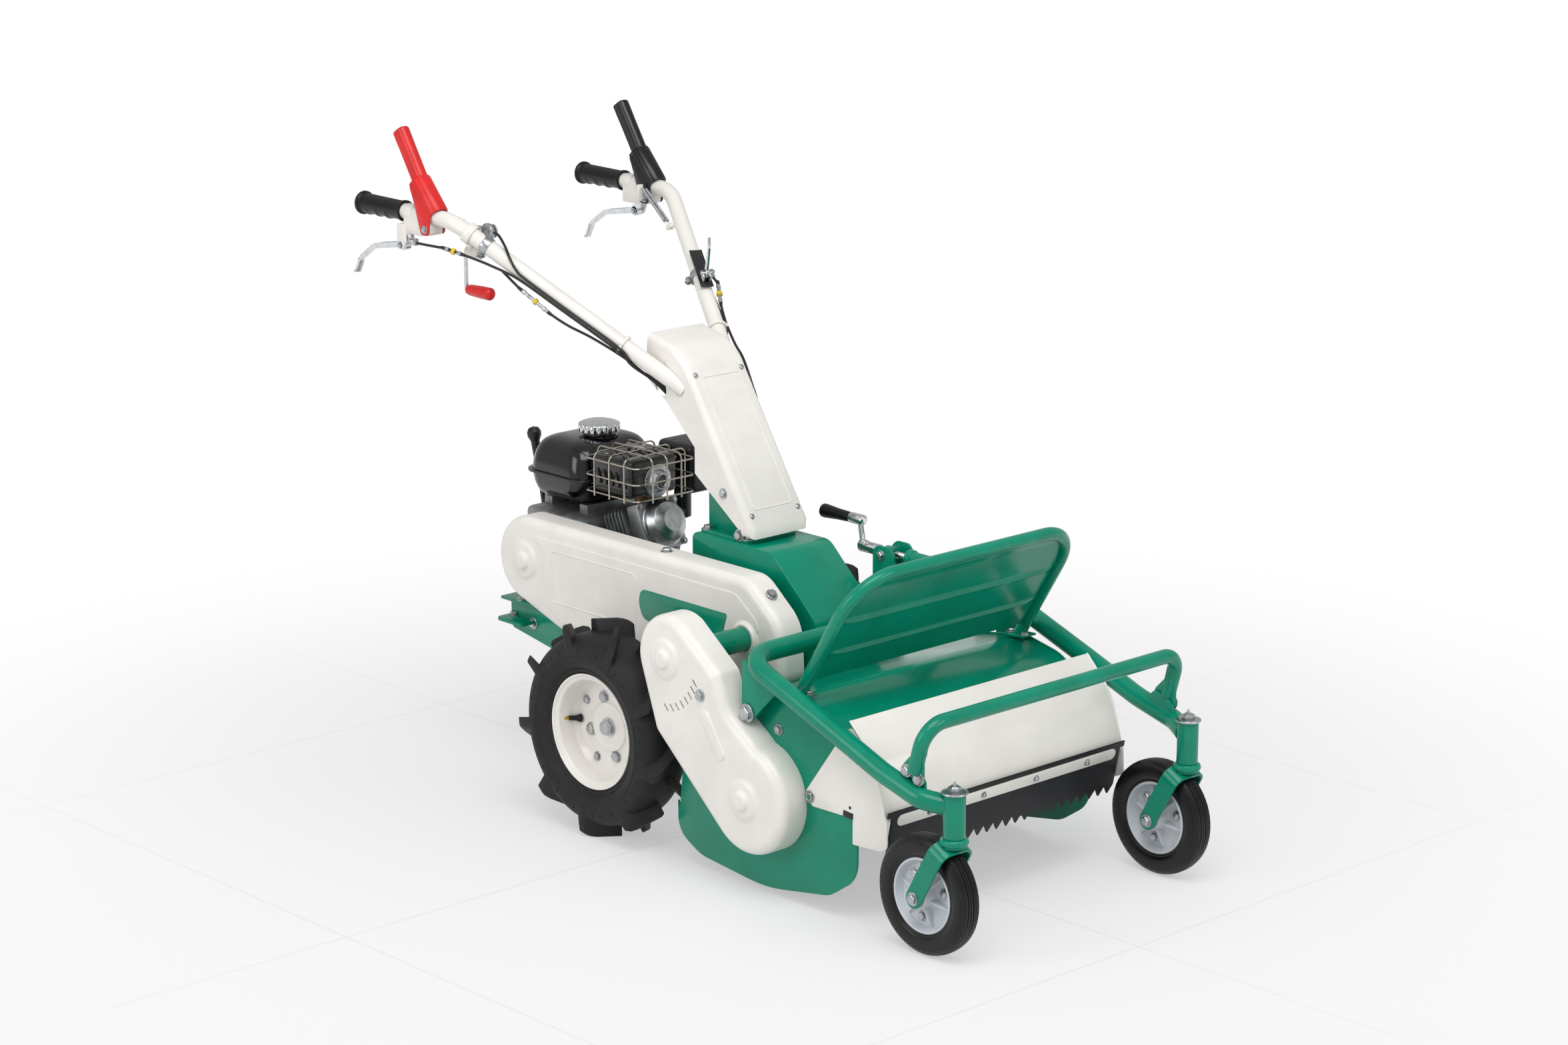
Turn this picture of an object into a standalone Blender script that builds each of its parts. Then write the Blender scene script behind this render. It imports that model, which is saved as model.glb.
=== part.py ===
"""Walk-behind hammer knife mower, in metres.

A rotor deck with hinged knives hangs in front of two lugged drive wheels. Two casters on a lift
arm carry its front. The engine stands behind the wheels, and a mast carries two handles.
The mower's right-hand side is -X, its front is -Y, and the ground is z = 0.
"""

import math

import bmesh
import bpy
from mathutils import Euler, Matrix, Vector

# Driving dimensions. A pair of numbers is a (y, z) place on an axis along X.
AXLE = (0.014, 0.191)
TRACK_HALF = 0.270
TYRE_HALF_WIDTH = 0.052
WHEEL_SIDES = 16
LUGS_PER_ROW = 9
LUG_TOP_HALF = 0.006

CASTER_X = 0.278
KINGPIN_Y = -0.835
CASTER_AXLE = (-0.781, 0.100)
CASTER_RADIUS = 0.100
CASTER_SIDES = 18

ARM_HINGE = (-0.386, 0.316)
ARM_TUBE_RADIUS = 0.017
ARM_X = 0.3025
HEAD_TUBE_TOP = 0.2800
HEAD_TUBE_BOTTOM = 0.2075
HEIGHT_PIN = (-0.379, 0.485)
HEIGHT_SCREW_X = 0.140

ROTOR_AXIS = (-0.407, 0.176)
JACKSHAFT_AXIS = (-0.214, 0.377)
CRANKSHAFT_AXIS = (0.378, 0.400)
SHIELD_HINGE = (-0.512, 0.197)
FLAP_PLACE = Matrix.Translation((0, -0.6728, 0.118)) @ Matrix.Rotation(0.205, 4, "X")
DECK_HALF_WIDTH = 0.280
SHEET = 0.004

ROTOR_COVER_X = -0.334
LONG_COVER_X = -0.152
LONG_COVER_BACK = -0.100
ENGINE_PULLEY, LONG_PULLEY = 0.034, 0.058
SHORT_PULLEY, ROTOR_PULLEY = 0.0350, 0.0480

YOKE_AXIS = (0.045, 0.7563)
HANDLE_RADIUS = 0.0145
GRIP_END = 0.689
GRIP_Z = 1.0300
LEVER_X, BRACKET_X = 0.2573, 0.2808
CLUTCH_AXIS = (0.489, 1.0065)
SQUEEZE_AXIS = (0.550, 0.9720)
THROTTLE_AXIS = (0.387, 1.0080)
CRANK_X, CRANK_Z = -0.2180, 0.9680
BRAKE_Y, BRAKE_PIVOT = 0.250, (-0.030, 0.036)
COLLAR_RADIUS = 0.0195
CABLE_RADIUS, CABLE_REACH = 0.0024, 0.0186
TIE_Y = 0.1446
SPRING_TOP, SPRING_FOOT = (0.2265, 0.4815, 1.0276), (0.2025, 0.3875, 0.9767)
SPRING_STEP = Vector((0.0045, -0.0042, 0.0))
SPRING_RADIUS = 0.0027

ENGINE_X = 0.020
CYLINDER_HEAD = (0.165, 0.485)
CAP_PLACE = (0.030, 0.380)
RECOIL_X, RECOIL_PULL = 0.132, (0.766, 0.643)
SHIFT_AXIS = (0.500, 0.3015)

GAP = 0.0003
WELD = 0.00002
SHIFT_TO_CENTRE = (0.0125, 0.0905, 0.0)

# Finishes: colour as sRGB hex, roughness, metallic.
LOOKS = {
    "green_paint": ("009678", 0.30, 0.0),
    "white_paint": ("EDE9E5", 0.35, 0.0),
    "red_plastic": ("E0241F", 0.40, 0.0),
    "black_rubber": ("1B1B1C", 0.75, 0.0),
    "black_paint": ("101012", 0.25, 0.0),
    "grey_plastic": ("D5D8DC", 0.45, 0.0),
    "zinc": ("B9BABD", 0.35, 1.0),
    "chrome": ("DADADC", 0.12, 1.0),
    "cast_aluminium": ("8E9093", 0.50, 1.0),
    "dark_steel": ("3A3B3D", 0.45, 1.0),
}

# Flat outlines lie in one of these planes; the third axis is the plate's thickness.
PLANES = {
    "yz": (Matrix(((0, 0, 1, 0), (1, 0, 0, 0), (0, 1, 0, 0), (0, 0, 0, 1))), Vector((1, 0, 0))),
    "xz": (Matrix(((1, 0, 0, 0), (0, 0, -1, 0), (0, 1, 0, 0), (0, 0, 0, 1))), Vector((0, 1, 0))),
    "xy": (Matrix.Identity(4), Vector((0, 0, 1))),
}


def empty_scene():
    """Remove every object and make the collection of the mower's parts."""
    for obj in list(bpy.data.objects):
        bpy.data.objects.remove(obj, do_unlink=True)
    collection = bpy.data.collections.new("hammer_knife_mower")
    bpy.context.scene.collection.children.link(collection)
    return collection


PARTS = empty_scene()
ROOT = bpy.data.objects.new("mower_root", None)
ROOT.location = SHIFT_TO_CENTRE
PARTS.objects.link(ROOT)


def linear(hex_colour):
    """Turn an sRGB hex colour into the linear values that a shader takes."""
    channels = [int(hex_colour[i:i + 2], 16) / 255 for i in (0, 2, 4)]
    return [((c + 0.055) / 1.055) ** 2.4 if c > 0.04045 else c / 12.92 for c in channels]


def give_look(obj, look):
    """Give a part its own material, from the finish named."""
    colour, roughness, metallic = LOOKS[look]
    material = bpy.data.materials.new(f"{obj.name}_{look}")
    material.use_nodes = True
    shader = material.node_tree.nodes["Principled BSDF"]
    shader.inputs["Base Color"].default_value = (*linear(colour), 1.0)
    shader.inputs["Roughness"].default_value = roughness
    shader.inputs["Metallic"].default_value = metallic
    obj.data.materials.clear()
    obj.data.materials.append(material)


def linked(name, data, place=None):
    """Put new mesh or curve data in the parts' collection as an object."""
    obj = bpy.data.objects.new(name, data)
    if place is not None:
        obj.matrix_world = place
    PARTS.objects.link(obj)
    return obj


def mesh_object(work):
    """Turn a finished bmesh into an object."""
    mesh = bpy.data.meshes.new("solid")
    work.to_mesh(mesh)
    work.free()
    return linked("solid", mesh)


def freeze(obj):
    """Turn a curve, or a mesh with modifiers, into one plain mesh with welded caps."""
    bpy.context.view_layer.update()
    graph = bpy.context.evaluated_depsgraph_get()
    mesh = bpy.data.meshes.new_from_object(obj.evaluated_get(graph))
    mesh.transform(obj.matrix_world)
    bpy.data.objects.remove(obj, do_unlink=True)
    work = bmesh.new()
    work.from_mesh(mesh)
    bmesh.ops.remove_doubles(work, verts=work.verts, dist=WELD)
    bmesh.ops.recalc_face_normals(work, faces=work.faces)
    work.to_mesh(mesh)
    work.free()
    return linked("solid", mesh)


def combine(base, tools, operation):
    """Apply the same Boolean between a base and each tool, and remove the tools."""
    for tool in tools:
        step = base.modifiers.new("step", "BOOLEAN")
        step.operation = operation
        step.object = tool
    result = freeze(base)
    for tool in tools:
        bpy.data.objects.remove(tool, do_unlink=True)
    return result


def join(base, *tools):
    """Weld solids that overlap into one."""
    return combine(base, tools, "UNION")


def cut(base, *tools):
    """Take solids away from a base."""
    return combine(base, tools, "DIFFERENCE")


def bevelled(obj, width, segments=1, angle=30.0):
    """Round every edge sharper than the angle."""
    rounding = obj.modifiers.new("rounding", "BEVEL")
    rounding.width = width
    rounding.segments = segments
    rounding.limit_method = "ANGLE"
    rounding.angle_limit = math.radians(angle)
    return freeze(obj)


def box(size, centre, turn=(0.0, 0.0, 0.0)):
    """A block of a size about its centre, turned by three angles."""
    work = bmesh.new()
    place = Matrix.Translation(centre) @ Euler(turn).to_matrix().to_4x4()
    bmesh.ops.create_cube(work, size=1.0, matrix=place @ Matrix.Diagonal((*size, 1.0)))
    return mesh_object(work)


def rod(start, end, radius, sides=12, end_radius=None):
    """A round bar, or a cone, between two points."""
    start, end = Vector(start), Vector(end)
    along = end - start
    turn = along.to_track_quat("Z", "Y").to_matrix().to_4x4()
    work = bmesh.new()
    bmesh.ops.create_cone(
        work, cap_ends=True, segments=sides, radius1=radius,
        radius2=radius if end_radius is None else end_radius,
        depth=along.length, matrix=Matrix.Translation((start + end) / 2) @ turn)
    return mesh_object(work)


def cross_rod(at, low, high, radius, sides=10):
    """A round bar along X at a (y, z) place."""
    return rod((low, *at), (high, *at), radius, sides)


def plate(loops, low, high, plane="yz"):
    """A flat outline, with any holes after it, between two levels across its plane."""
    turn, across = PLANES[plane]
    curve = bpy.data.curves.new("outline", "CURVE")
    curve.dimensions = "2D"
    curve.fill_mode = "BOTH"
    curve.extrude = abs(high - low) / 2
    for loop in loops:
        spline = curve.splines.new("POLY")
        spline.points.add(len(loop) - 1)
        for point, place in zip(spline.points, loop):
            point.co = (place[0], place[1], 0.0, 1.0)
        spline.use_cyclic_u = True
    return freeze(linked("outline", curve, Matrix.Translation(across * (low + high) / 2) @ turn))


def rounded(corners, closed=True, step=50.0):
    """Replace each corner of a path, given as (..., radius), by an arc of that radius."""
    points = []
    last = len(corners) - 1
    for index, corner in enumerate(corners):
        here, radius = Vector(corner[:-1]), corner[-1]
        if radius == 0 or (not closed and index in (0, last)):
            points.append(here)
            continue
        back = (Vector(corners[index - 1][:-1]) - here).normalized()
        ahead = (Vector(corners[(index + 1) % len(corners)][:-1]) - here).normalized()
        turn = math.pi - back.angle(ahead)
        reach = radius * math.tan(turn / 2)
        centre = here + (back + ahead).normalized() * (radius / math.cos(turn / 2))
        start = here + back * reach - centre
        end = here + ahead * reach - centre
        pieces = math.ceil(turn / math.radians(step) - 0.01)
        for k in range(pieces + 1):
            before = math.sin((1 - k / pieces) * turn)
            after = math.sin(k / pieces * turn)
            points.append(centre + (start * before + end * after) / math.sin(turn))
    return points


def arc(centre, radius, first, last, pieces):
    """Points along a circle between two angles in degrees."""
    angles = [math.radians(first + (last - first) * k / pieces) for k in range(pieces + 1)]
    return [(centre[0] + radius * math.cos(a), centre[1] + radius * math.sin(a)) for a in angles]


def inset(loop, distance):
    """Move a counter-clockwise outline inwards by a distance."""
    moved = []
    for index, here in enumerate(loop):
        here = Vector(here)
        before = (here - Vector(loop[index - 1])).normalized()
        after = (Vector(loop[(index + 1) % len(loop)]) - here).normalized()
        inward = Vector((-before.y - after.y, before.x + after.x)).normalized()
        share = max(0.3, inward.dot(Vector((-after.y, after.x))))
        moved.append(here + inward * (distance / share))
    return moved


def tube(points, radius, detail=2, closed=False):
    """A round tube along a path of points, with 4 + 2 * detail sides."""
    curve = bpy.data.curves.new("path", "CURVE")
    curve.dimensions = "3D"
    curve.bevel_depth = radius
    curve.bevel_resolution = detail
    curve.use_fill_caps = not closed
    spline = curve.splines.new("POLY")
    spline.points.add(len(points) - 1)
    for point, place in zip(spline.points, points):
        point.co = (*place, 1.0)
    spline.use_cyclic_u = closed
    return freeze(linked("path", curve))


def smooth(route, spacing):
    """Points about a spacing apart on a smooth curve through the points of a route."""
    ends = [route[0] * 2 - route[1], *route, route[-1] * 2 - route[-2]]
    path = []
    for before, start, end, after in zip(ends, ends[1:], ends[2:], ends[3:]):
        pieces = max(1, round((end - start).length / spacing))
        for k in range(pieces):
            t = k / pieces
            path.append(0.5 * (2 * start + (end - before) * t
                               + (2 * before - 5 * start + 4 * end - after) * t ** 2
                               + (3 * start - before - 3 * end + after) * t ** 3))
    return path + [route[-1]]


def turned(profile, centre, axis, sides=24, loop=False, phase=0.0):
    """Spin a profile of (radius, height) about an axis; it runs down its outer side."""
    work = bmesh.new()
    verts = [work.verts.new((radius, 0.0, height)) for radius, height in profile]
    for first, second in zip(verts, verts[1:]):
        work.edges.new((first, second))
    if loop:
        work.edges.new((verts[-1], verts[0]))
    obj = mesh_object(work)
    turn = Vector(axis).to_track_quat("Z", "Y").to_matrix().to_4x4()
    obj.matrix_world = Matrix.Translation(centre) @ turn @ Matrix.Rotation(phase, 4, "Z")
    spin = obj.modifiers.new("spin", "SCREW")
    spin.steps = sides
    spin.render_steps = sides
    spin.use_merge_vertices = True
    spin.merge_threshold = WELD
    return freeze(obj)


def loft(sections):
    """A closed solid through rings of points that have the same count."""
    work = bmesh.new()
    rings = [[work.verts.new(point) for point in section] for section in sections]
    count = len(rings[0])
    for near, far in zip(rings, rings[1:]):
        for k in range(count):
            work.faces.new((near[k], near[(k + 1) % count], far[(k + 1) % count], far[k]))
    work.faces.new(rings[0])
    work.faces.new(list(reversed(rings[-1])))
    bmesh.ops.recalc_face_normals(work, faces=work.faces)
    return mesh_object(work)


def finish(obj, name, look, pivot=(0.0, 0.0, 0.0)):
    """Name a part, give it its finish, and put its origin on its pivot."""
    obj.name = name
    obj.data.name = name
    obj.data.transform(Matrix.Translation(-Vector(pivot)))
    obj.location = pivot
    obj.parent = ROOT
    obj.data.shade_smooth()
    obj.data.set_sharp_from_angle(angle=math.radians(35))
    give_look(obj, look)
    return obj


def side_name(side):
    """The mower's own right and left, as its user stands behind it."""
    return "right" if side < 0 else "left"


# Drive wheels.
def drive_tyre(side):
    """A tractor tyre: a round carcass with two staggered rows of slanted lugs."""
    half = [(0.0970, 0.0330), (0.1042, 0.0345), (0.1250, 0.0500), (0.1480, TYRE_HALF_WIDTH),
            (0.1700, 0.0360)]
    profile = half + [(radius, -height) for radius, height in reversed(half)]
    centre = (side * TRACK_HALF, *AXLE)
    carcass = turned(profile, centre, (side, 0, 0), WHEEL_SIDES, loop=True)
    axle_y, axle_z = AXLE
    quarter_pitch = math.pi / LUGS_PER_ROW / 2
    tip = axle_z / math.cos(quarter_pitch - LUG_TOP_HALF / axle_z)
    # Each station: distance from the centre line, foot and top radius, half widths, skew angle.
    stations = [(0.003, 0.160, tip, 0.012, LUG_TOP_HALF, 0.0),
                (0.046, 0.142, tip - 0.006, 0.016, LUG_TOP_HALF + 0.002, 0.23)]
    lugs = []
    for row in (-1, 1):
        for index in range(LUGS_PER_ROW):
            base = -math.pi / 2 + quarter_pitch * (4 * index + row)
            sections = []
            for out, foot, top, foot_half, top_half, skew in stations:
                corners = [(foot, -foot_half), (foot, foot_half), (top, top_half), (top, -top_half)]
                ring = []
                for radius, sideways in corners:
                    angle = base + skew + sideways / radius
                    ring.append((side * TRACK_HALF + row * out, axle_y + radius * math.cos(angle),
                                 axle_z + radius * math.sin(angle)))
                sections.append(ring)
            lugs.append(loft(sections))
    return join(carcass, *lugs)


def drive_rim(side):
    """A pressed steel rim: rolled flanges, dropped centre and a dished disc with four bolts."""
    profile = [(0.1030, 0.0385), (0.1030, 0.0352), (0.0962, 0.0340), (0.0962, -0.0340),
               (0.1030, -0.0352), (0.1030, -0.0385), (0.0900, -0.0370), (0.0870, -0.0150),
               (0.0110, -0.0150), (0.0110, -0.0050), (0.0400, -0.0050), (0.0410, -0.0090),
               (0.0800, -0.0090), (0.0900, 0.0370)]
    centre = (side * TRACK_HALF, *AXLE)
    rim = turned(profile, centre, (side, 0, 0), WHEEL_SIDES, loop=True)
    bolt_circle, bolt_seat = 0.053, side * (TRACK_HALF - 0.0100)
    bolts = []
    for index in range(4):
        angle = math.radians(73 + 90 * index)
        at = (AXLE[0] + bolt_circle * math.cos(angle), AXLE[1] + bolt_circle * math.sin(angle))
        bolts.append(cross_rod(at, bolt_seat, bolt_seat + side * 0.008, 0.0095, 6))
    return join(rim, half_shaft(side), *bolts)


def half_shaft(side):
    """The driven shaft of one wheel, with the flange behind the rim and its end nut."""
    tip, flange = TRACK_HALF + 0.008, TRACK_HALF - 0.0140
    profile = [(0.0, tip), (0.0125, tip), (0.0125, flange), (0.0420, flange),
               (0.0420, flange - 0.006), (0.0230, flange - 0.010), (0.0125, flange - 0.022),
               (0.0125, 0.100), (0.0, 0.100)]
    return turned(profile, (0, *AXLE), (side, 0, 0), 10)


def make_drive_wheels():
    """The tyre of each drive wheel, and its rim with the half shaft that turns it."""
    for side in (-1, 1):
        name = side_name(side)
        pivot = (side * TRACK_HALF, *AXLE)
        finish(drive_tyre(side), f"drive_tyre_{name}", "black_rubber", pivot)
        finish(drive_rim(side), f"drive_rim_{name}", "white_paint", pivot)


# Casters and the lift arm.
def caster_fork(side):
    """A strap arched over the wheel, with a flared cup, the kingpin and its top nut."""
    x = side * CASTER_X
    axle = Vector((x, *CASTER_AXLE))
    crown = Vector((x, KINGPIN_Y, 0.197))
    lean = (crown - axle).normalized()
    tilt = math.atan2(-lean.y, lean.z)
    half_width, leg_x, strap = 0.0165, 0.0335, 0.005
    reach = (crown - axle).length
    place = Matrix.Translation(axle) @ Matrix.Rotation(tilt, 4, "X")
    foot = arc((0.0, 0.0), half_width, -180, 0, 5)
    leg = foot + [(half_width, reach - 0.02), (-half_width, reach - 0.02)]
    legs = [plate([leg], sign * leg_x - strap / 2, sign * leg_x + strap / 2) for sign in (-1, 1)]
    outer = leg_x + strap / 2 + 0.0006
    inner = leg_x - strap / 2 - 0.0006
    low, high = reach - 0.035, reach - 0.003
    arch = rounded([(-outer, low, 0), (-outer, high, 0.018), (outer, high, 0.018), (outer, low, 0),
                    (inner, low, 0), (inner, high - 0.005, 0.013), (-inner, high - 0.005, 0.013),
                    (-inner, low, 0)], step=45)
    bridge = plate([arch], -half_width - 0.0006, half_width + 0.0006, "xz")
    fork = join(legs[0], legs[1], bridge)
    fork.data.transform(place)
    cup_top, washer = HEAD_TUBE_BOTTOM - GAP, HEAD_TUBE_TOP + GAP
    profile = [(0.0, 0.3000), (0.0105, 0.2960), (0.0105, 0.2830), (0.0200, 0.2830),
               (0.0200, washer), (0.0100, washer), (0.0100, cup_top), (0.0175, cup_top),
               (0.0230, 0.1985), (0.0100, 0.1920), (0.0, 0.1920)]
    kingpin = turned(profile, (x, KINGPIN_Y, 0), (0, 0, 1), 10)
    bolt = cross_rod(CASTER_AXLE, x - 0.0440, x + 0.0440, 0.0060, 6)
    return join(fork, kingpin, bolt)


def caster_rim(side):
    """A moulded plastic wheel centre with radial gussets on both faces."""
    x = side * CASTER_X
    profile = [(0.0628, 0.0170), (0.0628, -0.0170), (0.0570, -0.0170), (0.0540, -0.0030),
               (0.0200, -0.0030), (0.0190, -0.0280), (0.0066, -0.0280), (0.0066, 0.0280),
               (0.0190, 0.0280), (0.0200, 0.0030), (0.0540, 0.0030), (0.0570, 0.0170)]
    centre = (x, *CASTER_AXLE)
    rim = turned(profile, centre, (1, 0, 0), CASTER_SIDES, loop=True)
    gussets = []
    for index in range(3):
        turn = math.radians(60 * index + 15)
        block = box((0.020, 0.119, 0.0035), centre, (turn, 0, 0))
        bore = cross_rod(CASTER_AXLE, x - 0.03, x + 0.03, 0.0170, 8)
        gussets.append(cut(block, bore))
    return join(rim, *gussets)


def caster_tyre(side):
    """A solid rubber tyre."""
    tread = CASTER_RADIUS / math.cos(math.pi / CASTER_SIDES)
    half = [(0.0633, 0.0165), (0.0720, 0.0200), (0.0920, 0.0190), (tread, 0.0080)]
    profile = half + [(radius, -height) for radius, height in reversed(half)]
    return turned(profile, (side * CASTER_X, *CASTER_AXLE), (1, 0, 0), CASTER_SIDES, loop=True)


def make_casters():
    """Fork, wheel centre and tyre of each caster."""
    for side in (-1, 1):
        name = side_name(side)
        axle = (side * CASTER_X, *CASTER_AXLE)
        kingpin = (side * CASTER_X, KINGPIN_Y, HEAD_TUBE_BOTTOM)
        finish(caster_fork(side), f"caster_fork_{name}", "green_paint", kingpin)
        finish(caster_rim(side), f"caster_rim_{name}", "grey_plastic", axle)
        finish(caster_tyre(side), f"caster_tyre_{name}", "black_rubber", axle)


# Lift arm.
def arm_path():
    """The U of the lift arm, from one kingpin tube round the back to the other."""
    half = [(CASTER_X + 0.002, -0.826, 0.258, 0.0), (ARM_X, -0.785, 0.265, 0.050),
            (ARM_X, -0.700, 0.288, 0.120), (ARM_X, -0.586, 0.331, 0.150),
            (ARM_X, -0.375, 0.408, 0.055)]
    right = [(-x, y, z, radius) for x, y, z, radius in half]
    return rounded(right + list(reversed(half)), closed=False, step=45)


def lift_arm():
    """The U-shaped tube with kingpin tubes, hinge gussets and the ears of the height screw."""
    frame = tube(arm_path(), ARM_TUBE_RADIUS, 2)
    pieces, bores = [], []
    for side in (-1, 1):
        x = side * CASTER_X
        pieces.append(rod((x, KINGPIN_Y, HEAD_TUBE_BOTTOM), (x, KINGPIN_Y, HEAD_TUBE_TOP), 0.018, 12))
        bores.append(rod((x, KINGPIN_Y, 0.20), (x, KINGPIN_Y, 0.29), 0.0108, 10))
        y, z = ARM_HINGE
        gusset = arc(ARM_HINGE, 0.015, -150, 0, 5) + [(y + 0.013, z + 0.088), (y - 0.078, z + 0.058)]
        pieces.append(plate([gusset], side * (ARM_X - 0.0025), side * (ARM_X + 0.0025)))
        bores.append(cross_rod(ARM_HINGE, side * 0.29, side * 0.32, 0.0065))
        ear = [(-0.738, 0.280), (-0.738, 0.303), (-0.748, 0.312), (-0.777, 0.303), (-0.788, 0.290),
               (-0.788, 0.268)]
        pieces.append(plate([ear], side * 0.2920, side * 0.2965))
        y, z = HEIGHT_PIN
        lug = arc(HEIGHT_PIN, 0.011, 0, 180, 6) + [(y - 0.018, z - 0.080), (y + 0.016, z - 0.080)]
        x = HEIGHT_SCREW_X + side * 0.018
        pieces.append(plate([lug], x - 0.002, x + 0.002))
    bores.append(cross_rod(HEIGHT_PIN, HEIGHT_SCREW_X - 0.03, HEIGHT_SCREW_X + 0.03, 0.0054, 12))
    return cut(join(frame, *pieces), *bores)


def push_bar():
    """The bent tube across the front, with a flat foot at each end."""
    half = [(0.3010, -0.770, 0.306, 0.0), (0.3010, -0.792, 0.385, 0.045)]
    right = [(-x, y, z, radius) for x, y, z, radius in half]
    bar = tube(rounded(right + list(reversed(half)), closed=False, step=25), 0.0125, 2)
    feet = []
    for side in (-1, 1):
        foot = [(-0.740, 0.2990), (-0.745, 0.314), (-0.768, 0.338), (-0.788, 0.338),
                (-0.788, 0.2880)]
        feet.append(plate([foot], side * (0.2965 + GAP), side * 0.3015))
    return join(bar, *feet)


def height_nut():
    """The threaded tube that the height screw draws along, with its two side pins."""
    y, z = HEIGHT_PIN
    profile = [(0.0125, 0.066), (0.0125, -0.066), (0.0085, -0.066), (0.0085, 0.066)]
    body = turned(profile, (HEIGHT_SCREW_X, y, z), (0, 1, 0), 12, loop=True)
    pins = []
    for side in (-1, 1):
        x = HEIGHT_SCREW_X + side * 0.0100
        pins.append(cross_rod(HEIGHT_PIN, x, x + side * 0.0118, 0.0050, 8))
    return join(body, *pins)


def height_crank():
    """The screw with its chromed hub, cranked arm and tapered grip."""
    x, z = HEIGHT_SCREW_X, HEIGHT_PIN[1]
    screw = rod((x, -0.425, z), (x, -0.270, z), 0.0060, 10)
    hub = rod((x, -0.2750, z), (x, -0.1990, z), 0.0062, 12)
    collar = rod((x, -0.2440, z), (x, -0.1950, z), 0.0100, 12)
    arm = rod((x, -0.2010, z - 0.004), (x, -0.1900, z + 0.050), 0.0062, 8)
    pin = rod((x, -0.2000, z + 0.046), (x, -0.1700, z + 0.046), 0.0095, 12)
    grip = turned([(0.0, 0.0730), (0.0100, 0.0730), (0.0125, 0.0690), (0.0100, 0.0350), (0.0085, 0.0),
                   (0.0, 0.0)], (x, -0.1720, z + 0.046), (0, 1, 0), 10)
    return join(screw, hub, collar, arm, pin, grip)


def height_bracket():
    """Two ears with a bearing block for the screw, bolted to the side of the mast base."""
    x, z = HEIGHT_SCREW_X, HEIGHT_PIN[1]
    ear = [(-0.305, 0.392), (-0.250, 0.372), (-0.250, 0.492), (-0.262, 0.502), (-0.290, 0.502),
           (-0.302, 0.490)]
    ears = [plate([ear], x + side * 0.023 - 0.0022, x + side * 0.023 + 0.0022) for side in (-1, 1)]
    block = box((0.046, 0.020, 0.026), (x, -0.270, z))
    foot_low = 0.0703
    foot = box((x + 0.025 - foot_low, 0.050, 0.0050), ((x + 0.025 + foot_low) / 2, -0.2775, 0.3900),
               (-0.35, 0, 0))
    flange = plate([[(-0.302, 0.345), (-0.256, 0.345), (-0.256, 0.398), (-0.302, 0.414)]],
                   foot_low, foot_low + 0.005)
    bracket = join(ears[0], ears[1], block, foot, flange)
    return cut(bracket, rod((x, -0.30, z), (x, -0.24, z), 0.0066, 12))


def make_lift_arm():
    """The arm, the push bar, and the screw and crank that set the cutting height."""
    hinge = (0, *ARM_HINGE)
    screw = (HEIGHT_SCREW_X, -0.270, HEIGHT_PIN[1])
    finish(lift_arm(), "lift_arm", "green_paint", hinge)
    finish(push_bar(), "push_bar", "green_paint", hinge)
    finish(height_nut(), "height_nut", "green_paint", (HEIGHT_SCREW_X, *HEIGHT_PIN))
    finish(height_crank(), "height_crank", "chrome", screw)
    finish(height_bracket(), "height_bracket", "green_paint")


# Deck.
def thickened(path, thickness):
    """A closed outline a thickness wide to the left of an open path."""
    far = []
    for index, here in enumerate(path):
        here = Vector(here)
        ahead = Vector(path[min(index + 1, len(path) - 1)])
        back = Vector(path[max(index - 1, 0)])
        along = (ahead - back).normalized()
        far.append(here + Vector((-along.y, along.x)) * thickness)
    return [Vector(point) for point in path] + list(reversed(far))


def deck_housing():
    """Two side plates and a folded roof over the rotor, with the hinge pins they carry."""
    roof = rounded([(-0.188, 0.100, 0), (-0.200, 0.205, 0.050), (-0.335, 0.330, 0.080),
                    (-0.464, 0.353, 0.100), (-0.545, 0.336, 0.080), (-0.590, 0.304, 0)], closed=False)
    bottom = rounded([(-0.620, 0.250, 0), (-0.620, 0.080, 0.055), (-0.555, 0.036, 0.060),
                      (-0.403, 0.010, 0.300), (-0.240, 0.026, 0.080), (-0.183, 0.056, 0.045),
                      (-0.183, 0.110, 0)], closed=False)
    pieces = []
    for side in (-1, 1):
        outer, inner = side * DECK_HALF_WIDTH, side * (DECK_HALF_WIDTH - SHEET)
        pieces.append(plate([bottom + roof], inner, outer))
        pieces.append(cross_rod(ARM_HINGE, inner, side * (ARM_X - 0.0028), 0.0110, 8))
        pieces.append(cross_rod(ARM_HINGE, inner, side * 0.3120, 0.0060))
        pieces.append(cross_rod(ARM_HINGE, side * (ARM_X + 0.0028), side * 0.3130, 0.0105, 6))
        pieces.append(cross_rod(SHIELD_HINGE, inner, side * 0.2872, 0.0080))
    lowered = [(y, z - 0.001) for y, z in roof]
    sheet = plate([thickened(lowered, 0.003)], -0.278, 0.278)
    rail = box((0.556, 0.020, 0.020), (0, -0.586, 0.296))
    bore = cross_rod(ROTOR_AXIS, -DECK_HALF_WIDTH - 0.01, -DECK_HALF_WIDTH + 0.01, 0.0140, 12)
    return cut(join(sheet, rail, *pieces), bore)


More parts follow.
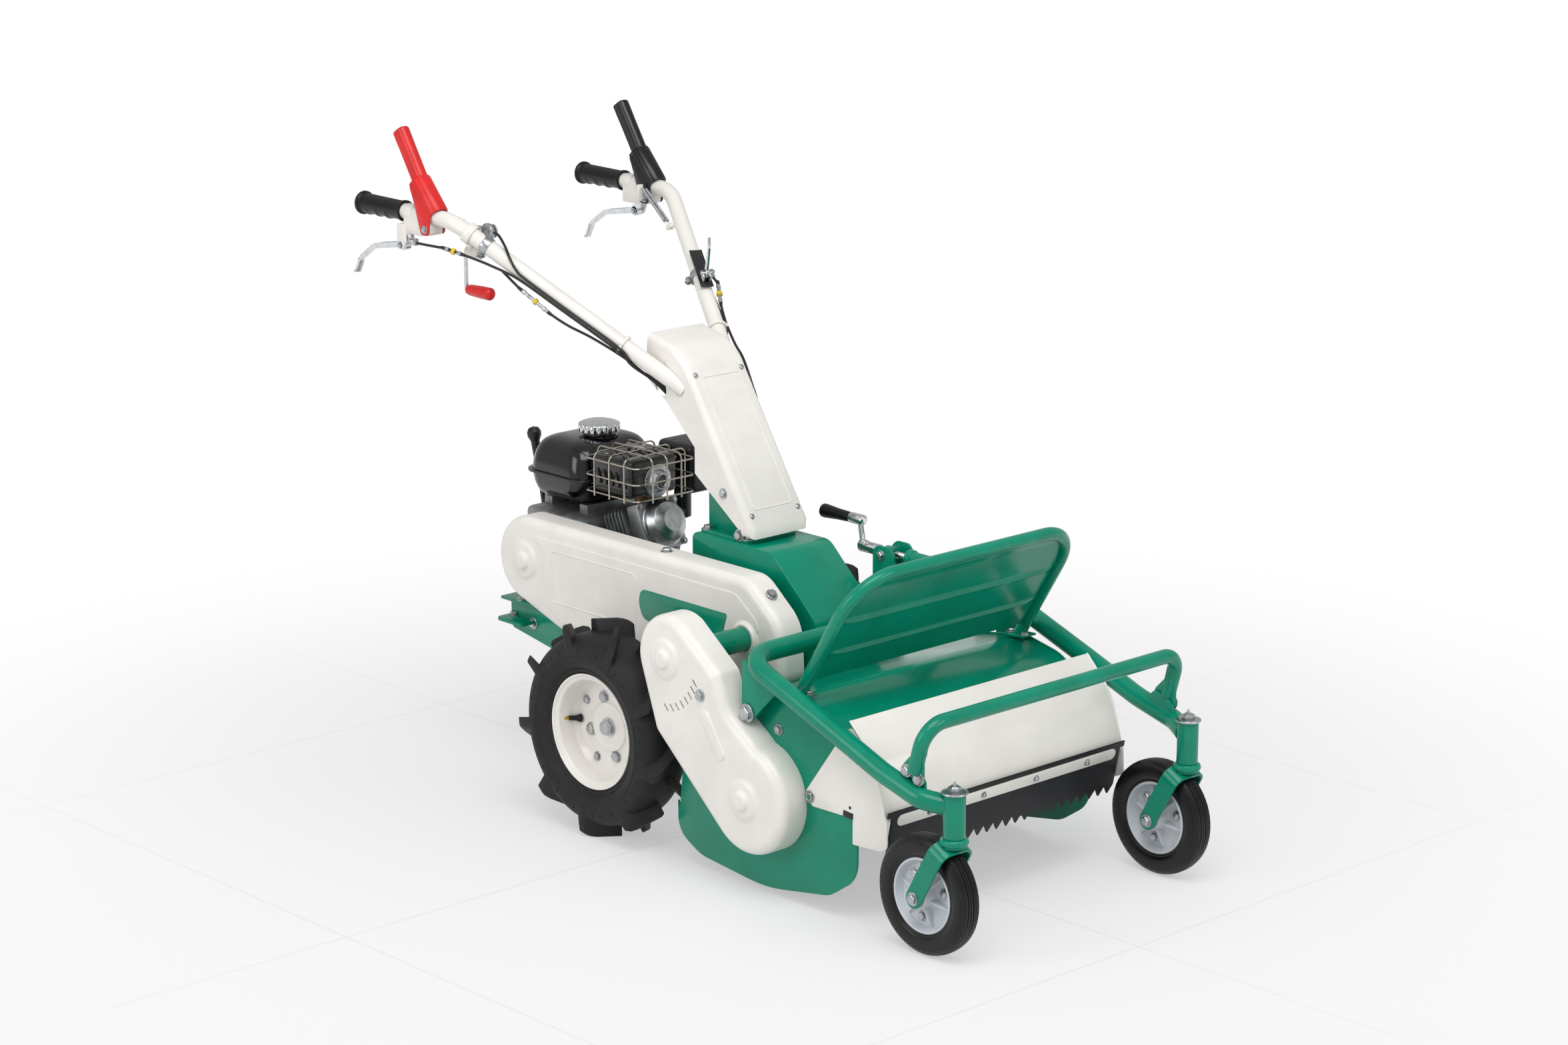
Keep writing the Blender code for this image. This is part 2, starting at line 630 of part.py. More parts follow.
def guard_hoop():
    """A bent tube with a pressed sheet across it, bolted to the roof of the deck."""
    foot, top = Vector((0.2600, -0.4640, 0.3560)), Vector((0.2600, -0.5980, 0.5740))
    path = [(-foot.x, foot.y, foot.z, 0), (-top.x, top.y, top.z, 0.085),
            (top.x, top.y, top.z, 0.085), (foot.x, foot.y, foot.z, 0)]
    hoop = tube(rounded(path, closed=False, step=30), 0.0110, 2)
    slope = (top - foot).normalized()
    tilt = math.atan2(-slope.y, slope.z)
    height = (top - foot).length
    sheet_loop = rounded([(-foot.x, 0.030, 0), (foot.x, 0.030, 0), (foot.x, height, 0.085),
                          (-foot.x, height, 0.085)], step=30)
    sheet = plate([sheet_loop], -0.0013, 0.0013, "xz")
    place = Matrix.Translation((0, foot.y, foot.z)) @ Matrix.Rotation(tilt, 4, "X")
    sheet.data.transform(place)
    beads = []
    for share in (0.34, 0.62):
        bead = rod((-0.235, 0, share * height), (0.235, 0, share * height), 0.0040, 6)
        bead.data.transform(place)
        beads.append(bead)
    feet = [box((0.034, 0.046, 0.004), (side * foot.x, foot.y - 0.002, 0.3570), (-0.05, 0, 0))
            for side in (-1, 1)]
    return join(hoop, sheet, *beads, *feet)


def front_shield():
    """The hinged front: a curved sheet between two cheeks that hang on the deck's pins."""
    path = rounded([(-0.604, 0.347, 0), (-0.660, 0.291, 0.120), (-0.6865, 0.195, 0)], closed=False,
                   step=12)
    sheet = plate([thickened(path, 0.0025)], -0.2820, 0.2820)
    cheek = rounded([(-0.570, 0.296, 0), (-0.606, 0.338, 0.006), (-0.660, 0.2885, 0.120),
                     (-0.690, 0.195, 0.060), (-0.692, 0.152, 0.010), (-0.676, 0.144, 0.004),
                     (-0.612, 0.140, 0), (-0.612, 0.184, 0), (-0.518, 0.182, 0.010),
                     (-0.497, 0.198, 0.012)], step=40)
    cheeks = [plate([cheek], side * (DECK_HALF_WIDTH + 0.0007), side * 0.2832) for side in (-1, 1)]
    bores = [cross_rod(SHIELD_HINGE, side * 0.27, side * 0.30, 0.0085) for side in (-1, 1)]
    return cut(join(sheet, *cheeks), *bores)


def shield_flap():
    """The saw-toothed rubber flap under the shield, with the strip that clamps it."""
    half_width, height, teeth, depth = 0.2720, 0.0960, 24, 0.016
    pitch = 2 * half_width / teeth
    loop = [(half_width, height), (-half_width, height)]
    for index in range(teeth):
        left = -half_width + index * pitch
        loop.append((left, depth))
        loop.append((left + pitch / 2, 0.0))
    loop.append((half_width, depth))
    flap = loft([[(x, y, z) for x, z in loop] for y in (-0.0015, 0.0015)])
    level, strip_half = 0.078, 0.250
    right = arc((strip_half, 0.0), 0.010, -90, 90, 5)
    loop = right + [(-x, -z) for x, z in right]
    pieces = [plate([[(x, z + level) for x, z in loop]], -0.0035, -0.0010, "xz")]
    for share in (-0.75, -0.25, 0.25, 0.75):
        x = share * strip_half
        pieces.append(rod((x, -0.0030, level), (x, -0.0060, level), 0.0050, 6))
    flap = join(flap, *pieces)
    flap.data.transform(FLAP_PLACE)
    return flap


def knife_rotor():
    """The rotor: a tube with pairs of Y knives in a spiral, and its pulley on the stub shaft."""
    y, z = ROTOR_AXIS
    rows, tube_radius, reach, blade = 11, 0.0380, 0.1140, 0.0045
    rim = ROTOR_PULLEY + 0.006
    profile = [(0.0, 0.3200), (rim, 0.3200), (ROTOR_PULLEY, 0.3110), (ROTOR_PULLEY, 0.3050),
               (rim, 0.2960), (0.0125, 0.2960), (0.0125, 0.2600), (0.0500, 0.2600), (0.0500, 0.2560),
               (tube_radius, 0.2540), (tube_radius, -0.2540), (0.0500, -0.2560), (0.0500, -0.2600),
               (0.0125, -0.2600), (0.0125, -0.2755), (0.0, -0.2755)]
    rotor = turned(profile, (0, y, z), (-1, 0, 0), 10)
    knives = []
    for index in range(rows):
        x = -0.2350 + index * 0.4700 / (rows - 1)
        angle = math.radians(index * 135)
        place = Matrix.Translation((x, y, z)) @ Matrix.Rotation(angle, 4, "X")
        for side in (-1, 1):
            # Each blade hangs along its lug and then bends outwards to its cutting end.
            path = [(side * 0.0032, tube_radius - 0.004), (side * 0.0032, 0.0800),
                    (side * 0.0200, reach)]
            sections = []
            for across, out in path:
                half = 0.0130 if out < 0.09 else 0.0200
                near, far = across - blade / 2, across + blade / 2
                sections.append([(near, -half, out), (far, -half, out), (far, half, out),
                                 (near, half, out)])
            knife = loft(sections)
            knife.data.transform(place)
            knives.append(knife)
    return join(rotor, *knives)


def make_deck():
    """Deck housing, rotor, hinged shield with its flap, and the guard hoop."""
    shield = (0, *SHIELD_HINGE)
    finish(deck_housing(), "deck_housing", "green_paint")
    finish(knife_rotor(), "knife_rotor", "dark_steel", (0, *ROTOR_AXIS))
    finish(guard_hoop(), "guard_hoop", "green_paint")
    finish(front_shield(), "front_shield", "white_paint", shield)
    finish(shield_flap(), "shield_flap", "black_rubber", shield)


# Belt drive.
def belt_line(first, first_radius, second, second_radius, pieces=7):
    """The counter-clockwise outline of a belt round two pulleys."""
    start, end = Vector(first), Vector(second)
    along = end - start
    heading = math.degrees(math.atan2(along.y, along.x))
    lap = math.degrees(math.acos((first_radius - second_radius) / along.length))
    return (arc(first, first_radius, heading + lap, heading + 360 - lap, pieces)
            + arc(second, second_radius, heading - lap, heading + lap, pieces))


def belt(first, first_radius, second, second_radius, low, high):
    """A flat-sided belt 6 mm thick between two levels of x."""
    outer = belt_line(first, first_radius + 0.006, second, second_radius + 0.006)
    inner = belt_line(first, first_radius, second, second_radius)
    return plate([outer, inner], low, high)


def cover_shell(outline, open_x, face_x, rounding, wall):
    """A deep cover: open towards the machine, with a rounded outer edge."""
    outward = 1 if face_x > open_x else -1
    levels = [(open_x, 0.0), (face_x - outward * rounding, 0.0),
              (face_x - outward * rounding * 0.3, rounding * 0.3), (face_x, rounding)]
    outer = loft([[(x, *point) for point in inset(outline, edge)] for x, edge in levels])
    inner_face = face_x - outward * wall
    levels = [(open_x - outward * 0.010, wall), (inner_face - outward * rounding, wall),
              (inner_face, rounding)]
    inner = loft([[(x, *point) for point in inset(outline, edge)] for x, edge in levels])
    return cut(outer, inner)


def cover_boss(axis, face_x):
    """The two-step dome pressed into a cover over the end of a shaft."""
    profile = [(0.0, 0.0130), (0.0150, 0.0125), (0.0200, 0.0055), (0.0320, 0.0045),
               (0.0370, -0.0015), (0.0, -0.0015)]
    return turned(profile, (face_x, *axis), (-1, 0, 0), 12)


def slot_outline(first, second, radius):
    """A slot with round ends between two places."""
    return belt_line(first, radius, second, radius, 4)


def rotor_belt_cover():
    """The cover over the rotor's belt, down the right side of the deck."""
    outline = arc(JACKSHAFT_AXIS, 0.074, -18, 128, 6)
    outline += [(-0.352, 0.345), (-0.367, 0.309), (-0.390, 0.285)]
    outline += arc(ROTOR_AXIS, 0.095, 97, 312, 9)
    outline += arc((-0.2086, 0.2622), 0.030, -47, -21, 1)
    shell = cover_shell(outline, -DECK_HALF_WIDTH - GAP, ROTOR_COVER_X, 0.018, 0.0025)
    bosses = [cover_boss(axis, ROTOR_COVER_X) for axis in (JACKSHAFT_AXIS, ROTOR_AXIS)]
    rib = plate([slot_outline((-0.315, 0.300), (-0.352, 0.244), 0.0095)],
                ROTOR_COVER_X - 0.0025, ROTOR_COVER_X + 0.0012)
    return join(shell, rib, *bosses)


def long_cover_outline():
    """The long cover in side view: round behind the crankshaft, sloping at its front."""
    low_rear = arc(CRANKSHAFT_AXIS, 0.080, -72, 90, 7)
    front = rounded([(0.378, 0.480, 0), (-0.215, 0.480, 0.060), (-0.300, 0.412, 0.070),
                     (-0.306, 0.306, 0.045), (-0.255, 0.285, 0.040), (0.283, 0.284, 0.080),
                     (0.4027, 0.3239, 0)], closed=False)
    return low_rear + front[1:-1]


def long_belt_cover():
    """The cover over the belt from the engine to the jackshaft."""
    shell = cover_shell(long_cover_outline(), LONG_COVER_BACK, LONG_COVER_X, 0.017, 0.0025)
    boss = cover_boss(CRANKSHAFT_AXIS, LONG_COVER_X)
    collar = cross_rod(JACKSHAFT_AXIS, LONG_COVER_X - 0.0070, LONG_COVER_X + 0.0010, 0.0270, 14)
    panel = rounded([(0.275, 0.440, 0.008), (0.060, 0.440, 0.008), (0.060, 0.350, 0.008),
                     (0.275, 0.335, 0.008)])
    pressed = plate([panel], LONG_COVER_X - 0.0012, LONG_COVER_X + 0.0012)
    bore = cross_rod(JACKSHAFT_AXIS, LONG_COVER_X - 0.02, LONG_COVER_X + 0.02, 0.0222, 14)
    return cut(join(shell, boss, collar, pressed), bore)


def cross_tube():
    """The tube that carries the jackshaft from one cover to the other."""
    profile = [(0.0215, -0.1490), (0.0215, -0.2835), (0.0180, -0.2835), (0.0180, -0.1490)]
    return turned(profile, (0, *JACKSHAFT_AXIS), (1, 0, 0), 14, loop=True)


def pulley_rings(radius, low, high):
    """Profile points of a pulley with a V groove, from its high face to its low one."""
    middle = (low + high) / 2
    return [(radius + 0.006, high), (radius, middle + 0.003), (radius, middle - 0.003),
            (radius + 0.006, low)]


def jackshaft():
    """The shaft inside the cross tube, with a pulley on each end."""
    profile = ([(0.0, -0.1060), (0.0100, -0.1060), (0.0100, -0.1150)]
               + pulley_rings(LONG_PULLEY, -0.1420, -0.1150) + [(0.0100, -0.1420), (0.0100, -0.2960)]
               + pulley_rings(SHORT_PULLEY, -0.3200, -0.2960) + [(0.0100, -0.3200), (0.0, -0.3230)])
    return turned(profile, (0, *JACKSHAFT_AXIS), (1, 0, 0), 10)


def engine_pulley():
    """The pulley on the engine's crankshaft."""
    profile = ([(0.0, -0.0885), (0.0100, -0.0885), (0.0100, -0.1150)]
               + pulley_rings(ENGINE_PULLEY, -0.1420, -0.1150) + [(0.0, -0.1420)])
    return turned(profile, (0, *CRANKSHAFT_AXIS), (1, 0, 0), 10)


def make_belt_drive():
    """Covers, shafts, pulleys and belts between the engine and the rotor."""
    finish(rotor_belt_cover(), "rotor_belt_cover", "white_paint")
    finish(long_belt_cover(), "long_belt_cover", "white_paint")
    finish(cross_tube(), "cross_tube", "green_paint")
    finish(jackshaft(), "jackshaft", "dark_steel", (0, *JACKSHAFT_AXIS))
    finish(engine_pulley(), "engine_pulley", "dark_steel", (0, *CRANKSHAFT_AXIS))
    rotor_belt = belt(ROTOR_AXIS, ROTOR_PULLEY + 0.0024, JACKSHAFT_AXIS, SHORT_PULLEY + 0.0024,
                      -0.3108, -0.3052)
    finish(rotor_belt, "rotor_belt", "black_rubber")
    long_belt = belt(JACKSHAFT_AXIS, LONG_PULLEY + 0.0024, CRANKSHAFT_AXIS, ENGINE_PULLEY + 0.0024,
                     -0.1313, -0.1257)
    finish(long_belt, "long_belt", "black_rubber")


# Chassis and mast.
def chassis_frame():
    """Two side channels with cross plates, the engine's base plate and the rear hitch."""
    side_loop = [(-0.186, 0.236), (0.100, 0.215), (0.380, 0.215), (0.505, 0.236), (0.505, 0.2900),
                 (-0.186, 0.2900)]
    pieces = []
    for side in (-1, 1):
        pieces.append(plate([side_loop], side * 0.0780, side * 0.0840))
    deck = box((0.192, 0.300, 0.006), (0, 0.370, 0.2915))
    front = box((0.160, 0.006, 0.052), (0, -0.180, 0.2630))
    seat = box((0.160, 0.200, 0.006), (0, -0.080, 0.2905))
    hitch = box((0.240, 0.075, 0.006), (0, 0.470, 0.2580))
    hat = box((0.150, 0.040, 0.034), (0, 0.455, 0.2700))
    gear_seat = rod((ENGINE_X, SHIFT_AXIS[0], 0.290), (ENGINE_X, SHIFT_AXIS[0], 0.2950), 0.014, 8)
    return join(deck, front, seat, hitch, hat, gear_seat, *pieces)


def transmission_case():
    """The gearbox round the axle, its axle tubes bored for the half shafts."""
    body = bevelled(box((0.140, 0.190, 0.150), (0, 0.020, 0.1750)), 0.020, 1)
    axle = cross_rod(AXLE, -0.2200, 0.2200, 0.0260, 14)
    top = box((0.148, 0.120, 0.060), (0, 0.020, 0.2560))
    case = join(body, axle, top)
    return cut(case, cross_rod(AXLE, -0.2300, -0.0950, 0.0134, 12),
               cross_rod(AXLE, 0.0950, 0.2300, 0.0134, 12))


def mast_base():
    """The box beam that carries the mast, open underneath."""
    outline = rounded([(0.013, 0.2940, 0), (0.013, 0.508, 0.010), (-0.190, 0.508, 0.030),
                       (-0.302, 0.405, 0.030), (-0.302, 0.307, 0), (-0.288, 0.2940, 0)])
    beam = plate([outline], -0.070, 0.070)
    inner = [(0.008, 0.280), (0.008, 0.503), (-0.186, 0.503), (-0.296, 0.402), (-0.296, 0.280)]
    return cut(beam, plate([inner], -0.0655, 0.0655))


def mast_post():
    """The folded post behind the mast cover, bolted to the mast base by its flange."""
    wing = [(-0.118, 0.5090), (0.002, 0.5090), (0.002, 0.600), (0.058, 0.715), (0.068, 0.770),
            (0.034, 0.777), (-0.118, 0.545)]
    wings = [plate([wing], side * 0.0355, side * 0.0400) for side in (-1, 1)]
    front = plate([[(-0.1180, 0.5090), (-0.1130, 0.5090), (-0.1130, 0.543), (0.038, 0.7740),
                    (0.033, 0.7755), (-0.1180, 0.5450)]], -0.0380, 0.0380)
    foot = box((0.120, 0.126, 0.007), (0, -0.057, 0.5100))
    post = join(wings[0], wings[1], front, foot)
    return cut(post, cross_rod(YOKE_AXIS, -0.06, 0.06, 0.0124, 12))


def handle_line(side, y):
    """A point on the straight part of a handle tube."""
    return Vector((side * (0.0878 + 0.5035 * (y - 0.1)), y, 0.7945 + 0.6945 * (y - 0.1)))


def handle_path(side):
    """The handle tube: straight up from the yoke, then bent level to the grip."""
    return rounded([(*handle_line(side, 0.041), 0), (*handle_line(side, 0.435), 0.100),
                    (side * 0.259, GRIP_END, GRIP_Z, 0)], closed=False, step=12)


def handlebar():
    """Both handle tubes, welded to the yoke tube that crosses the mast."""
    yoke = cross_rod(YOKE_AXIS, -0.0600, 0.0600, 0.0120, 12)
    tubes = [tube(handle_path(side), HANDLE_RADIUS, 2) for side in (-1, 1)]
    lug = box((0.0150, 0.0040, 0.0120), (0.2050, 0.3796, 0.9700))
    arm = rod((0.2060, 0.3796, 0.9700), handle_line(1, 0.366), 0.0040, 6)
    return join(yoke, lug, arm, *tubes)


def handle_grip(side):
    """The rubber grip over the end of a handle tube."""
    profile = [(0.0, 0.0020), (0.0190, 0.0020), (0.0215, -0.0030), (0.0178, -0.0080),
               (0.0172, -0.1150), (0.0193, -0.1190), (0.0193, -0.1250), (0.0155, -0.1250),
               (0.0155, -0.0010), (0.0, -0.0010)]
    path = handle_path(side)
    along = (path[-1] - path[-2]).normalized()
    return turned(profile, path[-1] + along * 0.0015, along, 12)


def mast_cover():
    """The white cover over the mast post, open at the back, with ways for tubes and cables."""
    half_width, wall, curve = 0.068, 0.0028, 0.011
    outline = [(-0.138, 0.5185), (-0.040, 0.5185), (0.060, 0.600), (0.060, 0.650), (0.200, 0.740),
               (0.200, 0.862), (0.066, 0.829), (0.030, 0.800), (-0.138, 0.537)]
    front = [(-0.138 + wall, 0.500), (0.260, 0.500), (0.260, 0.873), (0.066, 0.829 - wall),
             (0.030 + wall, 0.800 - wall), (-0.138 + wall, 0.537)]
    levels = [(half_width, curve), (half_width - 0.3 * curve, 0.3 * curve), (half_width - curve, 0)]
    levels += [(-x, edge) for x, edge in reversed(levels)]
    outer = loft([[(x, *point) for point in inset(outline, edge)] for x, edge in levels])
    sunk = (half_width - wall) / half_width
    inner = loft([[(x * sunk, *point) for point in inset(front, edge)] for x, edge in levels])
    behind = [(-0.112, 0.500), (0.300, 0.500), (0.300, 0.900), (0.124, 0.900), (0.136, 0.767),
              (0.080, 0.729), (0.007, 0.659), (0.007, 0.613), (-0.105, 0.533), (-0.112, 0.533)]
    ways = [rod(handle_line(side, 0.030), handle_line(side, 0.170), HANDLE_RADIUS + 0.003, 10)
            for side in (-1, 1)]
    notches = [rod((side * 0.050, 0.082, 0.738), (side * 0.110, 0.130, 0.795), 0.0125, 8)
               for side in (-1, 1)]
    return cut(outer, inner, plate([behind], -0.10, 0.10), *ways, *notches)


def make_mast():
    """Chassis, gearbox, mast with its cover, and the handlebar with its grips."""
    finish(chassis_frame(), "chassis_frame", "green_paint")
    finish(transmission_case(), "transmission_case", "cast_aluminium")
    finish(join(mast_base(), mast_post()), "mast_frame", "green_paint")
    finish(mast_cover(), "mast_cover", "white_paint")
    finish(handlebar(), "handlebar", "white_paint")
    for side in (-1, 1):
        finish(handle_grip(side), f"grip_{side_name(side)}", "black_rubber")


# Engine.
def along_cylinder(distance):
    """A (y, z) place on the slanted cylinder, measured from the crankshaft."""
    start, end = Vector(CRANKSHAFT_AXIS), Vector(CYLINDER_HEAD)
    return start + (end - start).normalized() * distance


def engine_block():
    """Crankcase on its foot, and the slanted cylinder with its cooling fins and head."""
    foot = box((0.190, 0.180, 0.034), (0.018, 0.390, 0.3118))
    crankcase = bevelled(box((0.190, 0.165, 0.150), (0.018, 0.385, 0.400)), 0.012, 1)
    slope = Vector(CYLINDER_HEAD) - Vector(CRANKSHAFT_AXIS)
    tilt = math.atan2(-slope.y, -slope.x)
    pieces = [foot]
    for index in range(4):
        place = along_cylinder(0.100 + 0.017 * index)
        pieces.append(box((0.098, 0.0035, 0.094), (ENGINE_X, *place), (tilt, 0, 0)))
    pieces.append(rod((ENGINE_X, *along_cylinder(0.060)), (ENGINE_X, *along_cylinder(0.180)), 0.036, 8))
    pieces.append(rod((0.0, 0.2275, 0.490), (0.0, 0.2275, 0.5277), 0.0130, 8))
    pieces.append(box((0.096, 0.036, 0.090), (ENGINE_X, *along_cylinder(0.180)), (tilt, 0, 0)))
    pieces.append(cross_rod(CRANKSHAFT_AXIS, -0.0880, -0.070, 0.0110, 12))
    for y in (0.345, 0.445):
        pieces.append(box((0.120, 0.022, 0.020), (ENGINE_X, y, 0.4805)))
    return join(crankcase, rocker_cover(), *pieces)


def rocker_cover():
    """The pressed cover on the cylinder head."""
    profile = [(0.0, 0.034), (0.020, 0.032), (0.036, 0.024), (0.044, 0.010), (0.046, 0.0), (0.0, 0.0)]
    slope = Vector(CYLINDER_HEAD) - Vector(CRANKSHAFT_AXIS)
    return turned(profile, (ENGINE_X, *along_cylinder(0.1970)), (0, *slope), 14)


def ring_at(low, high, radius, level, edge=0.0):
    """A rounded rectangle at a height, moved in by an edge."""
    (x0, y0), (x1, y1) = low, high
    corners = [(x0 + edge, y0 + edge), (x1 - edge, y0 + edge), (x1 - edge, y1 - edge),
               (x0 + edge, y1 - edge)]
    return [(*point, level) for point in rounded([(*c, radius) for c in corners], step=45)]


def fuel_tank():
    """Two pressed halves with a seam flange between them, and the filler neck."""
    levels = [(0.4908, 0.040, 0.020), (0.5000, 0.014, 0.030), (0.5385, 0.002, 0.036),
              (0.5390, -0.005, 0.040), (0.5430, -0.005, 0.040), (0.5435, 0.002, 0.036),
              (0.5840, 0.010, 0.036), (0.6010, 0.024, 0.030), (0.6070, 0.046, 0.020)]
    body = loft([ring_at((-0.070, 0.316), (0.125, 0.480), radius, level, edge)
                 for level, edge, radius in levels])
    return join(body, rod((*CAP_PLACE, 0.600), (*CAP_PLACE, 0.6130), 0.030, 12))


def fuel_cap():
    """The chromed cap with a fluted rim."""
    def ring(radius, flute, level):
        points = []
        for index in range(20):
            reach = radius - flute * (index % 2)
            angle = math.radians(18 * index)
            points.append((CAP_PLACE[0] + reach * math.cos(angle),
                           CAP_PLACE[1] + reach * math.sin(angle), level))
        return points
    return loft([ring(0.0390, 0.003, 0.6133), ring(0.0390, 0.003, 0.6280), ring(0.034, 0.001, 0.6310)])


def muffler():
    """The muffler box with its seam and flanged outlet."""
    body = bevelled(box((0.112, 0.104, 0.070), (0.000, 0.2455, 0.5630)), 0.008, 1)
    seam = box((0.116, 0.110, 0.003), (0.000, 0.2455, 0.5900))
    profile = [(0.0, 0.0150), (0.0170, 0.0140), (0.0220, 0.0030), (0.0310, 0.0030), (0.0310, -0.001),
               (0.0, -0.001)]
    outlet = turned(profile, (0.007, 0.1930, 0.5550), (0, -1, 0), 12)
    return join(body, seam, outlet)


def muffler_guard():
    """The wire cage round the muffler: three rings and hoops over the top."""
    wire = 0.0016
    (x0, y0), (x1, y1) = (-0.070, 0.160), (0.070, 0.3060)
    wires = [box((0.0137, 0.010, 0.0030), (side * 0.0632, 0.245, 0.562)) for side in (-1, 1)]
    for level in (0.532, 0.562, 0.592):
        ring = [(*point, level) for point in
                rounded([(x0, y0, 0.014), (x1, y0, 0.014), (x1, y1, 0.014), (x0, y1, 0.014)], step=90)]
        wires.append(tube(ring, wire, 0, closed=True))
    out = 0.0021
    for y in (0.192, 0.274):
        path = [(x0 - out, y, 0.526, 0), (x0 - out, y, 0.6055, 0.012), (x1 + out, y, 0.6055, 0.012),
                (x1 + out, y, 0.526, 0)]
        wires.append(tube(rounded(path, closed=False, step=90), wire, 0))
    for x in (-0.034, 0.034):
        path = [(x, y0 - out, 0.526, 0), (x, y0 - out, 0.6076, 0.012), (x, y1 + out, 0.6076, 0.012),
                (x, y1 + out, 0.526, 0)]
        wires.append(tube(rounded(path, closed=False, step=90), wire, 0))
    return join(*wires)


def air_cleaner():
    """The air cleaner box on the intake pipe."""
    body = bevelled(box((0.078, 0.096, 0.090), (0.136, 0.250, 0.5560)), 0.010, 1)
    neck = rod((0.118, 0.250, 0.520), (0.118, 0.250, 0.460), 0.016, 10)
    intake = cross_rod((0.250, 0.470), ENGINE_X + 0.0497, 0.125, 0.015, 10)
    return join(body, neck, intake)


def recoil_housing():
    """The round cowl of the recoil starter and fan."""
    profile = [(0.0, 0.1740), (0.0500, 0.1740), (0.0740, 0.1620), (0.0850, 0.1420), (0.0870, 0.1134),
               (0.0, 0.1134)]
    return turned(profile, (0, *CRANKSHAFT_AXIS), (1, 0, 0), 18)


def recoil_handle():
    """The T-shaped pull of the recoil starter."""
    x, centre = RECOIL_X, Vector(CRANKSHAFT_AXIS)
    away = Vector(RECOIL_PULL)
    stem, grip = centre + away * 0.0874, centre + away * 0.1060
    bar = bevelled(cross_rod(grip, x - 0.0170, x + 0.0230, 0.0080, 8), 0.002, 1, 60)
    return join(bar, rod((x, *stem), (x, *grip), 0.0050, 8))


def shift_lever():
    """The gear lever with its tapered shaft and round knob."""
    profile = [(0.0, 0.2970), (0.0090, 0.2945), (0.0135, 0.2870), (0.0132, 0.2790), (0.0085, 0.2690),
               (0.0070, 0.2250), (0.0050, 0.2200), (0.0060, 0.0), (0.0042, -0.0042), (0.0, -0.0060)]
    return turned(profile, (ENGINE_X, *SHIFT_AXIS), (0, 0.20, 0.98), 10)


def make_engine():
    """The engine with its tank, exhaust, intake and starter, and the shift lever."""
    finish(engine_block(), "engine_block", "cast_aluminium")
    finish(fuel_tank(), "fuel_tank", "black_paint")
    finish(fuel_cap(), "fuel_cap", "chrome", (*CAP_PLACE, 0.6133))
    finish(muffler(), "muffler", "black_paint")
    finish(muffler_guard(), "muffler_guard", "zinc")
    finish(air_cleaner(), "air_cleaner", "black_paint")
    finish(recoil_housing(), "recoil_housing", "black_paint")
    finish(recoil_handle(), "recoil_handle", "black_rubber", (RECOIL_X, *CRANKSHAFT_AXIS))
    finish(shift_lever(), "shift_lever", "black_rubber", (ENGINE_X, *SHIFT_AXIS))


# Controls on the handles.
def handle_frame(side, y):
    """The frame of a handle tube at y: across, along and up, about its centre line."""
    if y < 0.45:
        along = Vector((side * 0.5035, 1.0, 0.6945)).normalized()
        centre = handle_line(side, y)
    else:
        path = handle_path(side)
        along = (path[-1] - path[-2]).normalized()
        centre = path[-1] + along * ((y - GRIP_END) / along.y)
    across = along.cross(Vector((0, 0, 1))).normalized()
    turn = Matrix((across, along, across.cross(along))).transposed().to_4x4()
    return Matrix.Translation(centre) @ turn


def clamped(side, y, length, *pieces):
    """A collar round a handle tube, joined with what it carries and cleared for the tube."""
    place = handle_frame(side, y)
    bore = (HANDLE_RADIUS + 0.0005) / math.cos(math.pi / 10)
    half = Vector((0, length / 2, 0))
    collar = rod(place @ -half, place @ half, COLLAR_RADIUS, 10)
    clear = rod(place @ Vector((0, -0.07, 0)), place @ Vector((0, 0.07, 0)), bore, 10)
    return cut(join(collar, *pieces), clear)


def lever_bracket(side):
    """The clamp and plate that carry a clutch lever and a squeeze lever."""
    low, high = side * BRACKET_X, side * (BRACKET_X + 0.004)
    loop = rounded([(0.552, 1.044, 0.004), (0.503, 1.046, 0.004), (0.476, 1.010, 0.008),
                    (0.484, 0.986, 0.006), (0.538, 0.970, 0), (0.549, 0.960, 0.006),
                    (0.562, 0.972, 0.006)], step=60)
    far = side * (LEVER_X - 0.0255)
    pieces = []
    if side > 0:
        far = 0.2260
        pieces.append(box((0.0125, 0.0050, 0.0300), (0.2256, 0.4860, 1.0190)))
    link = box((0.027, 0.023, 0.022), (side * (BRACKET_X - 0.0115), 0.5455, 1.0010))
    body = clamped(side, 0.545, 0.022, plate([loop], low, high), link)
    pins = [cross_rod(CLUTCH_AXIS, far, high, 0.0045, 8),
            cross_rod(SQUEEZE_AXIS, side * (BRACKET_X - 0.0180), high, 0.0040, 8)]
    return join(body, *pins, *pieces)


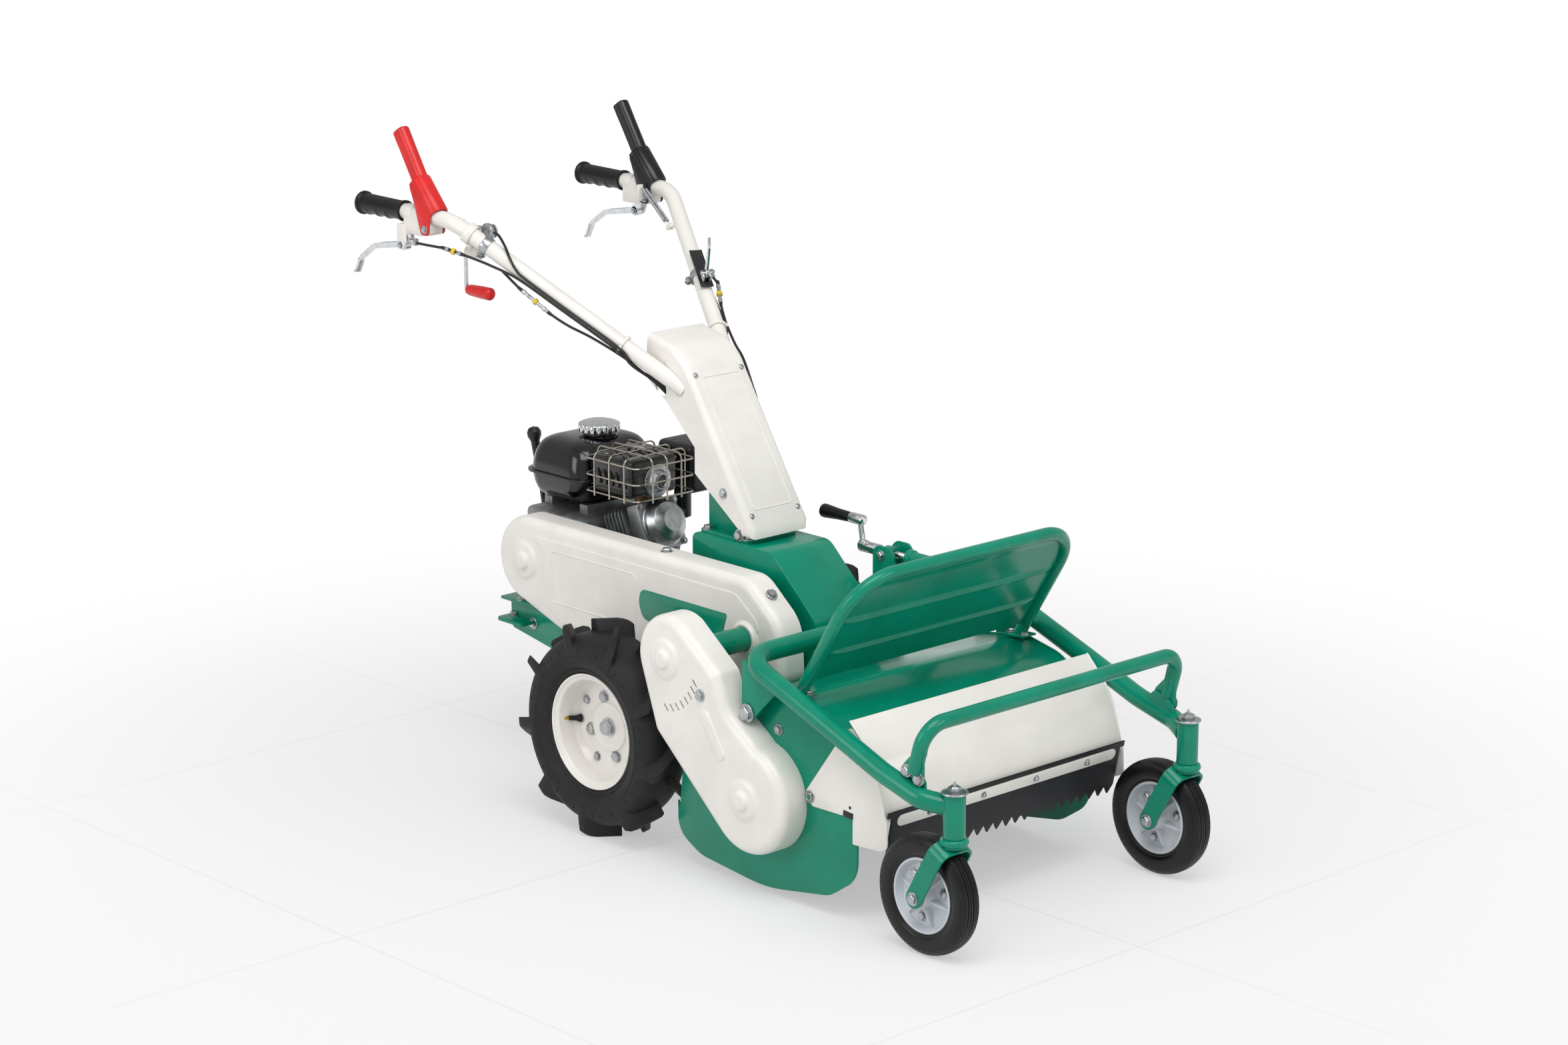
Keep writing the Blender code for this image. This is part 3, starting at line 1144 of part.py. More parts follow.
def clutch_lever(side):
    """A pressed lever: a wide channel that straddles the handle, and a slimmer blade."""
    middle, half_width, wall = side * LEVER_X, 0.0225, 0.0022
    sleeve = rounded([(0.459, 1.045, 0), (0.477, 0.995, 0.009), (0.502, 0.995, 0.009),
                      (0.529, 1.051, 0), (0.557, 1.094, 0.004), (0.510, 1.102, 0)], step=70)
    blade = rounded([(0.506, 1.094, 0), (0.533, 1.088, 0), (0.587, 1.178, 0.009),
                     (0.563, 1.184, 0.009)], step=60)
    outer = plate([sleeve], middle - half_width, middle + half_width)
    hollow = [(0.440, 0.980), (0.560, 0.980), (0.5625, 1.096), (0.5105, 1.0960), (0.4650, 1.0455),
              (0.440, 1.0455)]
    inner = plate([hollow], middle - half_width + wall, middle + half_width - wall)
    half_blade = 0.0125
    upper = plate([blade], middle - half_blade, middle + half_blade)
    gap = [Vector(point) + Vector((0.0036, -0.0050)) for point in blade]
    upper = cut(upper, plate([gap], middle - half_blade + wall, middle + half_blade - wall))
    bore = cross_rod(CLUTCH_AXIS, side * 0.22, side * 0.30, 0.0050, 8)
    return cut(join(cut(outer, inner), upper), bore)


def squeeze_lever(side):
    """The curved metal lever under the grip that frees one wheel."""
    low, high = side * (BRACKET_X - 0.0150), side * (BRACKET_X - 0.0008)
    path = rounded([(0.700, 0.902, 0), (0.684, 0.930, 0.020), (0.640, 0.956, 0.050),
                    (0.560, 0.968, 0.030), (0.532, 0.984, 0)], closed=False, step=20)
    blade = plate([thickened(path, 0.0050)], low, high)
    hub = cross_rod(SQUEEZE_AXIS, low, high, 0.0095, 10)
    bore = cross_rod(SQUEEZE_AXIS, side * 0.24, side * 0.30, 0.0045, 8)
    return cut(join(blade, hub), bore)


def throttle_housing():
    """The round throttle housing clamped inside the right handle tube."""
    return clamped(-1, 0.376, 0.018, cross_rod(THROTTLE_AXIS, -0.2050, -0.2180, 0.0160, 14))


def throttle_lever():
    """The thumb blade on the side of the throttle housing."""
    y, z = THROTTLE_AXIS
    loop = arc(THROTTLE_AXIS, 0.0130, 60, 320, 7) + [(y + 0.060, z - 0.004), (y + 0.096, z + 0.001),
                                                     (y + 0.096, z + 0.008), (y + 0.055, z + 0.005)]
    blade = plate([loop], -0.2047, -0.2017)
    return join(blade, cross_rod((y + 0.092, z + 0.004), -0.2047, -0.1950, 0.0060, 8))


def lock_bracket():
    """The bearing under the right handle tube for the lock crank."""
    seat = handle_frame(-1, 0.404).translation
    foot = Vector((CRANK_X, 0.434, CRANK_Z))
    bearing = rod((CRANK_X, 0.402, CRANK_Z), (CRANK_X, 0.440, CRANK_Z), 0.0100, 10)
    web = rod(foot, foot.lerp(seat, 0.72), 0.0050, 6)
    bore = rod((CRANK_X, 0.380, CRANK_Z), (CRANK_X, 0.450, CRANK_Z), 0.0056, 8)
    return clamped(-1, 0.404, 0.014, cut(join(bearing, web), bore))


def lock_crank():
    """The small crank under the right handle, with its red knob."""
    shaft = rod((CRANK_X, 0.403, CRANK_Z), (CRANK_X, 0.4500, CRANK_Z), 0.0050, 8)
    arm = box((0.008, 0.006, 0.086), (CRANK_X, 0.4470, CRANK_Z - 0.036))
    pin = rod((CRANK_X, 0.4490, CRANK_Z - 0.070), (CRANK_X, 0.4400, CRANK_Z - 0.070), 0.0050, 8)
    profile = [(0.0, 0.0690), (0.0085, 0.0690), (0.0115, 0.0640), (0.0100, 0.0100), (0.0080, 0.0),
               (0.0, 0.0)]
    knob = turned(profile, (CRANK_X, 0.4430, CRANK_Z - 0.070), (0, -1, 0), 10)
    return join(shaft, arm, pin, knob)


def on_handle(obj, side, y):
    """Move a solid made about the origin onto a handle tube's frame."""
    obj.data.transform(handle_frame(side, y))
    return obj


def brake_bracket():
    """The clamp and seat of the parking brake lever on the left handle tube."""
    along, up = BRAKE_PIVOT
    pieces = [on_handle(box((0.026, 0.100, 0.004), (0, 0, 0.0205)), 1, BRAKE_Y)]
    for x in (-0.0062, 0.0062):
        ear = box((0.0040, 0.022, up - 0.010), (x, along, 0.5 * (up + 0.028)))
        pieces.append(on_handle(ear, 1, BRAKE_Y))
    pin = on_handle(cross_rod(BRAKE_PIVOT, -0.010, 0.010, 0.0040, 8), 1, BRAKE_Y)
    return join(clamped(1, BRAKE_Y, 0.016, *pieces), pin)


def brake_lever():
    """The parking brake lever."""
    along, up = BRAKE_PIVOT
    loop = arc(BRAKE_PIVOT, 0.010, 170, 370, 5) + [(along + 0.010, up + 0.045), (along + 0.024, up + 0.066),
                                                   (along + 0.010, up + 0.072), (along - 0.007, up + 0.045)]
    blade = cut(plate([loop], -0.0030, 0.0030), cross_rod(BRAKE_PIVOT, -0.01, 0.01, 0.0045, 8))
    return on_handle(blade, 1, BRAKE_Y)


def beside_handle(side, y, angle, reach=CABLE_REACH):
    """A place round a handle tube: angles start on its outer side and run upwards."""
    turn = math.radians(angle)
    offset = Vector((side * reach * math.cos(turn), 0, reach * math.sin(turn)))
    return handle_frame(side, y) @ offset


def behind_cover(side, order):
    """The last points of a cable, inside the mast cover; the order sets it beside the others."""
    aside = Vector((0.0, 0.8, -0.6)) * (0.0062 * order)
    places = [(side * 0.0570, 0.0880, 0.7440), (side * 0.0430, 0.0350, 0.6850)]
    return [Vector(place) + aside for place in places]


def cable(route, barrel=None):
    """A control cable, with the barrel of its adjuster between two places."""
    path = smooth([Vector(point) for point in route], 7 * CABLE_RADIUS)
    cord = tube(path, CABLE_RADIUS, 2)
    if barrel is None:
        return cord
    start, end = Vector(barrel[0]), Vector(barrel[1])
    ring = (end - start).normalized() * 0.0035
    return join(cord, rod(start, end, 0.0042, 6), rod(end - ring, end + ring, 0.0062, 6))


def cable_tie(side, y):
    """The band that ties the cables to a handle tube."""
    place = handle_frame(side, y)
    profile = [(0.0190, 0.0025), (0.0190, -0.0025), (0.0155, -0.0025), (0.0155, 0.0025)]
    return turned(profile, place.translation, place.col[1][:3], 12, loop=True)


def right_cables():
    """The right side-clutch cable, the throttle cable and the blade clutch cable, in one tie."""
    def at(y, angle, reach=CABLE_REACH):
        return beside_handle(-1, y, angle, reach)
    clutch = cable([(-0.2740, 0.5180, 0.9790), (-0.2721, 0.4900, 0.9785), (-0.2708, 0.4372, 0.9784),
                    (-0.2593, 0.4078, 0.9712), at(0.3797, -67.6, 0.0317), at(0.3552, -67, 0.0240),
                    at(0.3111, -30), at(0.2400, -25), at(TIE_Y, -25), at(0.118, -78, 0.0200),
                    *behind_cover(-1, 0)],
                   ((-0.2708, 0.4372, 0.9784), (-0.2593, 0.4078, 0.9712)))
    throttle = cable([(-0.2110, 0.3704, 1.0080), (-0.2110, 0.3590, 1.0030), at(0.350, 78, 0.0195),
                      at(0.336, 40, 0.0190), at(0.318, 6), at(0.300, -2), at(0.240, -4),
                      at(TIE_Y, -5), at(0.118, -58, 0.0200), *behind_cover(-1, -1)])
    blade = cable([at(0.3390, -67.5, 0.0195), at(0.3107, -67.5, 0.0255), at(0.3002, -67.5, 0.0269),
                   at(0.2547, -67.5, 0.0307), at(0.2219, -67.5, 0.0291), at(0.1875, -66, 0.0221),
                   at(TIE_Y, -46), at(0.118, -98, 0.0200), *behind_cover(-1, 1)],
                  (at(0.3002, -67.5, 0.0269), at(0.2547, -67.5, 0.0307)))
    stop = box((0.0085, 0.0080, 0.0120), (-0.2762, 0.5165, 0.9810))
    return join(cable_tie(-1, TIE_Y), clutch, throttle, blade, stop)


def left_cables():
    """The parking brake cable and the travel clutch cable, in one tie."""
    def at(y, angle, reach=CABLE_REACH):
        return beside_handle(1, y, angle, reach)
    brake = cable([at(0.2379, 41, 0.0227), at(0.2235, 22, 0.0268), at(0.190, 21, 0.0207),
                   at(0.165, 14), at(TIE_Y, 12), (0.1050, 0.0915, 0.8060), (0.0880, 0.0520, 0.7885),
                   (0.0750, 0.0150, 0.7500), (0.0738, -0.0070, 0.7000), (0.0738, -0.0700, 0.4900)],
                  (at(0.2235, 22, 0.0268), at(0.190, 21, 0.0207)))
    travel = cable([at(0.339, -67.5, 0.0195), at(0.300, -62, 0.0215), at(0.270, -56, 0.0232),
                    at(0.235, -42, 0.0232), at(0.200, -24, 0.0195), at(0.165, -15),
                    at(TIE_Y, -14), at(0.112, -72, 0.0200), *behind_cover(1, 0)])
    stop = on_handle(box((0.0110, 0.0100, 0.0035), (0.0160, -0.0160, 0.0164)), 1, BRAKE_Y)
    return join(cable_tie(1, TIE_Y), brake, travel, stop)


def lever_spring(order):
    """A return spring of the travel clutch lever, as the plain cylinder of its coils."""
    step = SPRING_STEP * order
    return rod(Vector(SPRING_FOOT) + step, Vector(SPRING_TOP) + step, SPRING_RADIUS, 8)


def make_controls():
    """Levers, brackets and the lock crank on the two handles."""
    for side in (-1, 1):
        name = side_name(side)
        finish(lever_bracket(side), f"lever_bracket_{name}", "white_paint")
        finish(squeeze_lever(side), f"squeeze_lever_{name}", "chrome", (side * 0.27, *SQUEEZE_AXIS))
    finish(clutch_lever(-1), "blade_clutch_lever", "red_plastic", (-LEVER_X, *CLUTCH_AXIS))
    finish(clutch_lever(1), "travel_clutch_lever", "black_paint", (LEVER_X, *CLUTCH_AXIS))
    finish(throttle_housing(), "throttle_housing", "black_paint")
    finish(throttle_lever(), "throttle_lever", "zinc", (-0.203, *THROTTLE_AXIS))
    finish(lock_bracket(), "lock_bracket", "white_paint")
    finish(lock_crank(), "lock_crank", "chrome", (CRANK_X, 0.420, CRANK_Z))
    finish(brake_bracket(), "brake_bracket", "zinc")
    pivot = handle_frame(1, BRAKE_Y) @ Vector((0, *BRAKE_PIVOT))
    finish(brake_lever(), "parking_brake_lever", "zinc", pivot)
    finish(right_cables(), "right_cables", "black_rubber")
    finish(left_cables(), "left_cables", "black_rubber")
    for order, name in enumerate(("lever_spring_inner", "lever_spring_outer")):
        finish(lever_spring(order), name, "zinc")


def make_all():
    """Make every part of the mower."""
    make_drive_wheels()
    make_casters()
    make_lift_arm()
    make_deck()
    make_belt_drive()
    make_mast()
    make_engine()
    make_controls()


make_all()
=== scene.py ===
import math

import bmesh
import bpy
from mathutils import Euler, Matrix, Vector


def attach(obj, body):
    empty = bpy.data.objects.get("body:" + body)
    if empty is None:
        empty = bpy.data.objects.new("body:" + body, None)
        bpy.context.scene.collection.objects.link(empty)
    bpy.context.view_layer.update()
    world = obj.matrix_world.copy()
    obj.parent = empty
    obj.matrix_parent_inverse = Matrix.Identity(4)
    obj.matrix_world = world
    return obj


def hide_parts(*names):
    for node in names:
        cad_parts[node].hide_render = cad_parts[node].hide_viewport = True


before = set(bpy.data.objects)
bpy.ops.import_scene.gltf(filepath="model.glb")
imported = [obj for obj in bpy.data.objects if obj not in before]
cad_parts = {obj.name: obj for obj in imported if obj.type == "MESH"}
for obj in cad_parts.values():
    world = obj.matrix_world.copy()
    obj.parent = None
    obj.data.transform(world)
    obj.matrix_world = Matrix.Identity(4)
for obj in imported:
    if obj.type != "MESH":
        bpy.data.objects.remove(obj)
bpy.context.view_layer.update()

# The mower's sizes are in metres about the middle of its track; shift puts them in the frame.
shift = Vector((0.0125, 0.0905, 0.0))
axle = (0.014, 0.191)            # (y, z) of the drive wheels
trackHalf = 0.27
casterX, kingpinY = 0.278, -0.835
casterAxle = (-0.781, 0.1)
rotorAxis = (-0.407, 0.176)
jackshaftAxis = (-0.214, 0.377)
crankshaftAxis = (0.378, 0.4)
armHinge = (-0.386, 0.316)


# ---- materials ----
def linear(code):
    # sRGB hex to the linear values that shaders take
    parts = [int(code[i:i + 2], 16) / 255 for i in (0, 2, 4)]
    return (*[((c + 0.055) / 1.055) ** 2.4 if c > 0.04045 else c / 12.92 for c in parts], 1.0)


def addNode(tree, kind, settings=None, **links):
    # one node with its settings; a link is a socket, anything else is a value
    node = tree.nodes.new(kind)
    for name, value in (settings or {}).items():
        setattr(node, name, value)
    for name, value in links.items():
        socket = node.inputs[int(name[1:])] if name[0] == "n" and name[1:].isdigit() \
            else node.inputs[name.replace("_", " ")]
        if isinstance(value, bpy.types.NodeSocket):
            tree.links.new(value, socket)
        else:
            socket.default_value = value
    return node


def newMaterial(name, baseHex, roughness, metallic=0.0, coat=0.0, coatRoughness=0.1, specular=0.5):
    material = bpy.data.materials.new(name)
    material.use_nodes = True
    material.diffuse_color = linear(baseHex)
    shader = material.node_tree.nodes["Principled BSDF"]
    shader.inputs["Base Color"].default_value = linear(baseHex)
    shader.inputs["Roughness"].default_value = roughness
    shader.inputs["Metallic"].default_value = metallic
    shader.inputs["Coat Weight"].default_value = coat
    shader.inputs["Coat Roughness"].default_value = coatRoughness
    if specular != 0.5:
        shader.inputs["Specular IOR Level"].default_value = specular
    return material, material.node_tree, shader


def grainOf(tree, millimetres, detail=3.0, roughness=0.55):
    # noise in object space whose cells are this many millimetres wide
    place = addNode(tree, "ShaderNodeTexCoord")
    return addNode(tree, "ShaderNodeTexNoise", Vector=place.outputs["Object"],
                   Scale=1000.0 / millimetres, Detail=detail, Roughness=roughness)


def mixTones(tree, shader, factor, darkHex, lightHex, low=0.35, high=0.65):
    # the base colour drifts between two tones
    ramp = addNode(tree, "ShaderNodeMapRange", n0=factor, n1=low, n2=high)
    mix = addNode(tree, "ShaderNodeMix", {"data_type": "RGBA"}, n0=ramp.outputs[0],
                  n6=linear(darkHex), n7=linear(lightHex))
    tree.links.new(mix.outputs[2], shader.inputs["Base Color"])


def roughDrift(tree, shader, factor, low, high):
    ramp = addNode(tree, "ShaderNodeMapRange", n0=factor, n3=low, n4=high)
    tree.links.new(ramp.outputs[0], shader.inputs["Roughness"])


def bumpFrom(tree, shader, height, strength, depthMm):
    bump = addNode(tree, "ShaderNodeBump", Strength=strength, Distance=depthMm / 1000,
                   Height=height)
    tree.links.new(bump.outputs[0], shader.inputs["Normal"])


def powderCoat(name, baseHex, darkHex, roughness, coat=0.3, specular=0.5):
    # epoxy powder coat, sprayed and baked: a faint orange peel of about 2.5 mm softens the gloss
    material, tree, shader = newMaterial(name, baseHex, roughness, 0.0, coat, 0.08, specular)
    peel = grainOf(tree, 2.5, 2.0)
    cloud = grainOf(tree, 90.0, 2.0)
    mixTones(tree, shader, cloud.outputs[0], darkHex, baseHex)
    roughDrift(tree, shader, cloud.outputs[0], roughness - 0.05, roughness + 0.06)
    bumpFrom(tree, shader, peel.outputs[0], 0.1, 0.25)
    return material


def mouldedPlastic(name, baseHex, darkHex, roughness, grainMm=0.8, depth=0.12):
    # injection-moulded ABS or polypropylene: fine spark grain and a soft sheen
    material, tree, shader = newMaterial(name, baseHex, roughness)
    grain = grainOf(tree, grainMm, 4.0)
    cloud = grainOf(tree, 60.0, 2.0)
    mixTones(tree, shader, cloud.outputs[0], darkHex, baseHex)
    roughDrift(tree, shader, grain.outputs[0], roughness - 0.06, roughness + 0.08)
    bumpFrom(tree, shader, grain.outputs[0], 0.15, depth)
    return material


def curedRubber(name, baseHex, darkHex, roughness, grainMm=1.6, depth=0.25):
    # vulcanised rubber from a steel mould: matt, with faint blotches of bloom
    material, tree, shader = newMaterial(name, baseHex, roughness, specular=0.35)
    grain = grainOf(tree, grainMm, 5.0)
    bloom = grainOf(tree, 35.0, 4.0, 0.65)
    mixTones(tree, shader, bloom.outputs[0], darkHex, baseHex)
    roughDrift(tree, shader, bloom.outputs[0], roughness - 0.08, roughness + 0.08)
    bumpFrom(tree, shader, grain.outputs[0], 0.25, depth)
    return material


def platedSteel(name, baseHex, darkHex, roughness, grainMm=1.2):
    # bright zinc or chromium plate: clean metal with slight clouding
    material, tree, shader = newMaterial(name, baseHex, roughness, metallic=1.0)
    cloud = grainOf(tree, 12.0, 4.0, 0.6)
    fine = grainOf(tree, grainMm, 3.0)
    mixTones(tree, shader, cloud.outputs[0], darkHex, baseHex)
    roughDrift(tree, shader, cloud.outputs[0], max(0.04, roughness - 0.06), roughness + 0.08)
    bumpFrom(tree, shader, fine.outputs[0], 0.06, 0.08)
    return material


def castMetal(name, baseHex, darkHex, roughness):
    # die-cast or sand-cast alloy: a grainy skin about 1.5 mm across
    material, tree, shader = newMaterial(name, baseHex, roughness, metallic=0.85)
    skin = grainOf(tree, 1.5, 6.0, 0.65)
    stain = grainOf(tree, 25.0, 3.0)
    mixTones(tree, shader, stain.outputs[0], darkHex, baseHex)
    roughDrift(tree, shader, skin.outputs[0], roughness - 0.08, roughness + 0.15)
    bumpFrom(tree, shader, skin.outputs[0], 0.45, 0.35)
    return material


green = powderCoat("powder_coat_green", "008D70", "008367", 0.22, 0.12, 0.3)
white = powderCoat("powder_coat_warm_white", "F1EEE9", "ECE8E2", 0.3)
coverWhite = mouldedPlastic("moulded_abs_white", "F2EFEA", "ECE8E3", 0.32, 2.2, 0.06)
redPaint = mouldedPlastic("dipped_vinyl_red", "E4201F", "CF1716", 0.34, 1.5, 0.1)
blackPaint = mouldedPlastic("dipped_vinyl_black", "0B0B0D", "060607", 0.26, 1.5, 0.1)
tyreRubber = curedRubber("cured_tyre_rubber", "232324", "161617", 0.62)
casterRubber = curedRubber("polished_caster_rubber", "151516", "0D0D0E", 0.34, 2.0, 0.12)
flapRubber = curedRubber("rubber_sheet", "232428", "1A1B1E", 0.55, 1.2, 0.15)
gripRubber = curedRubber("moulded_grip_rubber", "0C0C0D", "070708", 0.36, 1.0, 0.15)
sheath = mouldedPlastic("cable_sheath_pvc", "161617", "0E0E0F", 0.4, 1.0, 0.08)
blackPlastic = mouldedPlastic("polypropylene_black", "17181A", "101012", 0.38, 0.9, 0.12)
tankBlack = powderCoat("baked_enamel_black", "070708", "040405", 0.14)
stoveBlack = powderCoat("heat_proof_black", "131314", "0C0C0D", 0.3)
nylonGrey = mouldedPlastic("glass_filled_nylon", "D3D7DD", "C6CBD2", 0.42, 1.4, 0.12)
zinc = platedSteel("bright_zinc_plate", "C2C4C6", "A8ABAE", 0.3)
chrome = platedSteel("chromium_plate", "DEE0E2", "C8CBCE", 0.1)
stainless = platedSteel("drawn_stainless_wire", "C9C3B8", "AFA89B", 0.24)
castAlloy = castMetal("die_cast_aluminium", "A3A5A6", "85878A", 0.42)
darkSteel = castMetal("oiled_steel", "4A4B4D", "333436", 0.4)
beltRubber = curedRubber("fabric_belt", "1C1C1D", "121213", 0.7)
yellowPlastic = mouldedPlastic("marker_ring_yellow", "F2CB1B", "DDB60F", 0.4)

brass = platedSteel("turned_brass", "C9A24A", "A98536", 0.28)
heatTint = castMetal("heat_browned_steel", "7A5B3C", "4E3A2A", 0.38)
print("finishes made")


# ---- making meshes ----
weldReach, bevelAngle = 0.00001, math.radians(32)
firstTurn, nextTurn = 0.35, 0.7     # how far the heads of a row of bolts are turned


def meshOf(work, place=None):
    if place is not None:
        bmesh.ops.transform(work, matrix=place, verts=work.verts)
    bmesh.ops.recalc_face_normals(work, faces=work.faces)
    mesh = bpy.data.meshes.new("shape")
    work.to_mesh(mesh)
    work.free()
    return mesh


def facing(centre, axis, phase=0.0):
    # a frame whose z axis points along the axis given
    turn = Vector(axis).to_track_quat("Z", "Y").to_matrix().to_4x4()
    return Matrix.Translation(centre) @ turn @ Matrix.Rotation(phase, 4, "Z")


def block(size, centre, turn=(0.0, 0.0, 0.0), edge=0.0006, place=None, segments=2):
    # a box with rounded edges
    work = bmesh.new()
    spot = Matrix.Translation(centre) @ Euler(turn).to_matrix().to_4x4()
    bmesh.ops.create_cube(work, size=1.0, matrix=Matrix.Diagonal((*size, 1.0)))
    if edge:
        bmesh.ops.bevel(work, geom=work.edges[:], offset=edge, segments=segments, profile=0.5,
                        affect="EDGES")
    return meshOf(work, spot if place is None else place @ spot)


def rounded(corners, closed=True, step=12.0):
    # each corner of a path, given with its radius last, becomes an arc
    points = []
    last = len(corners) - 1
    for index, corner in enumerate(corners):
        here, radius = Vector(corner[:-1]), corner[-1]
        if radius == 0 or (not closed and index in (0, last)):
            points.append(here)
            continue
        back = Vector(corners[index - 1][:-1]) - here
        ahead = Vector(corners[(index + 1) % len(corners)][:-1]) - here
        room = 0.49 * min(back.length, ahead.length)
        back.normalize()
        ahead.normalize()
        turn = math.pi - back.angle(ahead)
        if turn < 0.02:
            points.append(here)
            continue
        radius = min(radius, room / math.tan(turn / 2))
        reach = radius * math.tan(turn / 2)
        centre = here + (back + ahead).normalized() * (radius / math.cos(turn / 2))
        start, end = here + back * reach - centre, here + ahead * reach - centre
        pieces = max(1, math.ceil(turn / math.radians(step)))
        for k in range(pieces + 1):
            share = math.sin((1 - k / pieces) * turn), math.sin(k / pieces * turn)
            points.append(centre + (start * share[0] + end * share[1]) / math.sin(turn))
    return points


def softened(points, radius, closed=False, step=30.0):
    return [tuple(p) for p in rounded([(*p, radius) for p in points], closed, step)]


def headings(path):
    # each point of a path, its direction and its share of the way
    last = len(path) - 1
    for index, here in enumerate(path):
        along = Vector(path[min(index + 1, last)]) - Vector(path[max(index - 1, 0)])
        yield Vector(here), along.normalized(), index / last


def mirrored(half):
    # a profile and its mirror image below
    return half + [(radius, -height) for radius, height in reversed(half)]


def sideName(side):
    return "right" if side < 0 else "left"


def fan(first, step, count):
    # angles in radians, a step apart in degrees
    return [math.radians(first + step * k) for k in range(count)]


def spoke(centre, radius, angle):
    return centre[0] + radius * math.cos(angle), centre[1] + radius * math.sin(angle)


def arc(centre, radius, first, last, pieces):
    angles = [math.radians(first + (last - first) * k / pieces) for k in range(pieces + 1)]
    return [spoke(centre, radius, angle) for angle in angles]


def lathe(profile, centre, axis, sides=48, closed=False, phase=0.0):
    # (radius, height) points turned about an axis
    work = bmesh.new()
    rings = []
    for radius, height in profile:
        if radius < 1e-6:
            rings.append([work.verts.new((0, 0, height))] * sides)
            continue
        angles = [2 * math.pi * k / sides for k in range(sides)]
        rings.append([work.verts.new((*spoke((0, 0), radius, a), height)) for a in angles])
    for near, far in zip(rings, rings[1:] + ([rings[0]] if closed else [])):
        for k in range(sides):
            n = (k + 1) % sides
            corners = list(dict.fromkeys((near[k], near[n], far[n], far[k])))
            if len(corners) > 2:
                work.faces.new(corners)
    return meshOf(work, facing(centre, axis, phase))


def turned(profile, easing, centre, axis, sides=48, closed=False, step=30.0):
    # a lathed shape whose profile has its corners eased, all but the first and the last
    return lathe(softened(profile, easing, step=step), centre, axis, sides, closed)


def barrel(start, end, radius, edge=0.0006, sides=24):
    # a round bar with eased ends
    length = (Vector(end) - Vector(start)).length
    profile = [(0.0, 0.0), (radius - edge, 0.0), (radius, edge), (radius, length - edge),
               (radius - edge, length), (0.0, length)]
    return lathe(profile, start, Vector(end) - Vector(start), sides)


def loft(rings, closed=True, capWay=-1):
    # skin through rings of equal counts, capped at both ends; capWay is the order in which the
    # first cap takes its points
    work = bmesh.new()
    rows = [[work.verts.new(point) for point in ring] for ring in rings]
    count = len(rows[0])
    for near, far in zip(rows, rows[1:]):
        for k in range(count):
            work.faces.new((near[k], near[(k + 1) % count], far[(k + 1) % count], far[k]))
    if closed:
        work.faces.new(rows[0][::capWay])
        work.faces.new(rows[-1])
    return meshOf(work)


def oblong(left, right, low, high):
    # the corners of a rectangle, first along its low side
    return [(left, low), (right, low), (right, high), (left, high)]


def roundedBox(left, right, low, high, radius, step=12.0):
    return rounded([(*p, radius) for p in oblong(left, right, low, high)], step=step)


def inset(loop, distance):
    # a counter-clockwise outline moved inwards
    moved = []
    for index, here in enumerate(loop):
        here = Vector(here)
        before = (here - Vector(loop[index - 1])).normalized()
        after = (Vector(loop[(index + 1) % len(loop)]) - here).normalized()
        inward = Vector((-before.y - after.y, before.x + after.x)).normalized()
        share = max(0.4, inward.dot(Vector((-after.y, after.x))))
        moved.append(here + inward * (distance / share))
    return moved


planes = {"yz": Matrix(((0, 0, 1, 0), (1, 0, 0, 0), (0, 1, 0, 0), (0, 0, 0, 1))),
          "xz": Matrix(((1, 0, 0, 0), (0, 0, -1, 0), (0, 1, 0, 0), (0, 0, 0, 1))),
          "xy": Matrix.Identity(4)}


def slab(outline, low, high, plane="yz", edge=0.0006, place=None):
    # a flat outline between two levels, its two rims eased; "xz" levels count towards the front
    loop = [Vector(p[:2]) for p in outline]
    area = sum(a.x * b.y - b.x * a.y for a, b in zip(loop, loop[1:] + loop[:1]))
    if area < 0:
        loop.reverse()
    low, high = min(low, high), max(low, high)
    edge = min(edge, (high - low) * 0.45)
    levels = [(low, edge), (low + edge * 0.3, edge * 0.3), (low + edge, 0.0), (high - edge, 0.0),
              (high - edge * 0.3, edge * 0.3), (high, edge)] if edge \
        else [(low, 0.0), (high, 0.0)]
    mesh = loft([[(*p, z) for p in inset(loop, distance)] for z, distance in levels])
    mesh.transform(planes[plane] if place is None else place @ planes[plane])
    return mesh


def moved(mesh, place):
    mesh.transform(place)
    return mesh


def linked(name, data):
    obj = bpy.data.objects.new(name, data)
    bpy.context.scene.collection.objects.link(obj)
    return obj


def plainMesh(obj):
    # the object with its modifiers worked out, as a plain mesh
    bpy.context.view_layer.update()
    graph = bpy.context.evaluated_depsgraph_get()
    mesh = bpy.data.meshes.new_from_object(obj.evaluated_get(graph))
    mesh.transform(obj.matrix_world)
    bpy.data.objects.remove(obj, do_unlink=True)
    return mesh


def joined(meshes):
    work = bmesh.new()
    for mesh in meshes:
        work.from_mesh(mesh)
        bpy.data.meshes.remove(mesh)
    return work


def cutBy(mesh, tools, crossing=False):
    # the mesh less each of the tools; crossing tools overlap themselves
    body = linked("body", mesh)
    cutters = [linked("cutter", tool) for tool in tools]
    for cutter in cutters:
        step = body.modifiers.new("step", "BOOLEAN")
        step.operation, step.object, step.use_self = "DIFFERENCE", cutter, crossing
    rest = plainMesh(body)
    for cutter in cutters:
        bpy.data.objects.remove(cutter, do_unlink=True)
    return rest


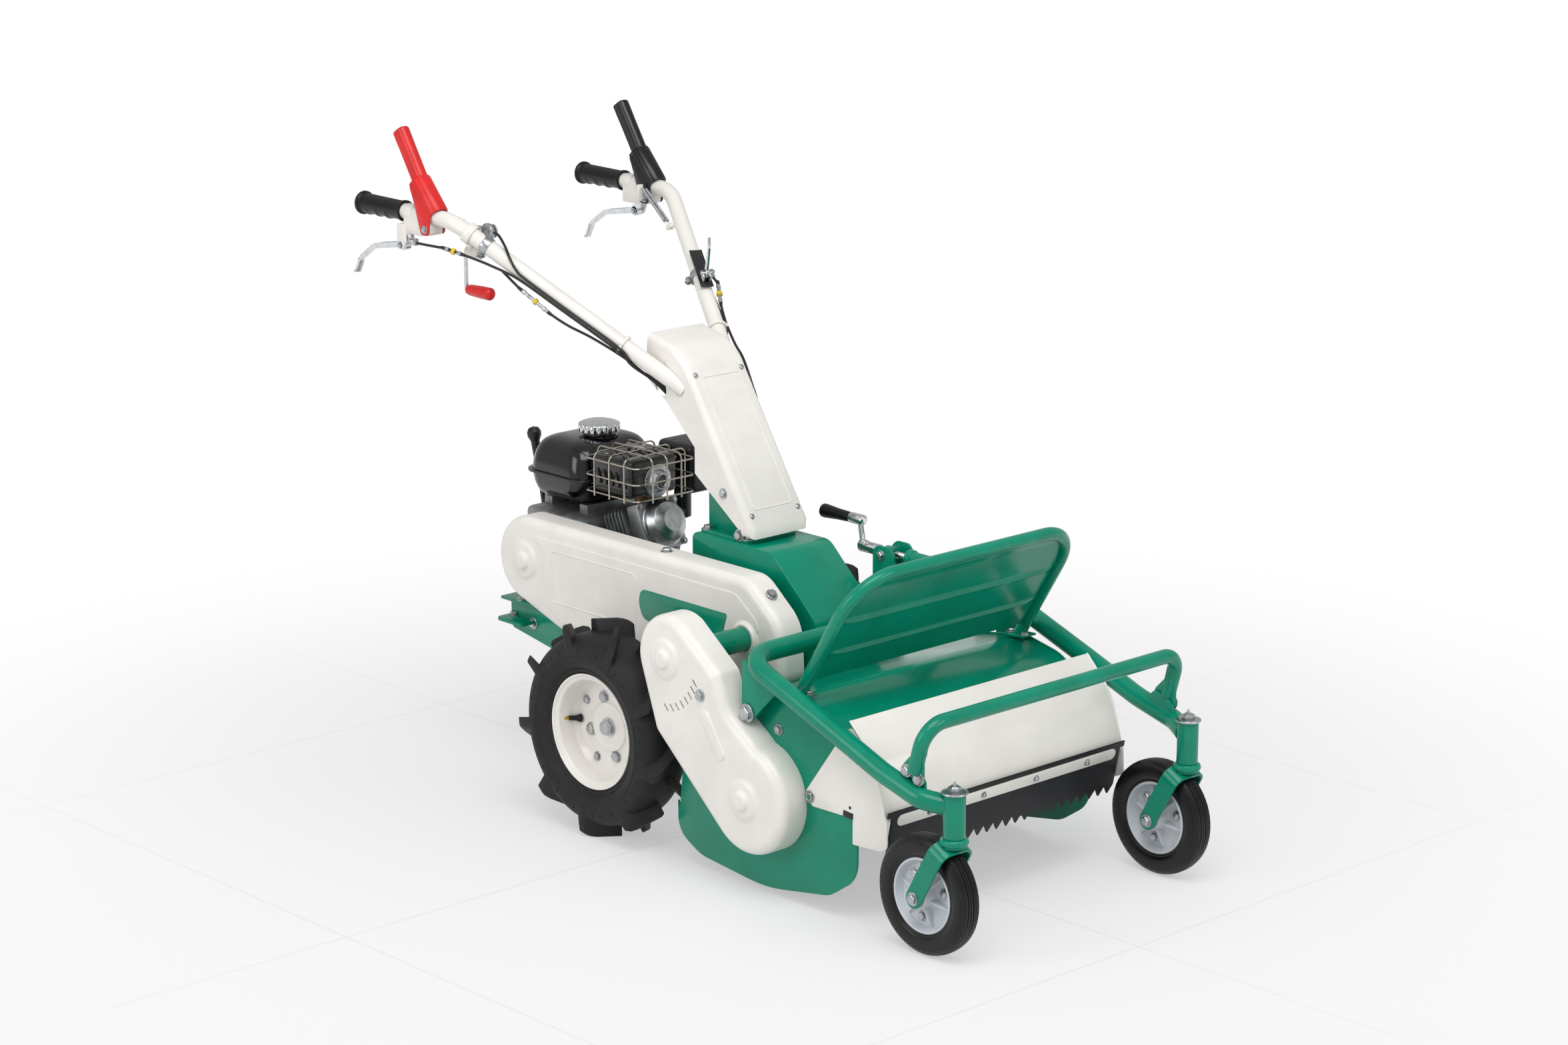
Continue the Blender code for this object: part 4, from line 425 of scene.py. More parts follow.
def piece(name, parts, material, stands=None, body="chassis", bevel=0.0, smooth=35.0, weld=True):
    # meshes in the mower's own frame become one finished piece that rides on a body and may
    # stand for one node of the part
    work = joined(parts)
    if weld:
        bmesh.ops.remove_doubles(work, verts=work.verts, dist=weldReach)
    for face in work.faces:
        face.material_index = 0
    mesh = meshOf(work, Matrix.Translation(shift))
    obj = linked(name, mesh)
    if bevel:
        easing = obj.modifiers.new("easing", "BEVEL")
        easing.width, easing.segments = bevel, 2
        easing.limit_method, easing.angle_limit = "ANGLE", bevelAngle
        mesh = plainMesh(obj)
        obj = linked(name, mesh)
    mesh.name = name
    mesh.materials.clear()
    mesh.materials.append(material)
    mesh.shade_smooth()
    mesh.set_sharp_from_angle(angle=math.radians(smooth))
    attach(obj, body)
    if stands:
        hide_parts(stands)


# ---- node trees for what repeats or follows a path ----
def startTree(name, sockets):
    tree = bpy.data.node_groups.new(name, "GeometryNodeTree")
    tree.interface.new_socket("Geometry", in_out="INPUT", socket_type="NodeSocketGeometry")
    for label, kind in sockets + [("Material", "Material")]:
        tree.interface.new_socket(label, in_out="INPUT", socket_type="NodeSocket" + kind)
    tree.interface.new_socket("Geometry", in_out="OUTPUT", socket_type="NodeSocketGeometry")
    return tree, tree.nodes.new("NodeGroupInput").outputs


def endTree(tree, given, geometry):
    real = addNode(tree, "GeometryNodeRealizeInstances", n0=geometry)
    finish = addNode(
        tree, "GeometryNodeSetMaterial", n0=real.outputs[0], Material=given["Material"])
    out = tree.nodes.new("NodeGroupOutput")
    tree.links.new(finish.outputs[0], out.inputs[0])
    return tree


def grown(data, tree, **values):
    # run a tree on mesh or curve data and keep its result as a plain mesh
    obj = linked("grower", data)
    grower = obj.modifiers.new("grower", "NODES")
    grower.node_group = tree
    for item in tree.interface.items_tree:
        key = item.name.replace(" ", "_")
        if item.in_out == "INPUT" and key in values:
            grower[item.identifier] = values[key]
    return plainMesh(obj)


def makeRingTree():
    # copies turned about the x axis, a step apart
    tree, given = startTree(
        "around_axle", [("Count", "Int"), ("Step", "Float"), ("Phase", "Float")])
    dots = addNode(tree, "GeometryNodePoints", Count=given["Count"])
    index = addNode(tree, "GeometryNodeInputIndex")
    angle = addNode(tree, "ShaderNodeMath", {"operation": "MULTIPLY_ADD"}, n0=index.outputs[0],
                    n1=given["Step"], n2=given["Phase"])
    euler = addNode(tree, "ShaderNodeCombineXYZ", n0=angle.outputs[0])
    turn = addNode(tree, "FunctionNodeEulerToRotation", n0=euler.outputs[0])
    copies = addNode(
        tree, "GeometryNodeInstanceOnPoints", Points=dots.outputs[0], Instance=given["Geometry"],
        Rotation=turn.outputs[0])
    return endTree(tree, given, copies.outputs[0])


def makeRowTree():
    # copies along a straight line
    tree, given = startTree("in_a_row", [("Count", "Int"), ("Pitch", "Vector")])
    line = addNode(tree, "GeometryNodeMeshLine", {"mode": "OFFSET"}, Count=given["Count"],
                   Offset=given["Pitch"])
    copies = addNode(
        tree, "GeometryNodeInstanceOnPoints", Points=line.outputs[0], Instance=given["Geometry"])
    return endTree(tree, given, copies.outputs[0])


def makeSpotTree():
    # a copy of the source on every point, turned and sized by the point's own values
    tree, given = startTree("on_spots", [("Source", "Object")])
    source = addNode(tree, "GeometryNodeObjectInfo", Object=given["Source"])
    euler = addNode(tree, "GeometryNodeInputNamedAttribute", {"data_type": "FLOAT_VECTOR"},
                    Name="turn")
    turn = addNode(tree, "FunctionNodeEulerToRotation", n0=euler.outputs[0])
    size = addNode(tree, "GeometryNodeInputNamedAttribute", {"data_type": "FLOAT"}, Name="size")
    copies = addNode(
        tree, "GeometryNodeInstanceOnPoints", Points=given["Geometry"],
        Instance=source.outputs["Geometry"], Rotation=turn.outputs[0], Scale=size.outputs[0])
    return endTree(tree, given, copies.outputs[0])


def makePathTree():
    # a round bar along a curve; each point of the curve may carry its own thickness
    tree, given = startTree("along_path", [("Radius", "Float"), ("Sides", "Int")])
    ring = addNode(tree, "GeometryNodeCurvePrimitiveCircle", Resolution=given["Sides"],
                   Radius=given["Radius"])
    bar = addNode(tree, "GeometryNodeCurveToMesh", {}, n0=given["Geometry"], n1=ring.outputs[0])
    bar.inputs["Fill Caps"].default_value = True
    return endTree(tree, given, bar.outputs[0])


def makeCoilTree():
    # close-wound wire: a spiral curve swept by a round wire
    tree, given = startTree(
        "coiled_wire",
        [("Turns", "Float"), ("Coil Radius", "Float"), ("Height", "Float"), ("Wire", "Float")])
    spiral = addNode(
        tree, "GeometryNodeCurveSpiral", Resolution=20, Rotations=given["Turns"],
        Start_Radius=given["Coil Radius"], End_Radius=given["Coil Radius"], Height=given["Height"])
    ring = addNode(tree, "GeometryNodeCurvePrimitiveCircle", Resolution=8, Radius=given["Wire"])
    bar = addNode(tree, "GeometryNodeCurveToMesh", {}, n0=spiral.outputs[0], n1=ring.outputs[0])
    bar.inputs["Fill Caps"].default_value = True
    return endTree(tree, given, bar.outputs[0])


ringTree, rowTree, spotTree = makeRingTree(), makeRowTree(), makeSpotTree()
pathTree, coilTree = makePathTree(), makeCoilTree()


def pathBar(points, radius, sides=16, closed=False):
    # a tube along points; a point may hold a fourth value, its share of the radius
    curve = bpy.data.curves.new("path", "CURVE")
    curve.dimensions = "3D"
    spline = curve.splines.new("POLY")
    spline.points.add(len(points) - 1)
    for point, place in zip(spline.points, points):
        point.co = (*place[:3], 1.0)
        point.radius = place[3] if len(place) > 3 else 1.0
    spline.use_cyclic_u = closed
    return grown(curve, pathTree, Radius=radius, Sides=sides)


def ringOf(mesh, count, phase=0.0, place=None):
    made = grown(mesh, ringTree, Count=count, Step=2 * math.pi / count, Phase=phase)
    return made if place is None else moved(made, place)


def rowOf(mesh, count, pitch, place=None):
    made = grown(mesh, rowTree, Count=count, Pitch=pitch)
    return made if place is None else moved(made, place)


def boltSource():
    # hexagon head with a chamfered crown on a plain washer; its size is the head's corner radius
    crown = [(0.0, 0.78), (0.7, 0.78), (0.86, 0.74), (1.0, 0.6), (1.0, 0.12), (0.0, 0.12)]
    washer = [(0.0, 0.16), (1.22, 0.16), (1.3, 0.1), (1.3, -0.1), (0.0, -0.1)]
    heads = [lathe(crown, (0, 0, 0), (0, 0, 1), 6), lathe(washer, (0, 0, 0), (0, 0, 1), 24)]
    return linked("bolt_source", meshOf(joined(heads)))


def screwSource():
    # pan-head screw: a low dome cut by a cross
    dome = [(0.0, 0.46), (0.3, 0.44), (0.62, 0.36), (0.88, 0.2), (1.0, 0.0), (0.0, 0.0)]
    bars = [block((1.0, 0.2, 0.5), (0, 0, 0.55), (0, 0, turn), 0.0)
            for turn in (0.3, 0.3 + math.pi / 2)]
    head = lathe(dome, (0, 0, 0), (0, 0, 1), 20)
    return linked("screw_source", cutBy(head, [meshOf(joined(bars))], crossing=True))


boltHead, screwHead = boltSource(), screwSource()


def fasteners(name, places, body="chassis", source=boltHead):
    # (place, direction, size) each; every head is turned a little further than the one before
    mesh = bpy.data.meshes.new("spots")
    mesh.from_pydata([spot[0] for spot in places], [], [])
    for label, kind in (("turn", "FLOAT_VECTOR"), ("size", "FLOAT")):
        mesh.attributes.new(label, kind, "POINT")
    for index, (_, direction, size) in enumerate(places):
        turn = facing((0, 0, 0), direction, firstTurn + nextTurn * index).to_euler()
        mesh.attributes["turn"].data[index].vector = turn
        mesh.attributes["size"].data[index].value = size
    piece(name, [grown(mesh, spotTree, Source=source)], zinc, body=body, smooth=28)


# ---- drive wheels ----
driveWheel = {"lugs": 9, "tipRadius": 0.1929, "sides": 72, "boltCircle": 0.053, "boltSize": 0.0092,
              "clampCircle": 0.0715, "clampSize": 0.0066, "nubs": 36}


def lugMesh(row):
    # one slanted bar of the tread: from the middle of the tyre out and down its shoulder
    quarter = math.pi / driveWheel["lugs"] / 2
    stations = [(0.001, 0.164, 0.0145, 0.0058, 0.0), (0.011, 0.163, 0.014, 0.006, 0.05),
                (0.022, 0.16, 0.0145, 0.0064, 0.105), (0.033, 0.155, 0.0155, 0.007, 0.162),
                (0.042, 0.149, 0.0165, 0.0076, 0.21), (0.048, 0.144, 0.017, 0.0076, 0.24),
                (0.0505, 0.14, 0.015, 0.0058, 0.252), (0.0517, 0.137, 0.0095, 0.003, 0.258)]
    caps = [driveWheel["tipRadius"]] * 4 + [0.1888, 0.1835, 0.169, 0.153]
    rings = []
    for (out, foot, footHalf, topHalf, skew), cap in zip(stations, caps):
        clear = max(0.0, abs(skew - quarter) - topHalf / cap)
        top = min(cap, axle[1] / math.cos(clear) - 0.0003)
        rise = top - foot
        shape = [(foot, -footHalf), (foot, footHalf), (foot + 0.3 * rise, topHalf + 0.0034),
                 (top - 0.002, topHalf + 0.0006), (top, topHalf - 0.0012),
                 (top, -topHalf + 0.0012), (top - 0.002, -topHalf - 0.0006),
                 (foot + 0.3 * rise, -topHalf - 0.0034)]
        ring = []
        for radius, sideways in shape:
            angle = -math.pi / 2 + quarter * row + skew + sideways / radius
            ring.append((row * out, radius * math.cos(angle), radius * math.sin(angle)))
        rings.append(ring)
    return loft(rings)


def makeDriveWheel(side):
    name = sideName(side)
    centre = (side * trackHalf, *axle)
    wheelBody = f"drive_wheel_{name}"
    half = [(0.0972, 0.033), (0.102, 0.0335), (0.104, 0.0346), (0.1052, 0.0372), (0.1072, 0.0392),
            (0.1092, 0.0396), (0.11, 0.041), (0.1118, 0.0416), (0.1128, 0.0408), (0.115, 0.0428),
            (0.12, 0.0466), (0.1262, 0.0496), (0.133, 0.0512), (0.1336, 0.0519), (0.135, 0.0519),
            (0.1356, 0.0512), (0.142, 0.0512), (0.148, 0.0504), (0.1545, 0.048), (0.16, 0.0436),
            (0.1645, 0.0376), (0.168, 0.029), (0.1698, 0.019), (0.1704, 0.009)]
    carcass = lathe(mirrored(half), centre, (side, 0, 0), driveWheel["sides"], closed=True)
    lugs = [ringOf(lugMesh(row), driveWheel["lugs"], place=Matrix.Translation(centre))
            for row in (-1, 1)]
    # moulded witness ribs that run across the foot of every lug gap
    nubs = []
    for row in (-1, 1):
        nub = block((0.003, 0.0012, 0.01), (row * 0.0499, 0, 0.145), (0, row * -0.1, 0), 0.0004)
        nubs.append(ringOf(nub, driveWheel["nubs"], 0.05, Matrix.Translation(centre)))
    piece(f"tractor_tyre_{name}", [carcass, *lugs, *nubs], tyreRubber, f"drive_tyre_{name}",
          body=wheelBody, smooth=38, weld=False)

    dish = softened([
        (0.103, 0.0372), (0.1028, 0.0385), (0.0992, 0.0385), (0.0972, 0.0352), (0.0936, 0.034),
        (0.0905, 0.0318), (0.0868, 0.003), (0.08, -0.0086), (0.047, -0.009), (0.0436, -0.0066),
        (0.0405, -0.005), (0.012, -0.005)], 0.004, step=18)
    back = softened([
        (0.012, -0.015), (0.0855, -0.0152), (0.0885, -0.0352), (0.101, -0.0385), (0.103, -0.0385),
        (0.103, -0.0352), (0.0962, -0.034), (0.0962, 0.034), (0.103, 0.0355)], 0.0015, step=30)
    rim = lathe(dish + back, centre, (side, 0, 0), driveWheel["sides"], closed=True)
    weldBead = turned(
        [(0.0405, -0.0052), (0.042, -0.004), (0.044, -0.0062), (0.044, -0.009), (0.0405, -0.009)],
        0.0008, centre, (side, 0, 0), 48, closed=True)
    piece(f"pressed_rim_{name}", [rim, weldBead], white, f"drive_rim_{name}", body=wheelBody,
          smooth=32)

    out = Vector((side, 0, 0))
    shaftEnd = turned(
        [(0.0, 0.0078), (0.0088, 0.0078), (0.0102, 0.0064), (0.0102, -0.006), (0.0, -0.006)],
        0.0006, centre, out, 32)
    washer = turned(oblong(0.01, 0.0165, -0.0052, -0.0024), 0.0005, centre, out, 40, closed=True)
    nut = lathe([(0.01, -0.0026), (0.0142, -0.0026), (0.0142, 0.0032), (0.0128, 0.0046),
                 (0.01, 0.0046)], centre, out, 6, closed=True, phase=0.4)
    slots = lathe(oblong(0.0101, 0.012, 0.003, 0.0068), centre, out, 30, closed=True)
    shaft = turned([(0.0, -0.014), (0.042, -0.0142), (0.042, -0.02), (0.023, -0.024),
                    (0.0125, -0.036), (0.0125, 0.1 - trackHalf), (0.0, 0.1 - trackHalf)], 0.001,
                   centre, out, 40)
    piece(f"axle_nut_{name}", [shaftEnd, washer, nut, slots], zinc, body=wheelBody, smooth=30)
    piece(f"axle_flange_{name}", [shaft], darkSteel, body=wheelBody, smooth=30)

    places = []
    for quarter in fan(0, 90, 4):
        for circle, size, start, seat in (
                (driveWheel["boltCircle"], driveWheel["boltSize"], 73, 0.0088),
                (driveWheel["clampCircle"], driveWheel["clampSize"], 30, 0.0084)):
            spot = spoke(axle, circle, quarter + math.radians(start))
            places.append(((side * (trackHalf - seat), *spot), out, size))
    fasteners(f"wheel_bolts_{name}", places, wheelBody)
    foot = Vector((side * (trackHalf - 0.008), axle[0] + 0.077, axle[1] - 0.002))
    lean = Vector((side * 0.86, 0.4, 0.1)).normalized()
    stem = turned([(0.0, 0.0), (0.0078, 0.0), (0.007, 0.004), (0.0046, 0.011), (0.004, 0.024),
                   (0.0, 0.024)], 0.0012, foot, lean, 24)
    piece(f"valve_stem_{name}", [stem], gripRubber, body=wheelBody)
    tip = turned([(0.0, 0.033), (0.0022, 0.033), (0.0026, 0.03), (0.0032, 0.029), (0.0032, 0.0235),
                  (0.0, 0.0235)], 0.0004, foot, lean, 16)
    piece(f"valve_tip_{name}", [tip], brass, body=wheelBody)


# ---- casters ----
caster = {"ribs": (0.003, 0.0075, 0.012), "sides": 64, "pips": 48, "gussets": 6}


def makeCasterWheel(side):
    name = sideName(side)
    centre = (side * casterX, *casterAxle)
    body = f"caster_wheel_{name}"
    tread = [(0.0634, 0.0165), (0.065, 0.0176), (0.0672, 0.0172), (0.0684, 0.0184), (0.073, 0.02),
             (0.08, 0.0204), (0.087, 0.02), (0.092, 0.0186), (0.0955, 0.0158)]
    for place in reversed(caster["ribs"]):
        swell = 0.0997 - 14 * place * place
        tread += [(swell, place + 0.0016), (swell, place - 0.0014),
                  (swell - 0.0016, place - 0.0019)]
    tyre = lathe(mirrored(tread[:-1] + [(0.098, 0.0008)]), centre, (1, 0, 0), caster["sides"],
                 closed=True)
    # the little vent pips that the mould leaves round the sidewall
    pips = []
    for turn in (-1, 1):
        pip = block((0.0012, 0.0013, 0.0013), (turn * 0.0202, 0, 0.0885), (0, 0, 0), 0.0003)
        pips.append(ringOf(pip, caster["pips"], place=Matrix.Translation(centre)))
    piece(f"solid_tyre_{name}", [tyre, *pips], casterRubber, f"caster_tyre_{name}", body=body,
          smooth=42, weld=False)

    half = softened([
        (0.0628, 0.0005), (0.0628, 0.0165), (0.061, 0.018), (0.0585, 0.0172), (0.056, 0.01),
        (0.053, 0.0036), (0.024, 0.003), (0.02, 0.005), (0.0186, 0.0278), (0.0066, 0.028)], 0.0018,
                    step=20)
    hub = lathe(mirrored(half), centre, (1, 0, 0), caster["sides"], closed=True)
    corners = ((-1, -1), (1, -1), (1, 1), (-1, 1))
    webs = ((0.0175, 0.018, 0.0017), (0.01, 0.048, 0.0015), (0.005, 0.0575, 0.0014))
    gusset = loft([[(wide * turn, out, thin * way) for turn, way in corners]
                   for wide, out, thin in webs])
    gussets = ringOf(gusset, caster["gussets"], math.radians(15), Matrix.Translation(centre))
    piece(f"wheel_centre_{name}", [hub, gussets], nylonGrey, f"caster_rim_{name}", body=body,
          smooth=30, weld=False, bevel=0.0005)
    places = []
    for angle in fan(45, 120, 3):
        spot = spoke(centre[1:], 0.04, angle)
        places += [((centre[0] + turn * 0.0034, *spot), (turn, 0, 0), 0.0072) for turn in (-1, 1)]
    fasteners(f"centre_bolts_{name}", places, body)


def makeCasterFork(side):
    name = sideName(side)
    x = side * casterX
    foot = Vector((x, *casterAxle))
    crown = Vector((x, kingpinY, 0.197))
    lean = (crown - foot).normalized()
    place = Matrix.Translation(foot) @ Matrix.Rotation(math.atan2(-lean.y, lean.z), 4, "X")
    reach, halfWidth, legX, strap = (crown - foot).length, 0.0165, 0.0335, 0.005
    # one strap: up one leg, over in a round arch and down the other, its ends round
    middle = rounded(
        [(-legX, 0.0, 0), (-legX, reach - 0.0055, 0.018), (legX, reach - 0.0055, 0.018),
         (legX, 0.0, 0)], closed=False, step=12)
    edge = 0.0008
    ring = []
    w, e = Vector((0, halfWidth, 0)), Vector((0, edge, 0))
    for here, ahead, _ in headings(middle):
        out = Vector((-ahead.y, ahead.x)) * strap / 2
        outer, inner = here + out, here - out
        o, i = Vector((outer.x, 0, outer.y)), Vector((inner.x, 0, inner.y))
        n = (o - i).normalized() * edge
        ring.append([o - w + e, o + w - e, o + w - n, i + w + n, i + w - e, i - w + e, i - w + n,
                     o - w - n])
    work = [moved(loft(ring), place)]
    for turn in (-1, 1):
        toe = arc((0.0, 0.0), halfWidth, 180, 360, 18) \
            + [(halfWidth, 0.0008), (-halfWidth, 0.0008)]
        work.append(slab(
            toe, turn * legX - strap / 2, turn * legX + strap / 2, edge=edge, place=place))
    cupTop = 0.2072
    cup = turned([(0.0105, cupTop), (0.0196, cupTop), (0.0224, 0.205), (0.0238, 0.201),
                  (0.0232, 0.1975), (0.019, 0.1945), (0.0215, 0.1925), (0.0105, 0.1925)], 0.0012,
                 (x, kingpinY, 0), (0, 0, 1), 48, closed=True)
    piece(f"strap_fork_{name}", [*work, cup], green, f"caster_fork_{name}",
          body=f"caster_fork_{name}", smooth=30)
    top = 0.2803
    cap = turned([(0.009, top), (0.0215, top), (0.0222, top + 0.0012), (0.0212, top + 0.0035),
                  (0.015, top + 0.0046), (0.009, top + 0.0046)], 0.0012, (x, kingpinY, 0),
                 (0, 0, 1), 48, closed=True)
    nut = lathe([(0.0, top + 0.0125), (0.008, top + 0.0125), (0.0112, top + 0.0105),
                 (0.0112, top + 0.004), (0.0, top + 0.004)], (x, kingpinY, 0), (0, 0, 1), 6,
                phase=0.3)
    nipple = turned([
        (0.0, 0.2998), (0.0014, 0.2998), (0.0022, 0.2985), (0.0016, 0.297), (0.0018, 0.2955),
        (0.0034, 0.295), (0.0034, 0.2925), (0.0, 0.2925)], 0.0002, (x, kingpinY, 0), (0, 0, 1), 16)
    pin = lathe(oblong(0.0, 0.0096, cupTop - 0.012, top + 0.002), (x, kingpinY, 0), (0, 0, 1), 24)
    bolt = barrel((x - 0.0365, *casterAxle), (x + 0.0365, *casterAxle), 0.0058)
    piece(f"kingpin_{name}", [cap, nut, nipple, pin, bolt], zinc, body=f"caster_fork_{name}",
          smooth=28)
    fasteners(f"fork_bolts_{name}",
              [((x + turn * 0.0366, *casterAxle), (turn, 0, 0), 0.0088) for turn in (-1, 1)],
              f"caster_fork_{name}")


for side in (-1, 1):
    makeDriveWheel(side)
    makeCasterWheel(side)
    makeCasterFork(side)
print("wheels made")


# ---- covers of the belts and the mast ----
rotorCover = {"openX": -0.2803, "faceX": -0.334, "rounding": 0.018, "wall": 0.0025, "vents": 8,
              "ventLength": 0.012, "ventWidth": 0.0036, "ventLean": math.radians(48)}
longCover = {"openX": -0.1, "faceX": -0.152, "rounding": 0.017, "wall": 0.0025}


def shellOf(outline, openX, faceX, rounding, wall, steps=7):
    # a deep cover with a thick rim, open towards the machine
    out = 1 if faceX > openX else -1
    rings = [[(openX, *p) for p in outline]]
    for k in range(steps + 1):
        turn = math.pi / 2 * k / steps
        rings.append([(faceX - out * rounding * (1 - math.sin(turn)), *p)
                      for p in inset(outline, rounding * (1 - math.cos(turn)) + 0.00001 * k)])
    inner = [[(openX, *p) for p in inset(outline, wall)],
             [(faceX - out * (wall + rounding), *p) for p in inset(outline, wall)],
             [(faceX - out * wall, *p) for p in inset(outline, rounding)]]
    return loft(rings[::-1] + inner, capWay=1)


def pressedDome(axis, faceX, side=-1, high=0.013):
    # the two-step dome pressed into a cover over the end of a shaft, with soft feet
    profile = softened(
        [(0.0, high), (0.0135, high - 0.0004), (0.0185, 0.006), (0.03, 0.0046), (0.0365, 0.0004)],
        0.006, step=12)
    profile += [(0.0385, 0.00005), (0.0385, -0.0015), (0.0, -0.0015)]
    return lathe(profile, (faceX, *axis), (side, 0, 0), 64)


def slotShape(first, second, radius, pieces=10):
    first, second = Vector(first), Vector(second)
    along = second - first
    heading = math.degrees(math.atan2(along.y, along.x))
    return (arc(first, radius, heading + 90, heading + 270, pieces)
            + arc(second, radius, heading - 90, heading + 90, pieces))


def pressedRib(outline, faceX, out, high):
    # a low swelling of a cover, its flanks sloping over 2 mm
    rings = [[(faceX - out * 0.0012, *p) for p in outline]]
    for k in range(5):
        turn = math.pi / 2 * k / 4
        rings.append([(faceX + out * high * math.sin(turn), *p)
                      for p in inset(outline, 0.0032 * (1 - math.cos(turn)))])
    return loft(rings)


def makeRotorCover():
    size = rotorCover
    outline = arc(jackshaftAxis, 0.074, -18, 120, 34)
    outline += rounded(
        [(*outline[-1], 0), (-0.338, 0.376, 0.02), (-0.364, 0.313, 0.06), (-0.415, 0.279, 0.05),
         (*arc(rotorAxis, 0.095, 103, 312, 50)[0], 0)], closed=False, step=6)[1:-1]
    outline += arc(rotorAxis, 0.095, 103, 312, 50) + arc((-0.2086, 0.2622), 0.03, -47, -21, 6)
    shell = shellOf(outline, size["openX"], size["faceX"], size["rounding"], size["wall"])
    # eight short slots let the warm air out; they follow an arc between the dome and the rib
    lean = Vector((math.cos(size["ventLean"]), math.sin(size["ventLean"])))
    half = lean * size["ventLength"] / 2
    cutters = []
    for k in range(size["vents"]):
        middle = Vector(arc(jackshaftAxis, 0.084 - 0.0008 * k, -91.6 - 9.8 * k, 0, 1)[0])
        slot = slotShape(middle - half, middle + half, size["ventWidth"] / 2, 4)
        cutters.append(loft([[(size["faceX"] + x, *p) for p in slot] for x in (-0.006, 0.012)]))
    shell = cutBy(shell, [meshOf(joined(cutters))])
    domes = [pressedDome(axis, size["faceX"]) for axis in (jackshaftAxis, rotorAxis)]
    rib = pressedRib(
        slotShape((-0.3145, 0.2985), (-0.3515, 0.2425), 0.011), size["faceX"], -1, 0.003)
    piece("rotor_belt_guard", [shell, *domes, rib], coverWhite, "rotor_belt_cover", smooth=40)
    fasteners("rotor_guard_bolts", [
        ((size["faceX"] - 0.0008, -0.302, 0.333), (-1, 0, 0), 0.0082),
        ((size["openX"] - 0.0012, -0.286, 0.15), (-1, 0, 0), 0.0082),
        ((size["openX"] - 0.0012, -0.377, 0.318), (-1, 0, 0), 0.0075)])
    # the two ears that the lower bolts hold
    ears = [slab(slotShape(*ends, radius), size["openX"] + 0.0002, size["openX"] - 0.0012)
            for *ends, radius in (
                ((-0.286, 0.15), (-0.305, 0.164), 0.012), ((-0.377, 0.318), (-0.365, 0.3), 0.011))]
    piece("rotor_guard_ears", ears, coverWhite)


def longCoverOutline():
    rear = arc(crankshaftAxis, 0.08, -72, 90, 40)
    front = rounded([
        (0.378, 0.48, 0), (-0.215, 0.48, 0.06), (-0.3, 0.412, 0.07), (-0.306, 0.306, 0.045),
        (-0.255, 0.285, 0.04), (0.283, 0.284, 0.08), (0.4027, 0.3239, 0)], closed=False, step=6)
    return rear + front[1:-1]


def makeLongCover():
    size = longCover
    shell = shellOf(longCoverOutline(), size["openX"], size["faceX"], size["rounding"],
                    size["wall"])
    dome = pressedDome(crankshaftAxis, size["faceX"])
    collar = turned([
        (0.0222, 0.007), (0.0262, 0.007), (0.0285, 0.003), (0.033, 0.0002), (0.033, -0.0012),
        (0.0222, -0.0012)], 0.0022, (size["faceX"], *jackshaftAxis), (-1, 0, 0), 48, closed=True,
                    step=15)
    # the field is raised a little inside the rounded border
    field = rounded([
        (0.372, 0.452, 0.03), (-0.19, 0.452, 0.03), (-0.245, 0.412, 0.03), (-0.25, 0.39, 0.014),
        (-0.172, 0.388, 0.03), (-0.164, 0.302, 0.014), (0.29, 0.302, 0.06), (0.326, 0.345, 0.03),
        (0.326, 0.43, 0.03)], step=8)
    raised = pressedRib(field, size["faceX"], -1, 0.0011)
    # a pressed frame where a badge would sit, left bare
    outer = roundedBox(0.3, 0.07, 0.433, 0.338, 0.009, 12)
    frameBead = pathBar([(size["faceX"] - 0.0006, *p) for p in outer], 0.0014, 10, closed=True)
    piece("long_belt_guard", [shell, dome, collar, raised, frameBead], coverWhite,
          "long_belt_cover", smooth=40)
    band = rounded([(0.056, 0.411, 0.02), (-0.17, 0.411, 0.004), (-0.16, 0.38, 0.03),
                    (-0.163, 0.356, 0.004), (0.05, 0.356, 0.02), (0.062, 0.385, 0.03)], step=10)
    piece("green_band", [slab(band, size["faceX"] - 0.0009, size["faceX"] - 0.0014, edge=0.0001)],
          green)
    fasteners("long_guard_bolts", [
        ((-0.124, 0.019, 0.48), (0, 0, 1), 0.0085),
        ((-0.124, -0.25, 0.4565), (0, -0.6, 0.8), 0.008),
        ((-0.126, 0.2, 0.2848), (0, 0, -1), 0.008)])


mastCover = {"halfWidth": 0.068, "wall": 0.0028, "rounding": 0.011}


